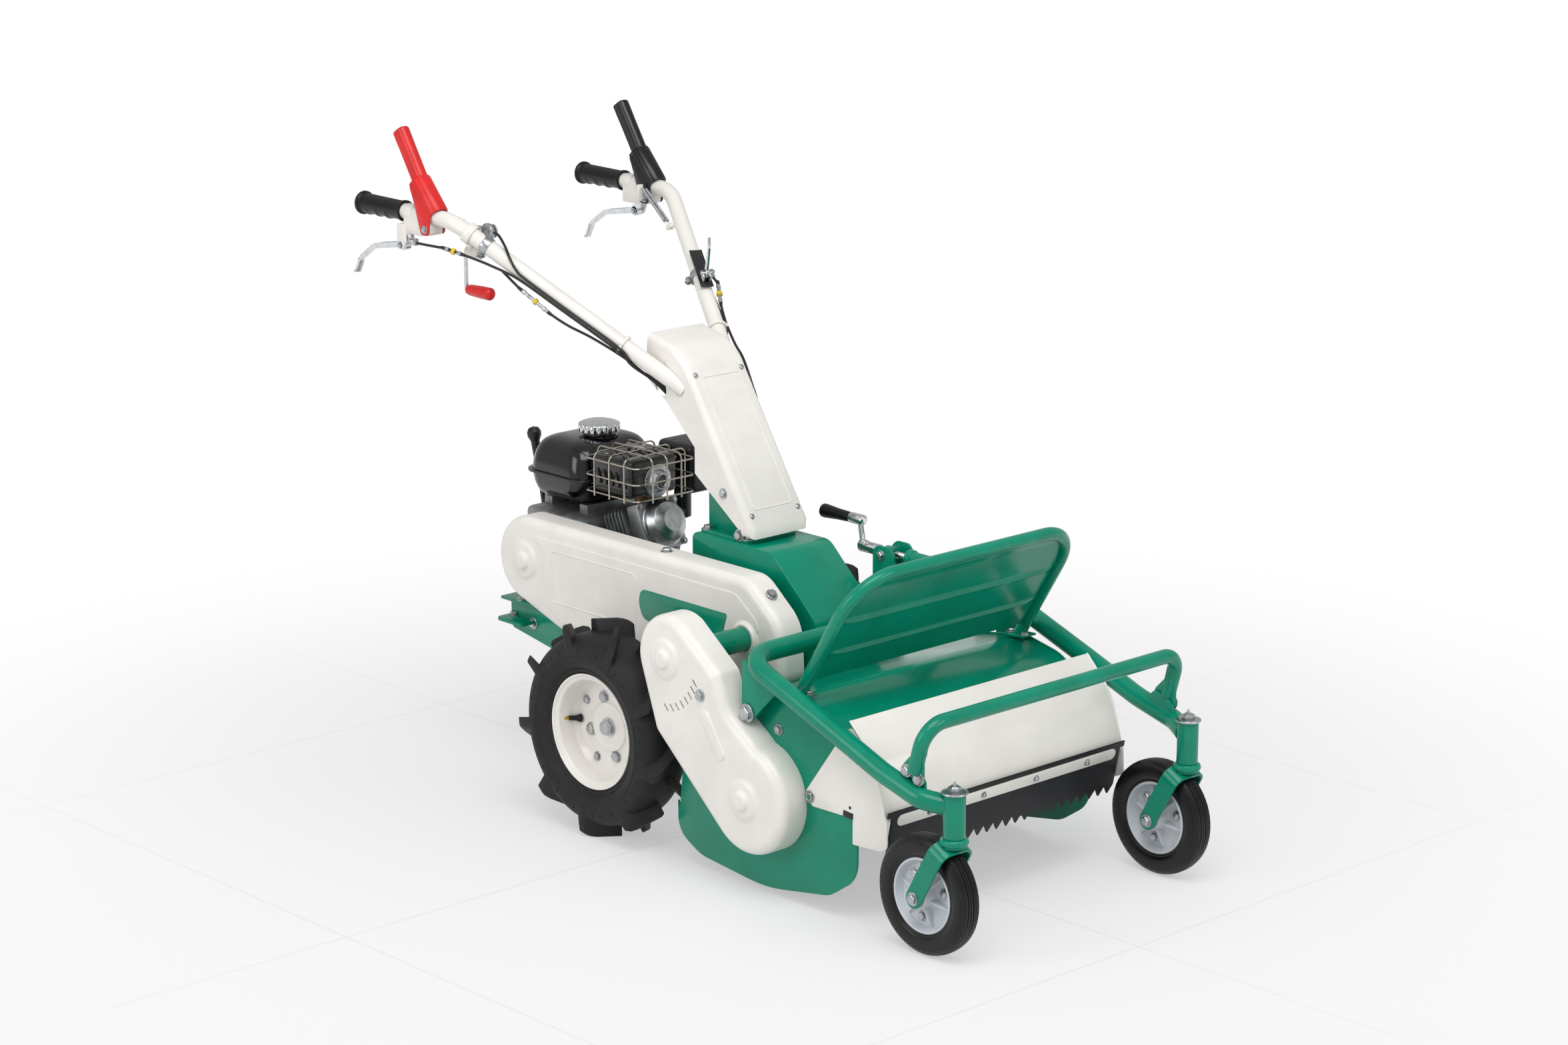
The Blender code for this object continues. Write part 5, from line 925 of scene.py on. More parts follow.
def makeMastCover():
    # the folded white cover: front, cheeks and foot in one pressing, open towards the engine
    size = mastCover
    half, wall = size["halfWidth"], size["wall"]
    outline = rounded(
        [(-0.138, 0.5185, 0), (-0.04, 0.5185, 0.012), (0.06, 0.6, 0.012), (0.06, 0.65, 0.03),
         (0.2, 0.74, 0.012), (0.2, 0.862, 0.012), (0.066, 0.829, 0.06), (0.03, 0.8, 0.06),
         (-0.138, 0.537, 0)], step=10)
    front = rounded([
        (-0.138 + wall, 0.5, 0), (0.26, 0.5, 0), (0.26, 0.873, 0), (0.066, 0.8262, 0.06),
        (0.0328, 0.7972, 0.06), (-0.138 + wall, 0.537, 0)], step=10)

    def puffed(loop, half, curve):
        levels = []
        for k in range(7):
            turn = math.pi / 2 * k / 6
            levels.append((half - curve * (1 - math.sin(turn)), curve * (1 - math.cos(turn))))
        levels = levels[::-1]
        levels += [(-x, edge) for x, edge in reversed(levels)]
        return loft([[(x, *p) for p in inset(loop, edge)] for x, edge in levels])

    behind = [(-0.112, 0.5), (0.3, 0.5), (0.3, 0.9), (0.124, 0.9), (0.136, 0.767), (0.08, 0.729),
              (0.007, 0.659), (0.007, 0.613), (-0.105, 0.533), (-0.112, 0.533)]
    tools = [puffed(front, half - wall, size["rounding"] - 0.002),
             slab(behind, -0.1, 0.1, edge=0.0)]
    for side in (-1, 1):
        tools += [barrel(handleLine(side, 0.0408), handleLine(side, 0.17), 0.0153),
                  barrel((side * 0.05, 0.082, 0.738), (side * 0.11, 0.13, 0.795), 0.0125)]
    mesh = cutBy(puffed(outline, half, size["rounding"]), tools)
    # the sunk panel on the front, drawn by a fine bead, and its fixing screws
    slope = (Vector((0.03, 0.8)) - Vector((-0.138, 0.537))).normalized()
    normal = Vector((-slope.y, slope.x))
    face = Matrix.Translation((0, -0.138 + normal.x * 0.0002, 0.537 + normal.y * 0.0002)) \
        @ Matrix(((1, 0, 0, 0), (0, slope.x, normal.x, 0), (0, slope.y, normal.y, 0),
                  (0, 0, 0, 1)))
    panel = roundedBox(-0.044, 0.044, 0.034, 0.286, 0.006, 15)
    bead = pathBar([face @ Vector((p[0], p[1], 0.0001)) for p in panel], 0.001, 8, closed=True)
    piece("mast_shroud", [mesh, bead], coverWhite, "mast_cover", smooth=35)
    spots = [(face @ Vector((side * 0.054, along, 0.0002)), face.to_3x3() @ Vector((0, 0, 1)),
              0.0052) for side in (-1, 1) for along in (0.024, 0.292)]
    fasteners("shroud_screws", spots, source=screwHead)
    spots = [((side * x, y, z), (side, 0, 0), size)
             for x, y, z, size in ((0.0682, -0.067, 0.59, 0.0072), (0.06, -0.098, 0.5195, 0.0085))
             for side in (-1, 1)]
    fasteners("shroud_bolts", spots)


def handleLine(side, y):
    # a point on the straight part of a handle tube
    return Vector((side * (0.0878 + 0.5035 * (y - 0.1)), y, 0.7945 + 0.6945 * (y - 0.1)))


makeRotorCover()
makeLongCover()
makeMastCover()
print("covers made")


# ---- lift arm, push bar, height screw ----
armX, headTop, headBottom = 0.3025, 0.28, 0.2075
heightPin, screwX = (-0.379, 0.485), 0.14
arm = {"tubeRadius": 0.017, "barRadius": 0.0125, "hingeBolt": 0.0125, "earBolt": 0.0088}


def makeArm():
    half = [(casterX + 0.002, -0.826, 0.258, 0.0), (armX, -0.785, 0.265, 0.05),
            (armX, -0.7, 0.288, 0.12), (armX, -0.586, 0.331, 0.15), (armX, -0.375, 0.408, 0.055)]
    path = [(-x, y, z, radius) for x, y, z, radius in half] + half[::-1]
    parts = [pathBar(rounded(path, closed=False, step=6), arm["tubeRadius"], 28)]
    bolts = []
    for side in (-1, 1):
        x = side * casterX
        head = turned(oblong(0.0108, 0.018, headBottom, headTop), 0.001, (x, kingpinY, 0),
                      (0, 0, 1), 40, closed=True)
        # a weld bead where the tube meets the head
        bead = pathBar([(
            x + side * (0.003 + 0.006 * math.sin(a)), kingpinY + 0.0175 + 0.002 * math.cos(a),
            0.2585 + 0.0165 * math.cos(a)) for a in fan(0, 20, 18)], 0.0022, 8, closed=True)
        y, z = armHinge
        gusset = arc(armHinge, 0.015, -150, 0, 16) \
            + [(y + 0.013, z + 0.088), (y - 0.078, z + 0.058)]
        ear = rounded([(-0.738, 0.28, 0), (-0.738, 0.303, 0.003), (-0.748, 0.312, 0.003),
                       (-0.777, 0.303, 0.003), (-0.788, 0.29, 0.003), (-0.788, 0.268, 0)])
        lugX = screwX + side * 0.018
        y, z = heightPin
        lug = arc(heightPin, 0.011, 0, 180, 18) + [(y - 0.018, z - 0.08), (y + 0.016, z - 0.08)]
        parts += [head, bead, slab(gusset, side * (armX - 0.0025), side * (armX + 0.0025)),
                  slab(ear, side * 0.292, side * 0.2965), slab(lug, lugX - 0.002, lugX + 0.002)]
        bolts += [((side * 0.3018, -0.7525, 0.3034), (side, 0, 0), arm["earBolt"]),
                  ((side * 0.3018, -0.779, 0.295), (side, 0, 0), arm["earBolt"])]
    piece("arm_tube", parts, green, "lift_arm", body="lift_arm", smooth=35, weld=False)
    fasteners("ear_bolts", bolts, "lift_arm")


def makePushBar():
    half = [(0.301, -0.77, 0.306, 0.0), (0.301, -0.792, 0.385, 0.045)]
    path = [(-x, y, z, radius) for x, y, z, radius in half] + half[::-1]
    parts = [pathBar(rounded(path, closed=False, step=6), arm["barRadius"], 24)]
    for side in (-1, 1):
        foot = rounded([(-0.74, 0.299, 0.002), (-0.745, 0.314, 0.004), (-0.768, 0.338, 0.006),
                        (-0.788, 0.338, 0.006), (-0.788, 0.288, 0.002)])
        # the foot is folded from one sheet: a flat ear and a lip that wraps the bar
        lip = rounded([(-0.77, 0.33, 0.004), (-0.784, 0.33, 0.004), (-0.788, 0.362, 0.004),
                       (-0.778, 0.364, 0.004)])
        parts += [slab(foot, side * 0.2968, side * 0.3015), slab(lip, side * 0.288, side * 0.3015)]
    piece("front_bar", parts, green, "push_bar", body="lift_arm", smooth=35, weld=False)


def makeHeightScrew():
    x, (y, z) = screwX, heightPin
    body = turned([(0.0125, 0.066), (0.0125, -0.066), (0.0085, -0.066), (0.0085, 0.066)], 0.0008,
                  (x, y, z), (0, 1, 0), 32, closed=True)
    collar = turned([(0.012, 0.066), (0.0152, 0.064), (0.0152, 0.054), (0.012, 0.052)], 0.001,
                    (x, y, z), (0, 1, 0), 32, closed=True)
    pins = [barrel((x + side * 0.01, y, z), (x + side * 0.0158, y, z), 0.0062) for side in (-1, 1)]
    piece("screw_sleeve", [body, collar, *pins], green, "height_nut", body="height_nut")
    thread = softened(
        [(0.0, -0.155)]
        + [(0.006 if k % 2 else 0.0049, -0.155 + 0.0015 * (k + 1)) for k in range(88)]
        + [(0.0062, -0.02)], 0.0002)
    screw = lathe(thread + [(0.0062, 0.005), (0.0062, 0.074), (0.0, 0.074)], (x, -0.27, z),
                  (0, 1, 0), 24)
    hub = turned([(0.0, 0.026), (0.0088, 0.026), (0.01, 0.0275), (0.01, 0.0735), (0.0088, 0.075),
                  (0.0, 0.075)], 0.001, (x, -0.27, z), (0, 1, 0), 40)
    # a forged arm with a channel down each face
    foot, head = Vector((x, -0.201, z + 0.004)), Vector((x, -0.193, z + 0.044))
    along = (head - foot).normalized()
    place = Matrix.Translation((foot + head) / 2) \
        @ along.to_track_quat("Z", "Y").to_matrix().to_4x4()
    half = (head - foot).length / 2 + 0.003
    web = block((0.0105, 0.0036, 2 * half), (0, 0, 0), edge=0.001, place=place)
    rails = [pathBar(
        [place @ Vector((turn * 0.0042, 0, -half)), place @ Vector((turn * 0.0036, 0, half))],
        0.0022, 12) for turn in (-1, 1)]
    boss = barrel((x, -0.2105, z + 0.002), (x, -0.1955, z + 0.002), 0.0098)
    seat = turned([(0.0, -0.006), (0.005, -0.006), (0.0086, -0.0035), (0.0095, 0.001),
                   (0.0095, 0.029), (0.0, 0.029)], 0.0015, (x, -0.199, z + 0.046), (0, 1, 0), 40)
    piece("crank_metal", [screw, hub, web, *rails, boss, seat], chrome, "height_crank",
          body="height_crank", smooth=32, weld=False)
    grip = turned([(0.0, 0.073), (0.0098, 0.073), (0.0122, 0.0705), (0.0124, 0.066), (0.01, 0.035),
                   (0.0088, 0.001), (0.0, 0.001)], 0.0024, (x, -0.172, z + 0.046), (0, 1, 0), 40,
                  step=15)
    piece("crank_grip", [grip], gripRubber, body="height_crank")

    ear = rounded([(-0.305, 0.392, 0), (-0.25, 0.372, 0), (-0.25, 0.492, 0.012),
                   (-0.262, 0.502, 0.012), (-0.29, 0.502, 0.012), (-0.302, 0.49, 0.01)], step=12)
    parts = [slab(ear, x + side * 0.023 - 0.0022, x + side * 0.023 + 0.0022) for side in (-1, 1)]
    low = 0.0703
    eye = turned(oblong(0.0066, 0.0125, -0.01, 0.01), 0.001, (x, -0.27, z), (0, 1, 0), 32,
                 closed=True)
    bar = barrel((x - 0.021, -0.27, z - 0.011), (x + 0.021, -0.27, z - 0.011), 0.006)
    tongue = block((x + 0.025 - low, 0.05, 0.005), ((x + 0.025 + low) / 2, -0.2775, 0.39),
                   (-0.35, 0, 0))
    flange = rounded(
        [(-0.302, 0.345, 0.006), (-0.256, 0.345, 0.006), (-0.256, 0.398, 0), (-0.302, 0.414, 0)])
    parts += [eye, bar, tongue, slab(flange, low, low + 0.005)]
    piece("screw_bearing", parts, green, "height_bracket", weld=False)
    spots = [((x + side * 0.0256, -0.27, z), (side, 0, 0), 0.0078) for side in (-1, 1)]
    spots += [((low + 0.0054, y, 0.366), (1, 0, 0), 0.0078) for y in (-0.29, -0.268)]
    fasteners("bearing_bolts", spots)


# ---- deck, guard hoop, hinged shield, flap ----
deckHalf = 0.28
shieldHinge = (-0.512, 0.197)
deck = {"sheet": 0.004, "hoopRadius": 0.011, "teeth": 24,
        "stripScrews": (-0.75, -0.25, 0.25, 0.75)}


def thickened(path, thickness):
    # a closed outline this thick to the left of an open path
    far = [here + Vector((-along.y, along.x)) * thickness for here, along, _ in headings(path)]
    return [Vector(point) for point in path] + far[::-1]


def makeDeck():
    roof = rounded([(-0.188, 0.1, 0), (-0.2, 0.205, 0.05), (-0.335, 0.33, 0.08),
                    (-0.464, 0.353, 0.1), (-0.545, 0.336, 0.08), (-0.59, 0.304, 0)], closed=False,
                   step=6)
    bottom = rounded(
        [(-0.62, 0.25, 0), (-0.62, 0.08, 0.055), (-0.555, 0.036, 0.06), (-0.403, 0.01, 0.3),
         (-0.24, 0.026, 0.08), (-0.183, 0.056, 0.045), (-0.183, 0.11, 0)], closed=False, step=5)
    parts, pins, bolts = [], [], []
    for side in (-1, 1):
        outer, inner = side * deckHalf, side * (deckHalf - deck["sheet"])
        parts.append(slab(bottom + roof, inner, outer, edge=0.0008))
        parts.append(barrel((inner, *armHinge), (side * (armX - 0.0028), *armHinge), 0.011))
        pins.append(barrel((inner, *armHinge), (side * 0.309, *armHinge), 0.0062))
        pins.append(turned(
            [(0.0, 0.2815), (0.0048, 0.2872), (0.008, 0.2872), (0.008, 0.276), (0.0, 0.276)],
            0.0006, (0, *shieldHinge), (side, 0, 0), 32))
        bolts.append(((side * (armX + 0.0042), *armHinge), (side, 0, 0), arm["hingeBolt"]))
        for y, z in ((-0.44, 0.283), (-0.25, 0.21)) if side > 0 else ((-0.435, 0.293),):
            bolts.append(((side * (deckHalf + 0.0008), y, z), (side, 0, 0), 0.0075))
    sheet = slab(thickened([(y, z - 0.001) for y, z in roof], 0.003), -0.278, 0.278, edge=0.0004)
    rail = block((0.552, 0.02, 0.02), (0, -0.586, 0.296), edge=0.0015)
    # a weld runs along each edge of the roof
    welds = [pathBar([(side * 0.2757, *p) for p in roof], 0.0016, 8) for side in (-1, 1)]
    piece("deck_plates", [*parts, sheet, rail, *welds], green, "deck_housing", smooth=30,
          weld=False)
    piece("deck_pins", pins, zinc)
    fasteners("deck_bolts", bolts)
    # a green cap on the end of each shield pin
    caps = [turned(oblong(0.0, 0.0056, 0.2866, 0.286), 0.0002, (0, *shieldHinge), (side, 0, 0), 24)
            for side in (-1, 1)]
    piece("pin_caps", caps, green)


hoopSheet = {"corner": 0.085, "columns": 28, "levels": 26, "start": 0.03, "beads": (0.34, 0.62),
             "beadHigh": 0.0048, "beadWide": 0.0042, "lipHigh": 0.0026, "lipWide": 0.005,
             "lipDrop": 0.016, "halfThick": 0.0008}


def makeHoop():
    size = hoopSheet
    corner, columns = size["corner"], size["columns"]
    foot, top = Vector((0.26, -0.464, 0.356)), Vector((0.26, -0.598, 0.574))
    path = [(-foot.x, foot.y, foot.z, 0), (-top.x, top.y, top.z, corner),
            (top.x, top.y, top.z, corner), (foot.x, foot.y, foot.z, 0)]
    hoop = pathBar(rounded(path, closed=False, step=6), deck["hoopRadius"], 24)
    slope = (top - foot).normalized()
    height = (top - foot).length
    place = Matrix.Translation((0, foot.y, foot.z)) \
        @ Matrix.Rotation(math.atan2(-slope.y, slope.z), 4, "X")
    # the pressed sheet: columns of points whose outline follows the tube, with two long beads
    beads, half = [share * height for share in size["beads"]], foot.x

    def swell(along, across):
        fade = max(0.0, min(1.0, (half - 0.02 - abs(across)) / 0.012))
        lip = size["lipHigh"] \
            * math.exp(-((along - height + size["lipDrop"]) / size["lipWide"]) ** 2)
        return lip * fade + sum(
            size["beadHigh"] * fade * math.exp(-((along - bead) / size["beadWide"]) ** 2)
            for bead in beads)

    rows = []
    start, count = size["start"], size["levels"]
    levels = sorted({start + (height - start) * k / count for k in range(count + 1)}
                    | {bead + step * 0.0018 for bead in beads for step in range(-6, 7)}
                    | {height - 0.0045 * k * k * 0.3 for k in range(1, 8)})
    for level in levels:
        over = level - (height - corner)
        width = half if over <= 0 else half - corner + math.sqrt(max(0.0, corner ** 2 - over ** 2))
        rows.append([(width * (k / columns * 2 - 1), level) for k in range(columns + 1)])
    work = bmesh.new()
    faces = []
    for depth in (-size["halfThick"], size["halfThick"]):
        grid = [[work.verts.new((x, depth - swell(z, x), z)) for x, z in row] for row in rows]
        faces.append(grid)
        for near, far in zip(grid, grid[1:]):
            for k in range(columns):
                work.faces.new((near[k], near[k + 1], far[k + 1], far[k]))
    back, front = faces
    last = len(rows) - 1
    rim = [(r, 0) for r in range(last)] + [(last, k) for k in range(columns)]
    rim += [(r, columns) for r in range(last, 0, -1)] + [(0, k) for k in range(columns, 0, -1)]
    for (r, k), (s, m) in zip(rim, rim[1:] + rim[:1]):
        work.faces.new((back[r][k], back[s][m], front[s][m], front[r][k]))
    sheet = meshOf(work, place)
    feet = [block((0.034, 0.046, 0.004), (side * foot.x, foot.y - 0.002, 0.357), (-0.05, 0, 0),
                  0.0012) for side in (-1, 1)]
    piece("hoop_and_sheet", [hoop, sheet, *feet], green, "guard_hoop", smooth=40, weld=False)
    fasteners("hoop_bolts", [
        ((side * (foot.x - 0.004), foot.y + 0.0165 * turn - 0.001, 0.3594), (0, 0.05, 1), 0.0068)
        for side in (-1, 1) for turn in (-1, 1)])


def makeShield():
    path = rounded([(-0.604, 0.347, 0), (-0.66, 0.291, 0.12), (-0.6865, 0.195, 0)], closed=False,
                   step=3)
    sheet = slab(thickened(path, 0.0025), -0.2815, 0.2815, edge=0.0003)
    cheek = rounded([
        (-0.57, 0.296, 0.004), (-0.606, 0.338, 0.008), (-0.66, 0.2885, 0.12), (-0.69, 0.195, 0.06),
        (-0.692, 0.152, 0.01), (-0.676, 0.144, 0.004), (-0.612, 0.14, 0.003),
        (-0.612, 0.184, 0.003), (-0.518, 0.182, 0.012), (-0.497, 0.198, 0.012)], step=5)
    parts = [sheet] + [
        slab(cheek, side * (deckHalf + 0.0007), side * 0.2832, edge=0.0006) for side in (-1, 1)]
    # the rolled edge where the sheet turns into the cheek
    for side in (-1, 1):
        parts.append(pathBar(
            [(side * 0.2812, p.x + 0.0006, p.y - 0.0004) for p in path], 0.002, 10))
    piece("shield_sheet", parts, white, "front_shield", body="front_shield", smooth=30, weld=False)
    # painted shade: in each cheek a thin black disc stands for a small hole; beside it sits a
    # black rubber stop
    holes = []
    for side in (-1, 1):
        holes.append(barrel(
            (side * 0.283, -0.606, 0.201), (side * 0.2834, -0.606, 0.201), 0.003, 0.0001))
        holes.append(block(
            (0.004, 0.023, 0.0105), (side * 0.2822, -0.602, 0.188), (0.07, 0, 0), 0.0008))
    piece("shield_plugs", holes, blackPlastic, body="front_shield")
    rings = [turned(oblong(0.0086, 0.0112, 0.283, 0.2846), 0.0004, (0, *shieldHinge), (side, 0, 0),
                    32, closed=True) for side in (-1, 1)]
    piece("hinge_rings", rings, zinc, body="front_shield")


def makeFlap():
    place = Matrix.Translation((0, -0.6728, 0.118)) @ Matrix.Rotation(0.205, 4, "X")
    halfWidth, height, teeth, depth = 0.272, 0.096, deck["teeth"], 0.016
    pitch = 2 * halfWidth / teeth
    loop = [(halfWidth, height), (-halfWidth, height)]
    for index in range(teeth):
        left = -halfWidth + index * pitch
        loop += [(left + 0.0006, depth), (left + pitch / 2 - 0.0009, 0.0004),
                 (left + pitch / 2 + 0.0009, 0.0004)]
    loop += [(halfWidth, depth)]
    flap = slab(loop, -0.0015, 0.0015, "xz", 0.0003, place)
    band = slab(oblong(0.2815, -0.2815, 0.096, 0.086), -0.0016, 0.0016, "xz", 0.0004, place)
    piece("toothed_flap", [flap, band], flapRubber, "shield_flap", body="front_shield", smooth=30)
    level, stripHalf = 0.078, 0.25
    right = arc((stripHalf, 0.0), 0.01, -90, 90, 16)
    loop = right + [(-x, -z) for x, z in right]
    strip = slab([(x, z + level) for x, z in loop], 0.0012, 0.0036, "xz", 0.0007, place)
    piece("clamp_strip", [strip], white, body="front_shield")
    out = place.to_3x3() @ Vector((0, -1, 0))
    spots = [(place @ Vector((share * stripHalf, -0.0038, level)), out, 0.0066)
             for share in deck["stripScrews"]]
    fasteners("strip_washers", [(p, d, 0.0046) for p, d, _ in spots], "front_shield")
    fasteners("strip_screws", [(p + out * 0.0026, d, 0.0046) for p, d, _ in spots], "front_shield",
              screwHead)


makeArm()
makePushBar()
makeHeightScrew()
makeDeck()
makeHoop()
makeShield()
makeFlap()
print("arm and deck made")


# ---- handlebar and its controls ----
handleRadius, collarRadius, gripEnd, gripZ = 0.0145, 0.0195, 0.689, 1.03
leverX, bracketX = 0.2573, 0.2808
clutchAxis, squeezeAxis = (0.489, 1.0065), (0.55, 0.972)
throttleAxis, crankX, crankZ = (0.387, 1.008), -0.218, 0.968
brakeY, brakePivot = 0.25, (-0.03, 0.036)
yokeAxis = (0.045, 0.7563)


def handlePath(side, step=4):
    return rounded([(*handleLine(side, 0.041), 0), (*handleLine(side, 0.435), 0.1),
                    (side * 0.259, gripEnd, gripZ, 0)], closed=False, step=step)


def handleFrame(side, y):
    # across, along and up of a handle tube at y, about its centre line
    if y < 0.45:
        along = Vector((side * 0.5035, 1.0, 0.6945)).normalized()
        centre = handleLine(side, y)
    else:
        path = handlePath(side)
        along = (path[-1] - path[-2]).normalized()
        centre = path[-1] + along * ((y - gripEnd) / along.y)
    across = along.cross(Vector((0, 0, 1))).normalized()
    turn = Matrix((across, along, across.cross(along))).transposed().to_4x4()
    return Matrix.Translation(centre) @ turn


def collar(side, y, length, radius=None):
    place = handleFrame(side, y)
    outer, half = radius or collarRadius, length / 2
    profile = softened(oblong(handleRadius + 0.0002, outer, -half, half), 0.001)
    return lathe(profile, place.translation, place.col[1][:3], 40, closed=True)


def makeHandlebar():
    parts = [pathBar(handlePath(side), handleRadius, 32) for side in (-1, 1)]
    parts.append(barrel((-0.06, *yokeAxis), (0.06, *yokeAxis), 0.012, 0.001, 32))
    foot = handleLine(1, 0.366)
    parts += [block((0.015, 0.004, 0.012), (0.205, 0.3796, 0.97), edge=0.001),
              pathBar([(0.206, 0.3796, 0.97), foot], 0.004, 16)]
    piece("handle_tubes", parts, white, "handlebar", smooth=40, weld=False)


grip = {"ridgePitch": 0.0145, "ridgeHigh": 0.0026, "ridgeStart": 0.016, "ridgeEnd": 0.09,
        "flutes": 28, "fluteDeep": 0.0004, "rings": 40}


def makeGrip(side):
    path = handlePath(side)
    along = (path[-1] - path[-2]).normalized()
    place = facing(path[-1] + along * 0.0015, along)
    shares = [k / grip["rings"] for k in range(grip["rings"] + 1)]
    skin = [(0.0176 - 0.0006 * share, -0.0085 - 0.106 * share) for share in shares]
    rim = softened([(0.0, 0.0018), (0.0185, 0.0018), (0.0214, -0.0005), (0.0214, -0.005),
                    (0.018, -0.0078)], 0.0012)
    tail = softened([(0.0172, -0.116), (0.0193, -0.1185), (0.0193, -0.1248), (0.016, -0.1248)],
                    0.0008)
    inside = [(0.015, -0.124), (0.015, -0.0015), (0.0, -0.0015)]
    mesh = lathe(rim + skin + tail + inside, (0, 0, 0), (0, 0, 1), 56)
    down = (place.inverted().to_3x3() @ Vector((0, 0, -1))).normalized()
    for vertex in mesh.vertices:
        # finger ridges swell only on the lower side, fine flutes run along the upper
        x, y, z = vertex.co
        reach = math.hypot(x, y)
        if reach < 0.0165 or not -0.112 < z < -0.009:
            continue
        below = (x * down.x + y * down.y) / reach
        ridge = 0.0
        if grip["ridgeStart"] < -z < grip["ridgeEnd"]:
            wave = math.sin((-z - grip["ridgeStart"]) / grip["ridgePitch"] * math.pi)
            ridge = max(0.0, below - 0.15) * max(0.0, wave) * grip["ridgeHigh"]
        groove = grip["fluteDeep"] * max(0.0, -below) * math.cos(grip["flutes"] * math.atan2(y, x))
        scale = 1 + (ridge + groove) / reach
        vertex.co = (x * scale, y * scale, z)
    name = sideName(side)
    piece(f"ribbed_grip_{name}", [moved(mesh, place)], gripRubber, f"grip_{name}", smooth=50)


def channelRing(front, back, halfWidth, depth, radius, wall, middle, filled=False):
    # a U of sheet metal across the lever: its closed side at front, its legs running back
    def leg(wide, bend):
        # half the U: the leg, then its rounded corner
        return [(wide, depth), (wide, radius)] + [
            (halfWidth - radius + bend * math.cos(a), radius - bend * math.sin(a))
            for a in fan(10, 10, 9)]

    outer = leg(halfWidth, radius)
    outer += [(-x, d) for x, d in reversed(outer)]
    if not filled:
        inner = leg(halfWidth - wall, radius - wall)
        outer += [(-x, d) for x, d in inner] + inner[::-1]
    return [(middle + x, front[0] + back[0] * d, front[1] + back[1] * d) for x, d in outer]


def makeClutchLever(side):
    middle, width, wall = side * leverX, 0.019, 0.0022
    low, bend = Vector((0.46, 1.0455)), Vector((0.51, 1.101))
    along = (bend - low).normalized()
    back = Vector((along.y, -along.x))
    # sleeve: the skin that covers the tube, then its shoulder, then the slimmer blade
    rings = []
    for share in (0.0, 0.02, 0.5, 0.94, 1.0):
        ease = 0.0006 if share in (0.0, 1.0) else 0.0
        rings.append(channelRing(
            low.lerp(bend, share) + back * ease, back, width - ease, 0.0185, 0.0165, wall, middle))
    parts = [loft(rings)]
    tip, heel = Vector((0.564, 1.1835)), Vector((0.5075, 1.096))
    lengthways = (tip - heel).normalized()
    behind = Vector((lengthways.y, -lengthways.x))
    shoulder = []
    for share, half, depth, radius in (
            (0.0, 0.0182, 0.026, 0.016), (0.35, 0.0193, 0.0265, 0.0165),
            (0.7, 0.0186, 0.026, 0.016), (1.0, 0.015, 0.0235, 0.013),
            (1.05, 0.0126, 0.0225, 0.0112)):
        place = bend + along * (0.005 * share - 0.0026) + back * (0.0225 - half) * 0.5
        shoulder.append(channelRing(place, back, half, depth, radius, wall, middle, True))
    parts.append(loft(shoulder))
    blade = []
    for share in (0.0, 0.3, 0.6, 0.8, 0.9, 0.965):
        flare = 0.0 if share < 0.8 else 0.0004
        blade.append(channelRing(
            heel.lerp(tip, share), behind, 0.0124 + flare - 0.0004, 0.0245, 0.0112, 0.002, middle))
    parts.append(loft(blade))
    cap = []
    for share, ease in ((0.945, 0.0), (0.97, 0.0004), (0.988, 0.0018), (1.0, 0.0048)):
        cap.append(channelRing(
            heel.lerp(tip, share) + behind * ease, behind, 0.0124 - ease, 0.0245 - 2 * ease,
            0.0112 - ease, 0.002, middle, True))
    parts.append(loft(cap))
    # cheeks run down past the tube to the pivot bolt
    cheek = rounded([
        (0.4725, 1.0343, 0.002), (0.479, 0.9955, 0.009), (0.501, 0.9955, 0.009),
        (0.518, 1.048, 0.02), (0.532, 1.08, 0.004), (0.519, 1.085, 0)], step=10)
    for turn in (-1, 1):
        parts.append(slab(cheek, middle + turn * (width - 0.0003), middle + turn * (width - wall)))
    name, paint = ("blade", redPaint) if side < 0 else ("travel", blackPaint)
    piece(f"{name}_lever_sheet", parts, paint, f"{name}_clutch_lever", body=f"{name}_clutch_lever",
          smooth=36, weld=False)


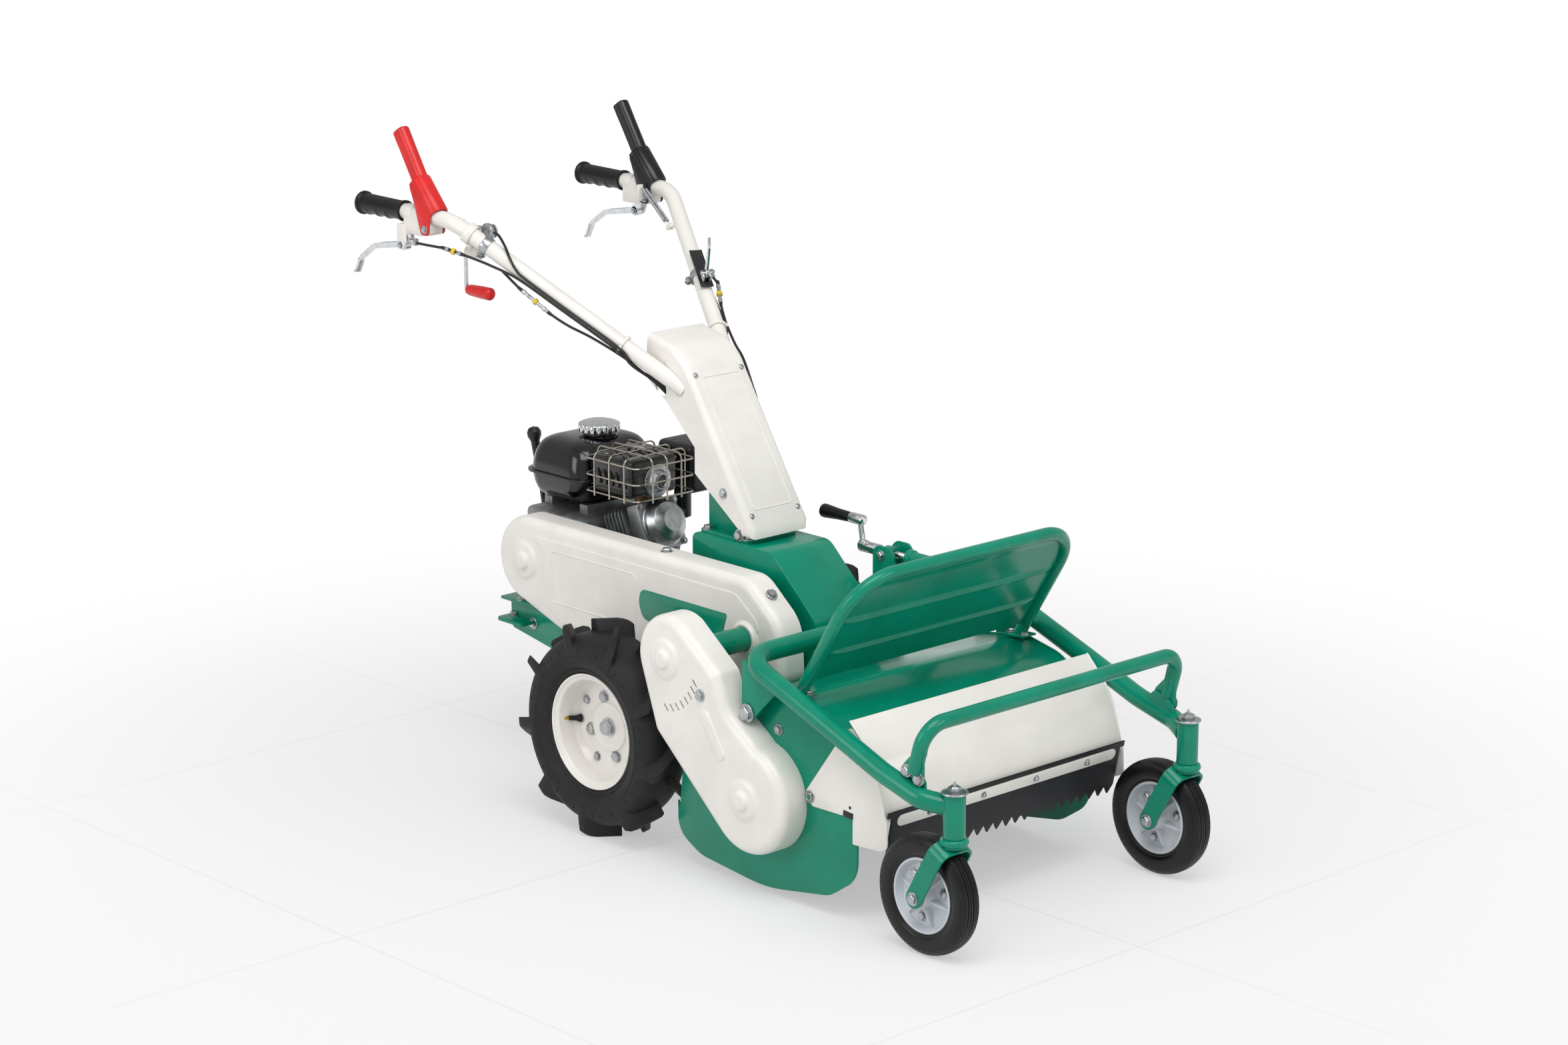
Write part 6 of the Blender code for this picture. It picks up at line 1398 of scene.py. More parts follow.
def makeLeverBracket(side):
    name = sideName(side)
    low, high = side * bracketX, side * (bracketX + 0.004)
    # a folded box hangs from the tube between the lever's cheeks; an ear carries the squeeze lever
    loop = rounded([(0.556, 1.027, 0.002), (0.5, 1.027, 0.002), (0.479, 1.015, 0.008),
                    (0.479, 0.996, 0.008), (0.506, 0.992, 0.006), (0.556, 0.992, 0.003)], step=10)
    ear = rounded([(0.5345, 1.011, 0.002), (0.559, 1.011, 0.002), (0.56, 0.968, 0.008),
                   (0.543, 0.964, 0.008), (0.5345, 0.98, 0.004)], step=10)
    parts = [slab(loop, side * (leverX - 0.015), side * (leverX + 0.015), edge=0.0018),
             collar(side, 0.545, 0.022, 0.016), slab(ear, low, high, edge=0.001),
             block((0.027, 0.022, 0.02), (side * (bracketX - 0.0115), 0.5455, 1.001), edge=0.002)]
    far = side * (leverX - 0.0255)
    if side > 0:
        far = 0.226
        parts.append(block((0.0125, 0.005, 0.03), (0.2256, 0.486, 1.019), edge=0.001))
    piece(f"folded_bracket_{name}", parts, white, f"lever_bracket_{name}", smooth=35, weld=False)
    pins = [barrel((far, *clutchAxis), (side * (leverX + 0.0195), *clutchAxis), 0.0044),
            barrel((side * (bracketX - 0.018), *squeezeAxis), (high, *squeezeAxis), 0.004)]
    piece(f"bracket_pins_{name}", pins, zinc, weld=False)
    inner, outer = side * (leverX - 0.0192), side * (leverX + 0.0192)
    fasteners(f"bracket_bolts_{name}", [
        ((outer, *clutchAxis), (side, 0, 0), 0.0058),
        ((inner, *clutchAxis), (-side, 0, 0), 0.0058),
        ((high, *squeezeAxis), (side, 0, 0), 0.0052),
        ((side * (bracketX - 0.0162), *squeezeAxis), (-side, 0, 0), 0.0046)])


def makeSqueezeLever(side):
    name = sideName(side)
    low, high = bracketX - 0.0148, bracketX - 0.001
    middle, half = side * (low + high) / 2, (high - low) / 2
    path = rounded([(0.532, 0.9865, 0), (0.56, 0.9705, 0.03), (0.64, 0.9585, 0.05),
                    (0.6825, 0.932, 0.02), (0.6965, 0.906, 0)], closed=False, step=6)
    rings = []
    for here, along, share in headings(path):
        up = Vector((-along.y, along.x))
        depth = 0.0115 - 0.0078 * share ** 1.6
        rings.append(channelRing(
            here - up * 0.0044, up, half - 0.0016 * (0.4 < share < 0.85), depth, 0.0024, 0.0013,
            middle))
    parts = [loft(rings),
             barrel((side * low, *squeezeAxis), (side * high, *squeezeAxis), 0.0094, 0.001, 32)]
    tip = Vector(path[-1])
    parts.append(barrel(
        (middle - half, tip.x, tip.y - 0.0006), (middle + half, tip.x, tip.y - 0.0006), 0.0026,
        0.0008, 20))
    piece(f"pressed_squeeze_lever_{name}", parts, chrome, f"squeeze_lever_{name}",
          body=f"squeeze_lever_{name}", smooth=40, weld=False)


def makeThrottle():
    y, z = throttleAxis
    profile = softened(
        [(0.0, 0.013), (0.0022, 0.013), (0.003, 0.012), (0.006, 0.0122), (0.0068, 0.0112),
         (0.0105, 0.0108), (0.0113, 0.0098), (0.014, 0.0084), (0.0157, 0.006), (0.016, 0.001),
         (0.0152, 0.0), (0.0, 0.0)], 0.0006, step=20)
    dome = lathe(profile, (-0.218, y, z), (1, 0, 0), 56)
    place = handleFrame(-1, 0.376)
    band = collar(-1, 0.376, 0.015, 0.0168)
    lugs = [block((0.011, 0.015, 0.0032), place @ Vector((0.0, 0.0, -0.019 - 0.0045 * k)),
                  edge=0.0008) for k in (0, 1)]
    neck = pathBar([(-0.218 + 0.002, y, z), place @ Vector((0, 0.004, 0.012))], 0.0068, 20)
    piece("throttle_dome", [dome, band, neck, *lugs], zinc, "throttle_housing", smooth=34,
          weld=False)
    fasteners("throttle_screw", [(place @ Vector((0.0, 0.0, -0.024)), (0, 0.57, -0.82), 0.0038)])
    loop = rounded([(y + 0.011, z + 0.0068, 0), (y + 0.055, z + 0.005, 0.03),
                    (y + 0.0955, z + 0.008, 0.003), (y + 0.0955, z + 0.0012, 0.003),
                    (y + 0.06, z - 0.0036, 0.03), (y + 0.011, z - 0.008, 0)], step=8)
    hub = turned(oblong(0.0, 0.0128, 0.0028, 0.0), 0.0006, (-0.2046, y, z), (1, 0, 0), 48)
    knob = barrel((-0.2046, y + 0.0915, z + 0.0042), (-0.1952, y + 0.0915, z + 0.0042), 0.0058,
                  0.0012, 28)
    piece("throttle_thumb_lever", [slab(loop, -0.2044, -0.202, edge=0.0008), hub, knob], chrome,
          "throttle_lever", body="throttle_lever", smooth=36, weld=False)


def makeLockCrank():
    seat = handleFrame(-1, 0.404).translation
    foot = Vector((crankX, 0.434, crankZ))
    bearing = turned(
        oblong(0.0052, 0.01, 0.402, 0.44), 0.0012, (crankX, 0, crankZ), (0, 1, 0), 36, closed=True)
    web = pathBar([foot, foot.lerp(seat, 0.72)], 0.005, 18)
    piece("lock_bearing", [bearing, web, collar(-1, 0.404, 0.014)], white, "lock_bracket",
          smooth=36, weld=False)
    path = rounded([(crankX, 0.4035, crankZ, 0), (crankX, 0.447, crankZ, 0.007),
                    (crankX, 0.447, crankZ - 0.07, 0.006), (crankX, 0.438, crankZ - 0.07, 0)],
                   closed=False, step=8)
    piece("lock_rod", [pathBar(path, 0.004, 24)], chrome, "lock_crank", body="lock_crank",
          smooth=40)
    profile = softened(
        [(0.0, 0.0688), (0.007, 0.0685), (0.0114, 0.064), (0.0113, 0.04), (0.01, 0.01),
         (0.0082, 0.0002), (0.0, 0.0002)], 0.004, step=8)
    piece("lock_knob", [lathe(profile, (crankX, 0.443, crankZ - 0.07), (0, -1, 0), 44)], redPaint,
          body="lock_crank")


def makeBrake():
    place = handleFrame(1, brakeY)
    along, up = brakePivot
    seat = block((0.024, 0.098, 0.0036), (0, 0, 0.0205), edge=0.0014, place=place)
    ridge = [block((0.003, 0.098, 0.0016), (x, 0, 0.0218), edge=0.0006, place=place)
             for x in (-0.01, 0.01)]
    piece("brake_seat", [seat, *ridge], blackPlastic, "brake_bracket", weld=False)
    parts = [collar(1, brakeY, 0.014, 0.0182)]
    for x in (-0.0062, 0.0062):
        ear = rounded([(along - 0.011, 0.0185, 0), (along - 0.011, up + 0.002, 0.008),
                       (along + 0.011, up + 0.002, 0.008), (along + 0.011, 0.0185, 0)], step=12)
        parts.append(slab(ear, x - 0.0018, x + 0.0018, "yz", 0.0005, place))
    parts.append(moved(barrel((-0.01, along, up), (0.01, along, up), 0.0038), place))
    # two clamp lugs with their bolts, one on top beside the seat and one below
    for x, z in ((0.019, 0.008), (-0.019, -0.008)):
        parts.append(block((0.0105, 0.013, 0.007), (x, 0, z), (0, 0.2, 0), 0.0012, place))
    piece("brake_clamp", parts, zinc, smooth=34, weld=False)
    spots = [(place @ Vector((x, 0.0, z)), place.to_3x3() @ Vector((0, 0, d)), 0.0046)
             for x, z, d in ((0.0205, 0.0118, 1), (-0.0205, -0.0118, -1), (0.0205, 0.0042, -1),
                             (-0.0205, -0.0042, 1))]
    fasteners("brake_bolts", spots)
    # the lever: a chromed channel that sweeps up and grows shallower towards its tip
    path = rounded([(along - 0.001, up + 0.002, 0), (along + 0.003, up + 0.03, 0.04),
                    (along + 0.0085, up + 0.056, 0.03), (along + 0.0175, up + 0.0695, 0)],
                   closed=False, step=6)
    rings = []
    for here, run, share in headings(path):
        out = Vector((run.y, -run.x))
        reach = 0.008 - 0.0055 * share
        ring = channelRing(here - out * reach * 0.5, out, 0.0029, reach, 0.0016, 0.0009, 0.0)
        rings.append([place @ Vector(point) for point in ring])
    hub = moved(barrel((-0.0029, along, up), (0.0029, along, up), 0.0096, 0.0006, 32), place)
    piece("brake_handle", [loft(rings), hub], chrome, "parking_brake_lever",
          body="parking_brake_lever", smooth=36, weld=False)


makeHandlebar()
for side in (-1, 1):
    makeGrip(side)
    makeClutchLever(side)
    makeLeverBracket(side)
    makeSqueezeLever(side)
makeThrottle()
makeLockCrank()
makeBrake()
print("handles and controls made")


# ---- engine, tank, exhaust, intake, starter ----
engineX, cylinderHead = 0.02, (0.165, 0.485)
capPlace, recoilX, recoilPull = (0.03, 0.38), 0.132, (0.766, 0.643)
engine = {"fins": 6, "finPitch": 0.0102, "finThick": 0.0026, "cageWire": 0.0016, "capFlutes": 18,
          "cowlSlots": 20, "lidLouvres": 6, "sideLouvres": 5}


def alongCylinder(distance):
    start, end = Vector(crankshaftAxis), Vector(cylinderHead)
    return start + (end - start).normalized() * distance


def makeBlock():
    slope = Vector(cylinderHead) - Vector(crankshaftAxis)
    tilt = math.atan2(-slope.y, -slope.x)
    foot = block((0.19, 0.18, 0.034), (0.018, 0.39, 0.3118), edge=0.003)
    case = block((0.19, 0.165, 0.15), (0.018, 0.385, 0.4), edge=0.011)
    lid = block((0.006, 0.13, 0.12), (-0.0775, 0.385, 0.4), edge=0.0025)
    parts = [foot, case, lid]
    # cooling fins with rounded corners, one copy repeated along the cylinder
    fin = slab(roundedBox(-0.049, 0.049, -0.047, 0.047, 0.012, 18), 0.0, engine["finThick"], "xy",
               0.0005)
    frameTurn = Matrix.Translation((engineX, *alongCylinder(0.0988))) \
        @ Matrix.Rotation(tilt, 4, "X") @ Matrix.Rotation(math.radians(90), 4, "X")
    parts.append(rowOf(fin, engine["fins"], (0, 0, engine["finPitch"]), frameTurn))
    parts += [barrel(
        (engineX, *alongCylinder(0.06)), (engineX, *alongCylinder(0.18)), 0.036, 0.001, 40),
              block((0.096, 0.034, 0.09), (engineX, *alongCylinder(0.18)), (tilt, 0, 0), 0.006),
              barrel((-0.088, *crankshaftAxis), (-0.07, *crankshaftAxis), 0.0108, 0.001, 32)]
    parts += [block((0.12, 0.022, 0.02), (engineX, y, 0.4805), edge=0.002) for y in (0.345, 0.445)]
    # spark plug and its socket stand beside the rocker cover
    plug = Vector((engineX + 0.03, *alongCylinder(0.185)))
    parts.append(barrel(plug, plug + Vector((0.0, -0.002, 0.028)), 0.0072, 0.001, 6))
    piece("engine_casting", parts, castAlloy, "engine_block", smooth=30, weld=False)
    profile = softened(
        [(0.0, 0.0335), (0.02, 0.032), (0.0355, 0.024), (0.0435, 0.01), (0.044, 0.003),
         (0.0458, 0.0022), (0.0458, 0.0002), (0.0, 0.0002)], 0.004, step=8)
    dome = lathe(profile, (engineX, *alongCylinder(0.197)), (0, *slope), 56)
    piece("rocker_dome", [dome], zinc)
    away = Vector((0, *slope)).normalized()
    base = Vector((engineX, *alongCylinder(0.1972)))
    up = away.cross(Vector((1, 0, 0)))
    spots = [(base + Vector((1, 0, 0)) * dx * 0.041 + up * dz * 0.039, away, 0.005)
             for dx in (-1, 1) for dz in (-1, 1)]
    spots += [((-0.0806, 0.385 + 0.055 * dy, 0.4 + 0.05 * dz), (-1, 0, 0), 0.0055)
              for dy in (-1, 1) for dz in (-1, 1)]
    fasteners("engine_bolts", spots)
    # the exhaust pipe and its flange, browned by heat
    pipe = pathBar(rounded([(0.0, 0.2275, 0.49, 0), (0.0, 0.2275, 0.5277, 0)], closed=False),
                   0.013, 28)
    flange = turned(oblong(0.0, 0.0215, 0.003, -0.003), 0.0008, (0.0, 0.2275, 0.4945), (0, 0, 1),
                    32)
    piece("exhaust_pipe", [pipe, flange], heatTint, smooth=40)


def makeTank():
    levels = [(0.4908, 0.04, 0.02), (0.4925, 0.028, 0.024), (0.496, 0.02, 0.026),
              (0.5, 0.014, 0.03), (0.508, 0.009, 0.033), (0.52, 0.005, 0.035),
              (0.5385, 0.002, 0.036), (0.5388, -0.0042, 0.04), (0.5392, -0.005, 0.04),
              (0.5426, -0.005, 0.04), (0.5432, -0.0042, 0.04), (0.5435, 0.002, 0.036),
              (0.56, 0.0035, 0.036), (0.575, 0.007, 0.036), (0.584, 0.01, 0.036),
              (0.592, 0.015, 0.034), (0.598, 0.0205, 0.032), (0.602, 0.0275, 0.029),
              (0.6048, 0.036, 0.025), (0.6066, 0.046, 0.02)]
    left, right, front, back = -0.07, 0.125, 0.316, 0.48
    body = loft([[(*p, level) for p in roundedBox(
        left + edge, right - edge, front + edge, back - edge, radius, 7.5)]
                 for level, edge, radius in levels])
    neck = turned([(0.0, 0.6128), (0.029, 0.6128), (0.03, 0.6118), (0.03, 0.608), (0.0345, 0.606),
                   (0.0345, 0.603), (0.0, 0.603)], 0.0012, (*capPlace, 0), (0, 0, 1), 48)
    piece("pressed_tank", [body, neck], tankBlack, "fuel_tank", smooth=32, weld=False)
    # two bolted tabs hold the seam to the engine
    parts = [block((0.03, 0.012, 0.0028), (x, 0.3135, 0.5374), edge=0.0008)
             for x in (-0.03, 0.085)]
    piece("tank_tabs", parts, tankBlack)
    fasteners("tank_bolts", [((x, 0.3125, 0.539), (0, 0, 1), 0.005) for x in (-0.03, 0.085)])


def makeCap():
    rings = []
    count = engine["capFlutes"] * 6
    for level, radius, depth in (
            (0.6134, 0.0378, 0.0016), (0.6142, 0.039, 0.0026), (0.625, 0.039, 0.0026),
            (0.6272, 0.038, 0.0018), (0.6284, 0.036, 0.0), (0.629, 0.033, 0.0), (0.63, 0.032, 0.0),
            (0.6308, 0.029, 0.0)):
        ring = []
        for index in range(count):
            angle = 2 * math.pi * index / count
            reach = radius - depth * max(0.0, math.cos(engine["capFlutes"] * angle)) ** 2
            ring.append((*spoke(capPlace, reach, angle), level))
        rings.append(ring)
    piece("fluted_cap", [loft(rings)], chrome, "fuel_cap", body="fuel_cap", smooth=36)


def makeMuffler():
    body = block((0.112, 0.104, 0.07), (0.0, 0.2455, 0.563), edge=0.009, segments=4)
    seam = slab(roundedBox(-0.058, 0.058, 0.1905, 0.3005, 0.012, 9), 0.5882, 0.5918, "xy", 0.0006)
    parts = [body, seam]
    # pressed louvres: slanted on the lid, upright on both sides
    lip = softened([(-0.015, 0.0), (-0.011, 0.0034), (0.011, 0.0034), (0.015, 0.0)], 0.003)
    bump = slab([(x, z - 0.0004) for x, z in lip] + [(0.015, -0.0006), (-0.015, -0.0006)], -0.003,
                0.003, "xz", 0.0016)
    for row in (-0.016, 0.018):
        for step in range(engine["lidLouvres"]):
            place = Matrix.Translation((-0.038 + 0.015 * step, 0.2455 + row, 0.598)) \
                @ Matrix.Rotation(math.radians(62), 4, "Z")
            parts.append(moved(bump.copy(), place))
    for side in (-1, 1):
        for step in range(engine["sideLouvres"]):
            place = Matrix.Translation((side * 0.056, 0.211 + 0.017 * step, 0.56)) \
                @ Matrix.Rotation(side * math.radians(90), 4, "Y") \
                @ Matrix.Rotation(math.radians(20), 4, "Z")
            parts.append(moved(bump.copy(), place))
    bpy.data.meshes.remove(bump)
    piece("louvred_muffler", parts, stoveBlack, "muffler", smooth=30, weld=False)
    disc = turned([(0.0, 0.0105), (0.0105, 0.0105), (0.0125, 0.015), (0.0168, 0.0142),
                   (0.0215, 0.0032), (0.0308, 0.0026), (0.0308, -0.0008), (0.0, -0.0008)], 0.0012,
                  (0.007, 0.193, 0.555), (0, -1, 0), 56)
    piece("outlet_disc", [disc], zinc)
    # painted shade: thin black discs stand for the dark holes round the outlet and its mouth, then
    # the screws of the lid
    holes = []
    for x, z in [spoke((0.007, 0.555), 0.0262, a) for a in fan(15, 30, 12)]:
        holes.append(barrel((x, 0.1906, z), (x, 0.1901, z), 0.0019, 0.0001, 12))
    holes.append(barrel((0.007, 0.1822, 0.555), (0.007, 0.1818, 0.555), 0.01, 0.0001, 32))
    piece("outlet_holes", holes, stoveBlack)
    fasteners("muffler_screws", [
        ((side * 0.04, 0.211 + 0.066 * turn, 0.5982), (0, 0, 1), 0.0042) for side in (-1, 1)
        for turn in (0, 1)], source=screwHead)


def makeCage():
    wire = engine["cageWire"]
    (x0, y0), (x1, y1) = (-0.07, 0.16), (0.07, 0.306)
    parts = []
    for level in (0.532, 0.562, 0.592):
        ring = roundedBox(x0, x1, y0, y1, 0.014, 10)
        parts.append(pathBar([(*p, level) for p in ring], wire, 12, closed=True))
    # wires over the top, first across and then lengthways, outside the rings
    out = 0.0021
    over = [((x0 - out, y), (x1 + out, y), 0.6055) for y in (0.192, 0.233, 0.274)]
    over += [((x, y0 - out), (x, y1 + out), 0.6074) for x in (-0.034, 0.0, 0.034)]
    for start, end, top in over:
        path = [(*start, 0.526, 0), (*start, top, 0.012), (*end, top, 0.012), (*end, 0.526, 0)]
        parts.append(pathBar(rounded(path, closed=False, step=10), wire, 12))
    parts += [block((0.0137, 0.01, 0.003), (side * 0.0632, 0.245, 0.562), edge=0.0006)
              for side in (-1, 1)]
    piece("wire_cage", parts, stainless, "muffler_guard", smooth=40, weld=False)
    # the small bracket on top that ties the cage to the lid
    strap = [block((0.02, 0.046, 0.002), (0.022, 0.268, 0.604), (0, 0, 0.3), 0.0006)]
    piece("cage_strap", strap, zinc)
    fasteners("cage_bolts", [
        ((0.0275, 0.252, 0.6051), (0, 0, 1), 0.004), ((0.0175, 0.283, 0.6051), (0, 0, 1), 0.004)])


def makeIntake():
    box = block((0.078, 0.096, 0.09), (0.136, 0.25, 0.556), edge=0.0105, segments=4)
    seam = slab(roundedBox(0.0975, 0.1745, 0.2025, 0.2975, 0.011, 9), 0.536, 0.538, "xy", 0.0005)
    parts = [box, seam, barrel((0.118, 0.25, 0.52), (0.118, 0.25, 0.46), 0.0158, 0.001, 32),
             barrel((engineX + 0.0497, 0.25, 0.47), (0.125, 0.25, 0.47), 0.0148, 0.001, 32)]
    # two ribs across the lid
    parts += [block((0.05, 0.004, 0.0016), (0.136, 0.25 + y, 0.6004), edge=0.0005)
              for y in (-0.02, 0.02)]
    piece("filter_box", parts, blackPlastic, "air_cleaner", smooth=32, weld=False)


def makeStarter():
    place = facing((0, *crankshaftAxis), (1, 0, 0))
    profile = softened(
        [(0.0, 0.1722), (0.018, 0.1722), (0.019, 0.1738), (0.05, 0.1738), (0.0735, 0.1618),
         (0.0845, 0.142), (0.0868, 0.124), (0.0868, 0.1134), (0.0, 0.1134)], 0.004, step=10)
    cutters = []
    for index in range(engine["cowlSlots"]):
        for size, reach, level, lag in (
                ((0.017, 0.005, 0.05), 0.036, 0.185, 0.0),
                ((0.03, 0.005, 0.013), 0.085, 0.127, 0.08)):
            angle = 2 * math.pi * index / engine["cowlSlots"] + lag
            cutters.append(block(size, (*spoke((0, 0), reach, angle), level), (0, 0, angle), 0.0))
    mesh = cutBy(lathe(profile, (0, 0, 0), (0, 0, 1), 72), [meshOf(joined(cutters))])
    piece("starter_cowl", [moved(mesh, place)], blackPlastic, "recoil_housing", smooth=32)
    fasteners("cowl_screws", [
        (place @ Vector((*spoke((0, 0), 0.08, a), 0.142)), (1, 0, 0), 0.005)
        for a in fan(20, 120, 3)])
    away = Vector(recoilPull)
    stem, grip = Vector(crankshaftAxis) + away * 0.0874, Vector(crankshaftAxis) + away * 0.106
    profile = softened(
        [(0.0, -0.0165), (0.0062, -0.0168), (0.0078, -0.012), (0.0066, 0.003), (0.0078, 0.018),
         (0.0062, 0.0226), (0.0, 0.0222)], 0.004, step=10)
    bar = lathe(profile, (recoilX, *grip), (1, 0, 0), 40)
    neck = barrel((recoilX, *stem), (recoilX, *grip), 0.0048, 0.001, 24)
    piece("pull_handle", [bar, neck], gripRubber, "recoil_handle", body="recoil_handle",
          weld=False)


def makeGearLever():
    # black knob and tapered boot on a steel rod
    profile = softened(
        [(0.0, 0.2968), (0.0088, 0.2945), (0.0133, 0.287), (0.0131, 0.279), (0.0084, 0.269),
         (0.0068, 0.225), (0.005, 0.2205), (0.005, 0.2), (0.0, 0.2)], 0.003, step=8)
    knob = lathe(profile, (engineX, 0.5, 0.3015), (0, 0.2, 0.98), 40)
    piece("gear_knob", [knob], blackPlastic, "shift_lever", body="shift_lever")
    profile = softened(
        [(0.0, 0.201), (0.0048, 0.201), (0.0058, 0.0), (0.0042, -0.0042), (0.0, -0.006)], 0.001)
    piece("gear_rod", [lathe(profile, (engineX, 0.5, 0.3015), (0, 0.2, 0.98), 32)], darkSteel,
          body="shift_lever")


makeBlock()
makeTank()
makeCap()
makeMuffler()
makeCage()
makeIntake()
makeStarter()
makeGearLever()
print("engine made")


# ---- control cables and return springs ----
cableSizes = {"radius": 0.0024, "reach": 0.0186, "barrel": 0.0042, "tieY": 0.1446}
springs = {"top": (0.2265, 0.4815, 1.0276), "foot": (0.2025, 0.3875, 0.9767), "wire": 0.00042,
           "radius": 0.0027, "step": (0.0045, -0.0042, 0.0)}


def smoothRoute(route, spacing):
    # points about a spacing apart on a smooth curve through the route
    route = [Vector(point) for point in route]
    ends = [route[0] * 2 - route[1], *route, route[-1] * 2 - route[-2]]
    path = []
    for before, start, end, after in zip(ends, ends[1:], ends[2:], ends[3:]):
        pieces = max(1, round((end - start).length / spacing))
        for k in range(pieces):
            t = k / pieces
            path.append(0.5 * (
                2 * start + (end - before) * t
                + (2 * before - 5 * start + 4 * end - after) * t ** 2
                + (3 * start - before - 3 * end + after) * t ** 3))
    return path + [route[-1]]


def besideHandle(side, y, angle, reach=None):
    # angles start on the outer side of the tube and run upwards
    turn = math.radians(angle)
    reach = reach or cableSizes["reach"]
    return handleFrame(side, y) \
        @ Vector((side * reach * math.cos(turn), 0, reach * math.sin(turn)))


def behindCover(side, order):
    aside = Vector((0.0, 0.8, -0.6)) * (0.0062 * order)
    return [Vector(place) + aside
            for place in ((side * 0.057, 0.088, 0.744), (side * 0.043, 0.035, 0.685))]


def cord(route):
    return pathBar(smoothRoute(route, 0.006), cableSizes["radius"], 14)


def adjuster(start, end):
    # threaded barrel with hexagon ends, a marker ring and a black boot
    start, end = Vector(start), Vector(end)
    run = end - start
    length, r = run.length, cableSizes["barrel"]
    body = turned(oblong(0.0, 0.0032, 0.0, length), 0.0004, start, run, 24)
    hexes = [turned(oblong(0.0, r, 0.0, size), 0.0004, start.lerp(end, share), run, 6)
             for share, size in ((0.02, 0.006), (0.8, 0.006))]
    thread = [lathe([(0.003, 0.0), (0.0037, 0.0004), (0.003, 0.0008)],
                    start.lerp(end, 0.22) + run.normalized() * 0.001 * k, run, 16)
              for k in range(7)]
    middle = start.lerp(end, 0.52)
    ring = turned(oblong(0.0031, 0.0058, -0.0032, 0.0032), 0.001, middle, run, 32, closed=True)
    boot = [turned([(0.0, 0.0), (0.0035, 0.0), (0.0027, 0.01), (0.0, 0.01)], 0.0006, start, -run,
                   24), turned([(0.0, 0.0), (0.0035, 0.0), (0.0027, 0.008), (0.0, 0.008)], 0.0006,
                               end, run, 24)]
    return [body, *hexes, *thread], ring, boot


def tieBand(side, y):
    place = handleFrame(side, y)
    profile = softened(
        [(0.0189, 0.0024), (0.0189, -0.0024), (0.015, -0.0024), (0.015, 0.0024)], 0.0006)
    band = lathe(profile, place.translation, place.col[1][:3], 40, closed=True)
    head = block((0.0048, 0.0058, 0.0036), (side * 0.0166, 0.0, 0.0078), (0, side * -0.45, 0),
                 0.0006, place)
    return [band, head]


def makeCables(side, cords, adjusters, stop):
    name = sideName(side)
    barrels, rings, boots = [], [], []
    for start, end in adjusters:
        metal, ring, boot = adjuster(start, end)
        barrels += metal
        rings.append(ring)
        boots += boot
    piece(f"cable_cords_{name}", [cord(route) for route in cords] + boots, sheath,
          f"{name}_cables", smooth=45, weld=False)
    piece(f"adjusters_{name}", barrels + [stop], zinc, smooth=32, weld=False)
    piece(f"marker_rings_{name}", rings, yellowPlastic)
    piece(f"cable_tie_{name}", tieBand(side, cableSizes["tieY"]), white, weld=False)


def rightRoutes():
    def at(y, angle, reach=None):
        return besideHandle(-1, y, angle, reach)
    tie = cableSizes["tieY"]
    clutch = [(-0.274, 0.518, 0.979), (-0.2721, 0.49, 0.9785), (-0.2708, 0.4372, 0.9784),
              (-0.2593, 0.4078, 0.9712), at(0.3797, -67.6, 0.0317), at(0.3552, -67, 0.024),
              at(0.3111, -30), at(0.24, -25), at(tie, -25), at(0.118, -78, 0.02),
              *behindCover(-1, 0)]
    throttle = [(-0.211, 0.3704, 1.008), (-0.211, 0.359, 1.003), at(0.35, 78, 0.0195),
                at(0.336, 40, 0.019), at(0.318, 6), at(0.3, -2), at(0.24, -4), at(tie, -5),
                at(0.118, -58, 0.02), *behindCover(-1, -1)]
    blade = [at(0.339, -67.5, 0.0195), at(0.3107, -67.5, 0.0255), at(0.3002, -67.5, 0.0269),
             at(0.2547, -67.5, 0.0307), at(0.2219, -67.5, 0.0291), at(0.1875, -66, 0.0221),
             at(tie, -46), at(0.118, -98, 0.02), *behindCover(-1, 1)]
    return [clutch, throttle, blade], [
        ((-0.2708, 0.4372, 0.9784), (-0.2593, 0.4078, 0.9712)),
        (at(0.3002, -67.5, 0.0269), at(0.2547, -67.5, 0.0307))]


def leftRoutes():
    def at(y, angle, reach=None):
        return besideHandle(1, y, angle, reach)
    tie = cableSizes["tieY"]
    brake = [at(0.2379, 41, 0.0227), at(0.2235, 22, 0.0268), at(0.19, 21, 0.0207), at(0.165, 14),
             at(tie, 12), (0.105, 0.0915, 0.806), (0.088, 0.052, 0.7885), (0.075, 0.015, 0.75),
             (0.0738, -0.007, 0.7), (0.0738, -0.07, 0.49)]
    travel = [at(0.339, -67.5, 0.0195), at(0.3, -62, 0.0215), at(0.27, -56, 0.0232),
              at(0.235, -42, 0.0232), at(0.2, -24, 0.0195), at(0.165, -15), at(tie, -14),
              at(0.112, -72, 0.02), *behindCover(1, 0)]
    return [brake, travel], [(at(0.2235, 22, 0.0268), at(0.19, 21, 0.0207))]


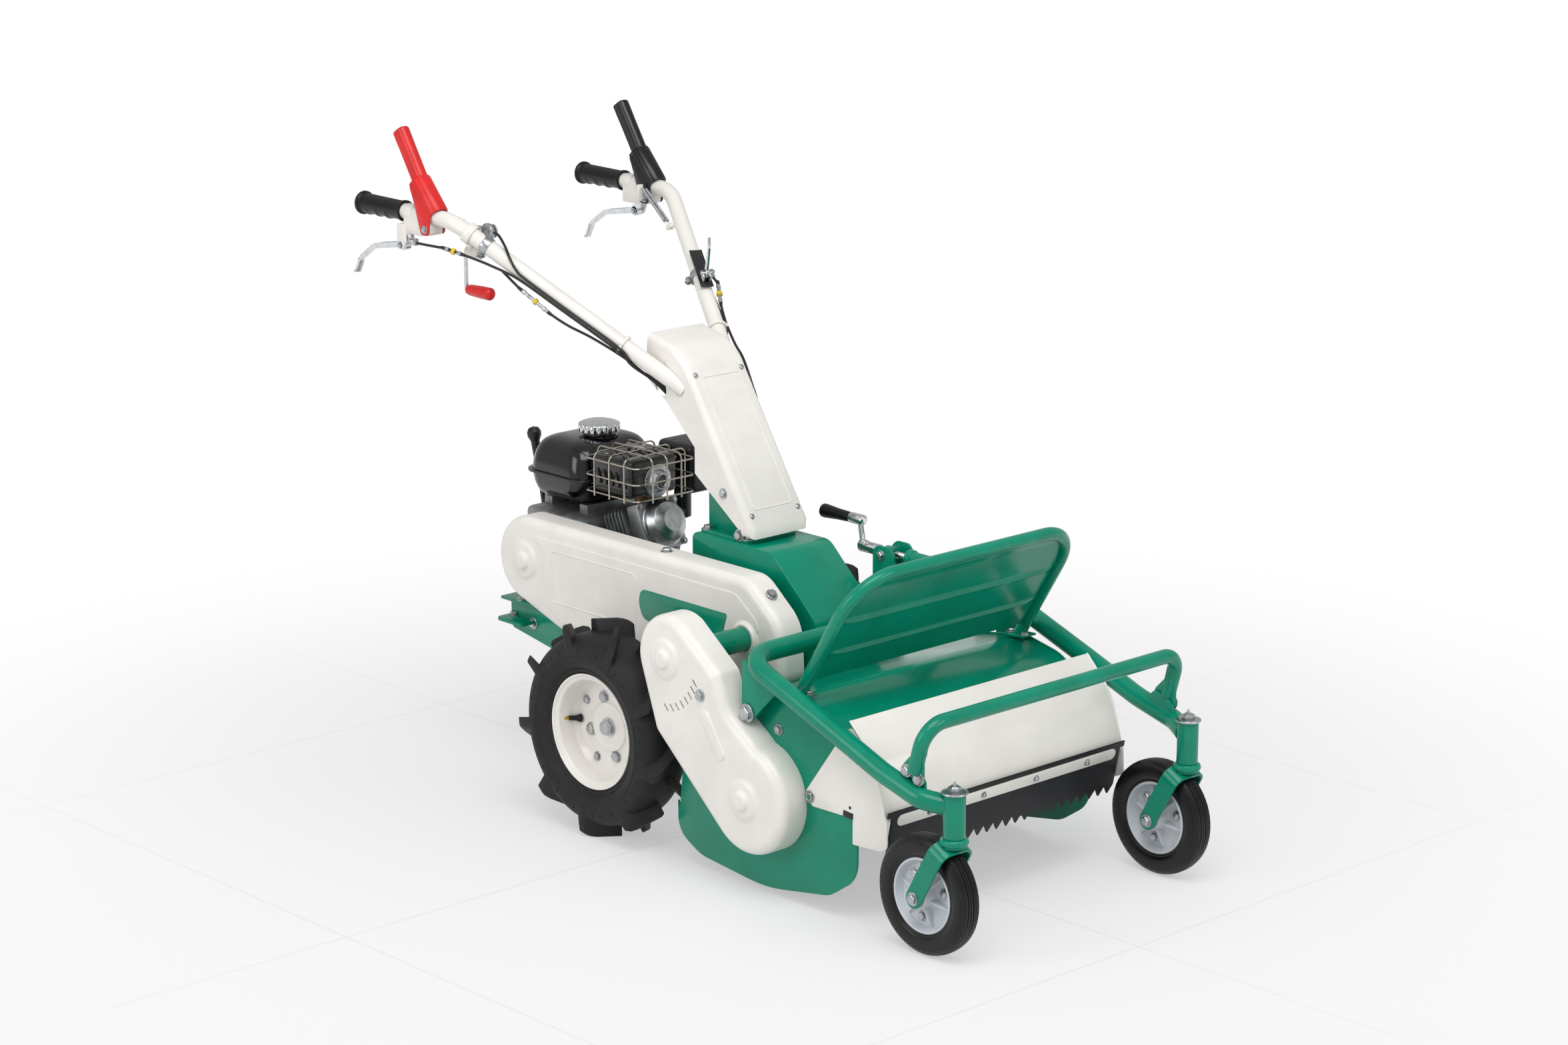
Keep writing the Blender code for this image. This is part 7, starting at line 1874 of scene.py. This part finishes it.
def makeSpring(order):
    step = Vector(springs["step"]) * order
    foot, top = Vector(springs["foot"]) + step, Vector(springs["top"]) + step
    run = top - foot
    wire, radius = springs["wire"], springs["radius"] - springs["wire"]
    height = run.length - 0.01
    turns = height / (2.25 * wire)
    # the seed mesh gives the tree its geometry socket; the tree replaces it with the coil
    coil = grown(bpy.data.meshes.new("seed"), coilTree, Turns=turns, Coil_Radius=radius,
                 Height=height, Wire=wire)
    place = facing(foot + run.normalized() * 0.005, run)
    hooks = []
    for base, way in ((0.0, -1), (height, 1)):
        hooks.append(pathBar(
            [(radius * math.cos(a), 0.0, base + way * (0.0026 + radius * math.sin(a)))
             for a in fan(-90, 15, 18)], wire, 10))
    name = ("inner", "outer")[order]
    piece(f"coil_spring_{name}", [moved(mesh, place) for mesh in (coil, *hooks)], zinc,
          f"lever_spring_{name}", smooth=60, weld=False)


cords, barrels = rightRoutes()
makeCables(-1, cords, barrels,
           block((0.0085, 0.008, 0.012), (-0.2762, 0.5165, 0.981), edge=0.0008))
cords, barrels = leftRoutes()
makeCables(1, cords, barrels, block(
    (0.011, 0.01, 0.0035), (0.016, -0.016, 0.0164), edge=0.0006, place=handleFrame(1, brakeY)))
for order in (0, 1):
    makeSpring(order)
print("cables and springs made")


# ---- chassis, hitch, gearbox, mast frame, drive inside the covers ----
pulleys = {"engine": 0.034, "long": 0.058, "short": 0.035, "rotor": 0.048, "rim": 0.006}
rotor = {"rows": 11, "radius": 0.038, "blade": 0.0045}


def makeChassis():
    loop = rounded([(-0.186, 0.236, 0.012), (0.1, 0.215, 0.08), (0.38, 0.215, 0.08),
                    (0.505, 0.236, 0.012), (0.505, 0.29, 0), (-0.186, 0.29, 0)], step=10)
    parts = [slab(loop, side * 0.078, side * 0.084, edge=0.0012) for side in (-1, 1)]
    parts += [block((0.192, 0.3, 0.006), (0, 0.37, 0.2915), edge=0.0012),
              block((0.16, 0.006, 0.052), (0, -0.18, 0.263), edge=0.0012),
              block((0.16, 0.2, 0.006), (0, -0.08, 0.2905), edge=0.0012),
              barrel((engineX, 0.5, 0.29), (engineX, 0.5, 0.295), 0.014, 0.001, 32)]
    # rear hitch: a folded hat section over a drawbar plate
    hat = [(-0.075, 0.2532, 0), (-0.075, 0.2868, 0.004), (0.075, 0.2868, 0.004),
           (0.075, 0.2532, 0)]
    skin = [(-0.0712, 0.2532), (-0.0712, 0.283), (0.0712, 0.283), (0.0712, 0.2532)]
    outline = rounded(hat, closed=False, step=12) + [Vector(p) for p in reversed(skin)]
    parts.append(slab(outline, -0.475, -0.435, "xz", 0.0008))
    plate = rounded([
        (-0.12, 0.4325, 0.006), (0.12, 0.4325, 0.006), (0.12, 0.5075, 0.012),
        (-0.12, 0.5075, 0.012)], step=12)
    parts.append(slab(plate, 0.255, 0.261, "xy", 0.0012))
    piece("chassis_rails", parts, green, "chassis_frame", smooth=32, weld=False)
    spots = [((side * 0.0846, y, 0.255), (side, 0, 0), 0.0085) for side in (-1, 1)
             for y in (-0.06, 0.1, 0.44)]
    spots += [((x, 0.495, 0.2614), (0, 0, 1), 0.008) for x in (-0.085, 0.085)]
    spots += [((x, y, 0.2949), (0, 0, 1), 0.007) for x in (-0.087, 0.087) for y in (0.31, 0.47)]
    fasteners("chassis_bolts", spots)


def makeGearbox():
    parts = [block((0.14, 0.19, 0.15), (0, 0.02, 0.175), edge=0.02, segments=4),
             block((0.148, 0.12, 0.06), (0, 0.02, 0.256), edge=0.004, segments=4)]
    for side in (-1, 1):
        tube = softened([
            (0.0134, 0.064), (0.04, 0.066), (0.034, 0.08), (0.0262, 0.098), (0.0258, 0.21),
            (0.0258, 0.2198), (0.0134, 0.2198)], 0.0015, step=15)
        parts.append(lathe(tube, (0, *axle), (side, 0, 0), 48, closed=True))
    # the joint flange round the middle of the case
    ring = rounded([(-0.078, 0.097, 0.022), (-0.078, 0.253, 0.022), (0.118, 0.253, 0.022),
                    (0.118, 0.097, 0.022)], step=12)
    parts.append(slab(ring, -0.005, 0.005, edge=0.001))
    piece("gearbox", parts, castAlloy, "transmission_case", smooth=32, weld=False)
    spots = [((0.0056, y, z), (1, 0, 0), 0.005) for y in (-0.07, 0.11)
             for z in (0.105, 0.175, 0.245)]
    fasteners("gearbox_bolts", spots)


def makeMastFrame():
    corners = [(0.013, 0.294, 0), (0.013, 0.508, 0.012), (-0.19, 0.508, 0.034),
               (-0.302, 0.405, 0.034), (-0.302, 0.307, 0), (-0.288, 0.294, 0)]
    # side walls, then the skin that wraps over them
    wall, skin = rounded(corners, step=6), rounded(corners, closed=False, step=6)
    parts = [slab(wall, side * 0.0655, side * 0.07, edge=0.003) for side in (-1, 1)]
    parts.append(slab(thickened(skin, 0.0045), -0.0672, 0.0672, edge=0.0002))
    wing = rounded([(-0.118, 0.509, 0), (0.002, 0.509, 0), (0.002, 0.6, 0.03),
                    (0.058, 0.715, 0.05), (0.068, 0.77, 0.006), (0.034, 0.777, 0.004),
                    (-0.118, 0.545, 0.004)], step=10)
    parts += [slab(wing, side * 0.0355, side * 0.04, edge=0.001) for side in (-1, 1)]
    front = [(-0.118, 0.509), (-0.113, 0.509), (-0.113, 0.543), (0.038, 0.774), (0.033, 0.7755),
             (-0.118, 0.545)]
    parts.append(slab(front, -0.038, 0.038, edge=0.0006))
    plate = roundedBox(-0.06, 0.06, -0.12, 0.006, 0.01, 12)
    parts.append(slab(plate, 0.5066, 0.5135, "xy", 0.001))
    piece("mast_box", parts, green, "mast_frame", smooth=32, weld=False)
    spots = [((side * 0.05, y, 0.514), (0, 0, 1), 0.0085) for side in (-1, 1)
             for y in (-0.11, -0.008)]
    spots += [((side * 0.0405, *yokeAxis), (side, 0, 0), 0.01) for side in (-1, 1)]
    fasteners("mast_bolts", spots)


def makeCrossTube():
    profile = softened(
        [(0.0215, -0.149), (0.0215, -0.2835), (0.018, -0.2835), (0.018, -0.149)], 0.0008)
    tube = lathe(profile, (0, *jackshaftAxis), (1, 0, 0), 56, closed=True)
    bead = lathe([(0.0215, -0.156), (0.0232, -0.1545), (0.0215, -0.153)], (0, *jackshaftAxis),
                 (1, 0, 0), 56)
    piece("jackshaft_tube", [tube, bead], green, "cross_tube", weld=False)


def groove(radius, low, high):
    middle, rim = (low + high) / 2, pulleys["rim"]
    return [(radius + rim, high), (radius + rim, high - 0.002), (radius, middle + 0.003),
            (radius, middle - 0.003), (radius + rim, low + 0.002), (radius + rim, low)]


def makeShafts():
    profile = ([(0.0, -0.106), (0.01, -0.106), (0.01, -0.115)]
               + groove(pulleys["long"], -0.142, -0.115) + [(0.01, -0.142), (0.01, -0.296)]
               + groove(pulleys["short"], -0.32, -0.296) + [(0.01, -0.32), (0.0, -0.323)])
    piece("jackshaft_steel", [lathe(profile, (0, *jackshaftAxis), (1, 0, 0), 48)], darkSteel,
          "jackshaft", body="jackshaft", bevel=0.0004)
    profile = ([(0.0, -0.0885), (0.01, -0.0885), (0.01, -0.115)]
               + groove(pulleys["engine"], -0.142, -0.115) + [(0.0, -0.142)])
    piece("crank_pulley", [lathe(profile, (0, *crankshaftAxis), (1, 0, 0), 48)], darkSteel,
          "engine_pulley", body="engine_pulley", bevel=0.0004)


def beltMesh(first, firstRadius, second, secondRadius, low, high):
    def line(extra):
        start, end = Vector(first), Vector(second)
        along = end - start
        heading = math.degrees(math.atan2(along.y, along.x))
        lap = math.degrees(math.acos((firstRadius - secondRadius) / along.length))
        return (arc(first, firstRadius + extra, heading + lap, heading + 360 - lap, 40)
                + arc(second, secondRadius + extra, heading - lap, heading + lap, 40))
    outer, inner = line(0.006), line(0.0)
    rings = [[(x, *p) for p in loop] for loop, x in (
        (inner, low + 0.0012), (outer, low), (outer, high), (inner, high - 0.0012))]
    return loft(rings + rings[:1], closed=False)


def makeBelts():
    mesh = beltMesh(rotorAxis, pulleys["rotor"] + 0.0024, jackshaftAxis, pulleys["short"] + 0.0024,
                    -0.3108, -0.3052)
    piece("short_belt", [mesh], beltRubber, "rotor_belt")
    mesh = beltMesh(jackshaftAxis, pulleys["long"] + 0.0024, crankshaftAxis,
                    pulleys["engine"] + 0.0024, -0.1313, -0.1257)
    piece("engine_belt", [mesh], beltRubber, "long_belt")


def makeRotor():
    y, z = rotorAxis
    rim, tube = pulleys["rotor"] + pulleys["rim"], rotor["radius"]
    profile = [(0.0, 0.32), (rim, 0.32), (rim, 0.3185), (pulleys["rotor"], 0.311),
               (pulleys["rotor"], 0.305), (rim, 0.2975), (rim, 0.296), (0.0125, 0.296),
               (0.0125, 0.26), (0.05, 0.26), (0.05, 0.256), (tube, 0.254), (tube, -0.254),
               (0.05, -0.256), (0.05, -0.26), (0.0125, -0.26), (0.0125, -0.2755), (0.0, -0.2755)]
    parts = [lathe(profile, (0, y, z), (-1, 0, 0), 56)]
    for index in range(rotor["rows"]):
        x = -0.235 + index * 0.47 / (rotor["rows"] - 1)
        place = Matrix.Translation((x, y, z)) @ Matrix.Rotation(math.radians(index * 135), 4, "X")
        for side in (-1, 1):
            # a Y knife: straight shank, then a blade that bends out and is ground thin at its end
            rings = []
            for across, out, half, thick in (
                    (0.0032, 0.034, 0.013, 1.0), (0.0032, 0.078, 0.013, 1.0),
                    (0.0052, 0.086, 0.015, 1.0), (0.0175, 0.108, 0.0194, 1.0),
                    (0.02, 0.1138, 0.0198, 0.35)):
                near = side * across - rotor["blade"] / 2 * thick
                far = side * across + rotor["blade"] / 2 * thick
                rings.append([place @ Vector(p) for p in (
                    (near, -half, out), (far, -half, out), (far, half, out), (near, half, out))])
            parts.append(loft(rings))
        parts.append(moved(
            barrel((-0.0085, 0, 0.056), (0.0085, 0, 0.056), 0.006, 0.0008, 20), place))
    piece("knives_and_drum", parts, darkSteel, "knife_rotor", body="rotor", smooth=28, weld=False)


makeChassis()
makeGearbox()
makeMastFrame()
makeCrossTube()
makeShafts()
makeBelts()
makeRotor()
print("frame and drive made")


# ---- stage: floor, lamps, camera ----
floorHalf, boardSize = 14.0, 0.9
photoCamera = {"lens": 83.3, "sensor": 36.0, "target": (-0.2685, -0.3575, 0.646), "turn": -43.1,
               "rise": 14.27, "distance": 5.851}


def makeFloor():
    # pale studio floor with faint joints of 900 mm boards: an ordinary white to the light, and
    # turning into the white of the studio away from the mower to the camera and in reflections
    material = bpy.data.materials.new("studio_floor")
    material.use_nodes = True
    tree = material.node_tree
    tree.nodes.clear()
    out = addNode(tree, "ShaderNodeOutputMaterial")
    paint = addNode(tree, "ShaderNodeBsdfDiffuse")
    place = addNode(tree, "ShaderNodeTexCoord")
    brick = addNode(tree, "ShaderNodeTexBrick", {"offset": 0.0}, Vector=place.outputs["Object"],
                    Color1=(0.76, 0.76, 0.76, 1), Color2=(0.76, 0.76, 0.76, 1),
                    Mortar=(0.66, 0.66, 0.66, 1), Scale=1.0, Mortar_Size=0.004, Mortar_Smooth=0.6,
                    Brick_Width=boardSize, Row_Height=boardSize)
    tree.links.new(brick.outputs[0], paint.inputs["Color"])
    rayPath = addNode(tree, "ShaderNodeLightPath")
    seen = addNode(tree, "ShaderNodeMath", {"operation": "MAXIMUM"},
                   n0=rayPath.outputs["Is Camera Ray"], n1=rayPath.outputs["Is Glossy Ray"])
    glow = addNode(tree, "ShaderNodeEmission", Color=brick.outputs[0], Strength=0.1)
    both = addNode(tree, "ShaderNodeAddShader", n0=paint.outputs[0], n1=glow.outputs[0])
    near = addNode(tree, "ShaderNodeMixShader", n0=seen.outputs[0], n1=paint.outputs[0],
                   n2=both.outputs[0])
    reach = addNode(tree, "ShaderNodeVectorMath", {"operation": "LENGTH"},
                    n0=place.outputs["Object"])
    fade = addNode(tree, "ShaderNodeMapRange", {"interpolation_type": "SMOOTHSTEP"},
                   n0=reach.outputs[1], n1=0.5, n2=2.1, n3=0.4, n4=1.0)
    # painted shade: the white that the camera sees of the floor is dimmed towards the front,
    # darker than the back, as in the photo
    front = addNode(tree, "ShaderNodeVectorMath", {"operation": "DOT_PRODUCT"},
                    n0=place.outputs["Object"], n1=(-0.68, -0.73, 0.0))
    level = addNode(tree, "ShaderNodeMapRange", n0=front.outputs[1], n1=0.2, n2=2.6, n3=1.0,
                    n4=0.86)
    white = addNode(tree, "ShaderNodeEmission", Color=(1, 1, 1, 1), Strength=level.outputs[0])
    share = addNode(tree, "ShaderNodeMath", {"operation": "MULTIPLY"}, n0=fade.outputs[0],
                    n1=seen.outputs[0])
    chosen = addNode(
        tree, "ShaderNodeMixShader", n0=share.outputs[0], n1=near.outputs[0], n2=white.outputs[0])
    tree.links.new(chosen.outputs[0], out.inputs[0])
    mesh = bpy.data.meshes.new("studio_floor")
    mesh.from_pydata(
        [(x, y, 0) for x, y in oblong(-floorHalf, floorHalf, -floorHalf, floorHalf)], [],
        [(0, 1, 2, 3)])
    mesh.materials.append(material)
    linked("studio_floor", mesh)


def makeWorld():
    world = bpy.data.worlds.new("studio_sky")
    bpy.context.scene.world = world
    world.use_nodes = True
    tree = world.node_tree
    ground = tree.nodes["Background"]
    ground.inputs["Color"].default_value = (1.0, 0.995, 0.985, 1)
    ground.inputs["Strength"].default_value = 0.52
    backdrop = addNode(tree, "ShaderNodeBackground", Color=(1, 1, 1, 1), Strength=1.0)
    rayPath = addNode(tree, "ShaderNodeLightPath")
    seen = addNode(tree, "ShaderNodeMath", {"operation": "MAXIMUM"},
                   n0=rayPath.outputs["Is Camera Ray"], n1=rayPath.outputs["Is Transmission Ray"])
    chosen = addNode(
        tree, "ShaderNodeMixShader", n0=seen.outputs[0], n1=ground.outputs[0],
        n2=backdrop.outputs[0])
    tree.links.new(chosen.outputs[0], tree.nodes["World Output"].inputs[0])


def addLamp(name, place, target, width, height, power):
    data = bpy.data.lights.new(name, "AREA")
    data.shape = "RECTANGLE"
    data.size, data.size_y, data.energy = width, height, power
    lamp = linked(name, data)
    lamp.location = place
    lamp.rotation_euler = (Vector(target) - Vector(place)).to_track_quat("-Z", "Y").to_euler()


def makeCamera():
    data = bpy.data.cameras.new("camera")
    data.lens, data.sensor_width = photoCamera["lens"], photoCamera["sensor"]
    data.clip_start, data.clip_end = 0.1, 60.0
    camera = linked("camera", data)
    turn, rise = math.radians(photoCamera["turn"]), math.radians(photoCamera["rise"])
    away = Vector((math.sin(turn) * math.cos(rise), -math.cos(turn) * math.cos(rise),
                   math.sin(rise)))
    camera.location = Vector(photoCamera["target"]) + away * photoCamera["distance"]
    camera.rotation_euler = (-away).to_track_quat("-Z", "Y").to_euler()
    bpy.context.scene.camera = camera


makeFloor()
makeWorld()
addLamp("softbox_over", (-1.2, -1.6, 3.6), (0, 0, 0.5), 2.6, 2.2, 70)
addLamp("softbox_right", (-3.6, 0.6, 1.9), (0, 0, 0.6), 1.6, 2.0, 30)
addLamp("softbox_front", (0.8, -4.2, 2.2), (0, 0, 0.6), 2.0, 1.6, 26)
makeCamera()
scene = bpy.context.scene
scene.view_settings.view_transform = "Standard"
scene.render.resolution_x, scene.render.resolution_y = 2352, 1568
for source in (boltHead, screwHead):
    bpy.data.objects.remove(source, do_unlink=True)
print("stage set")
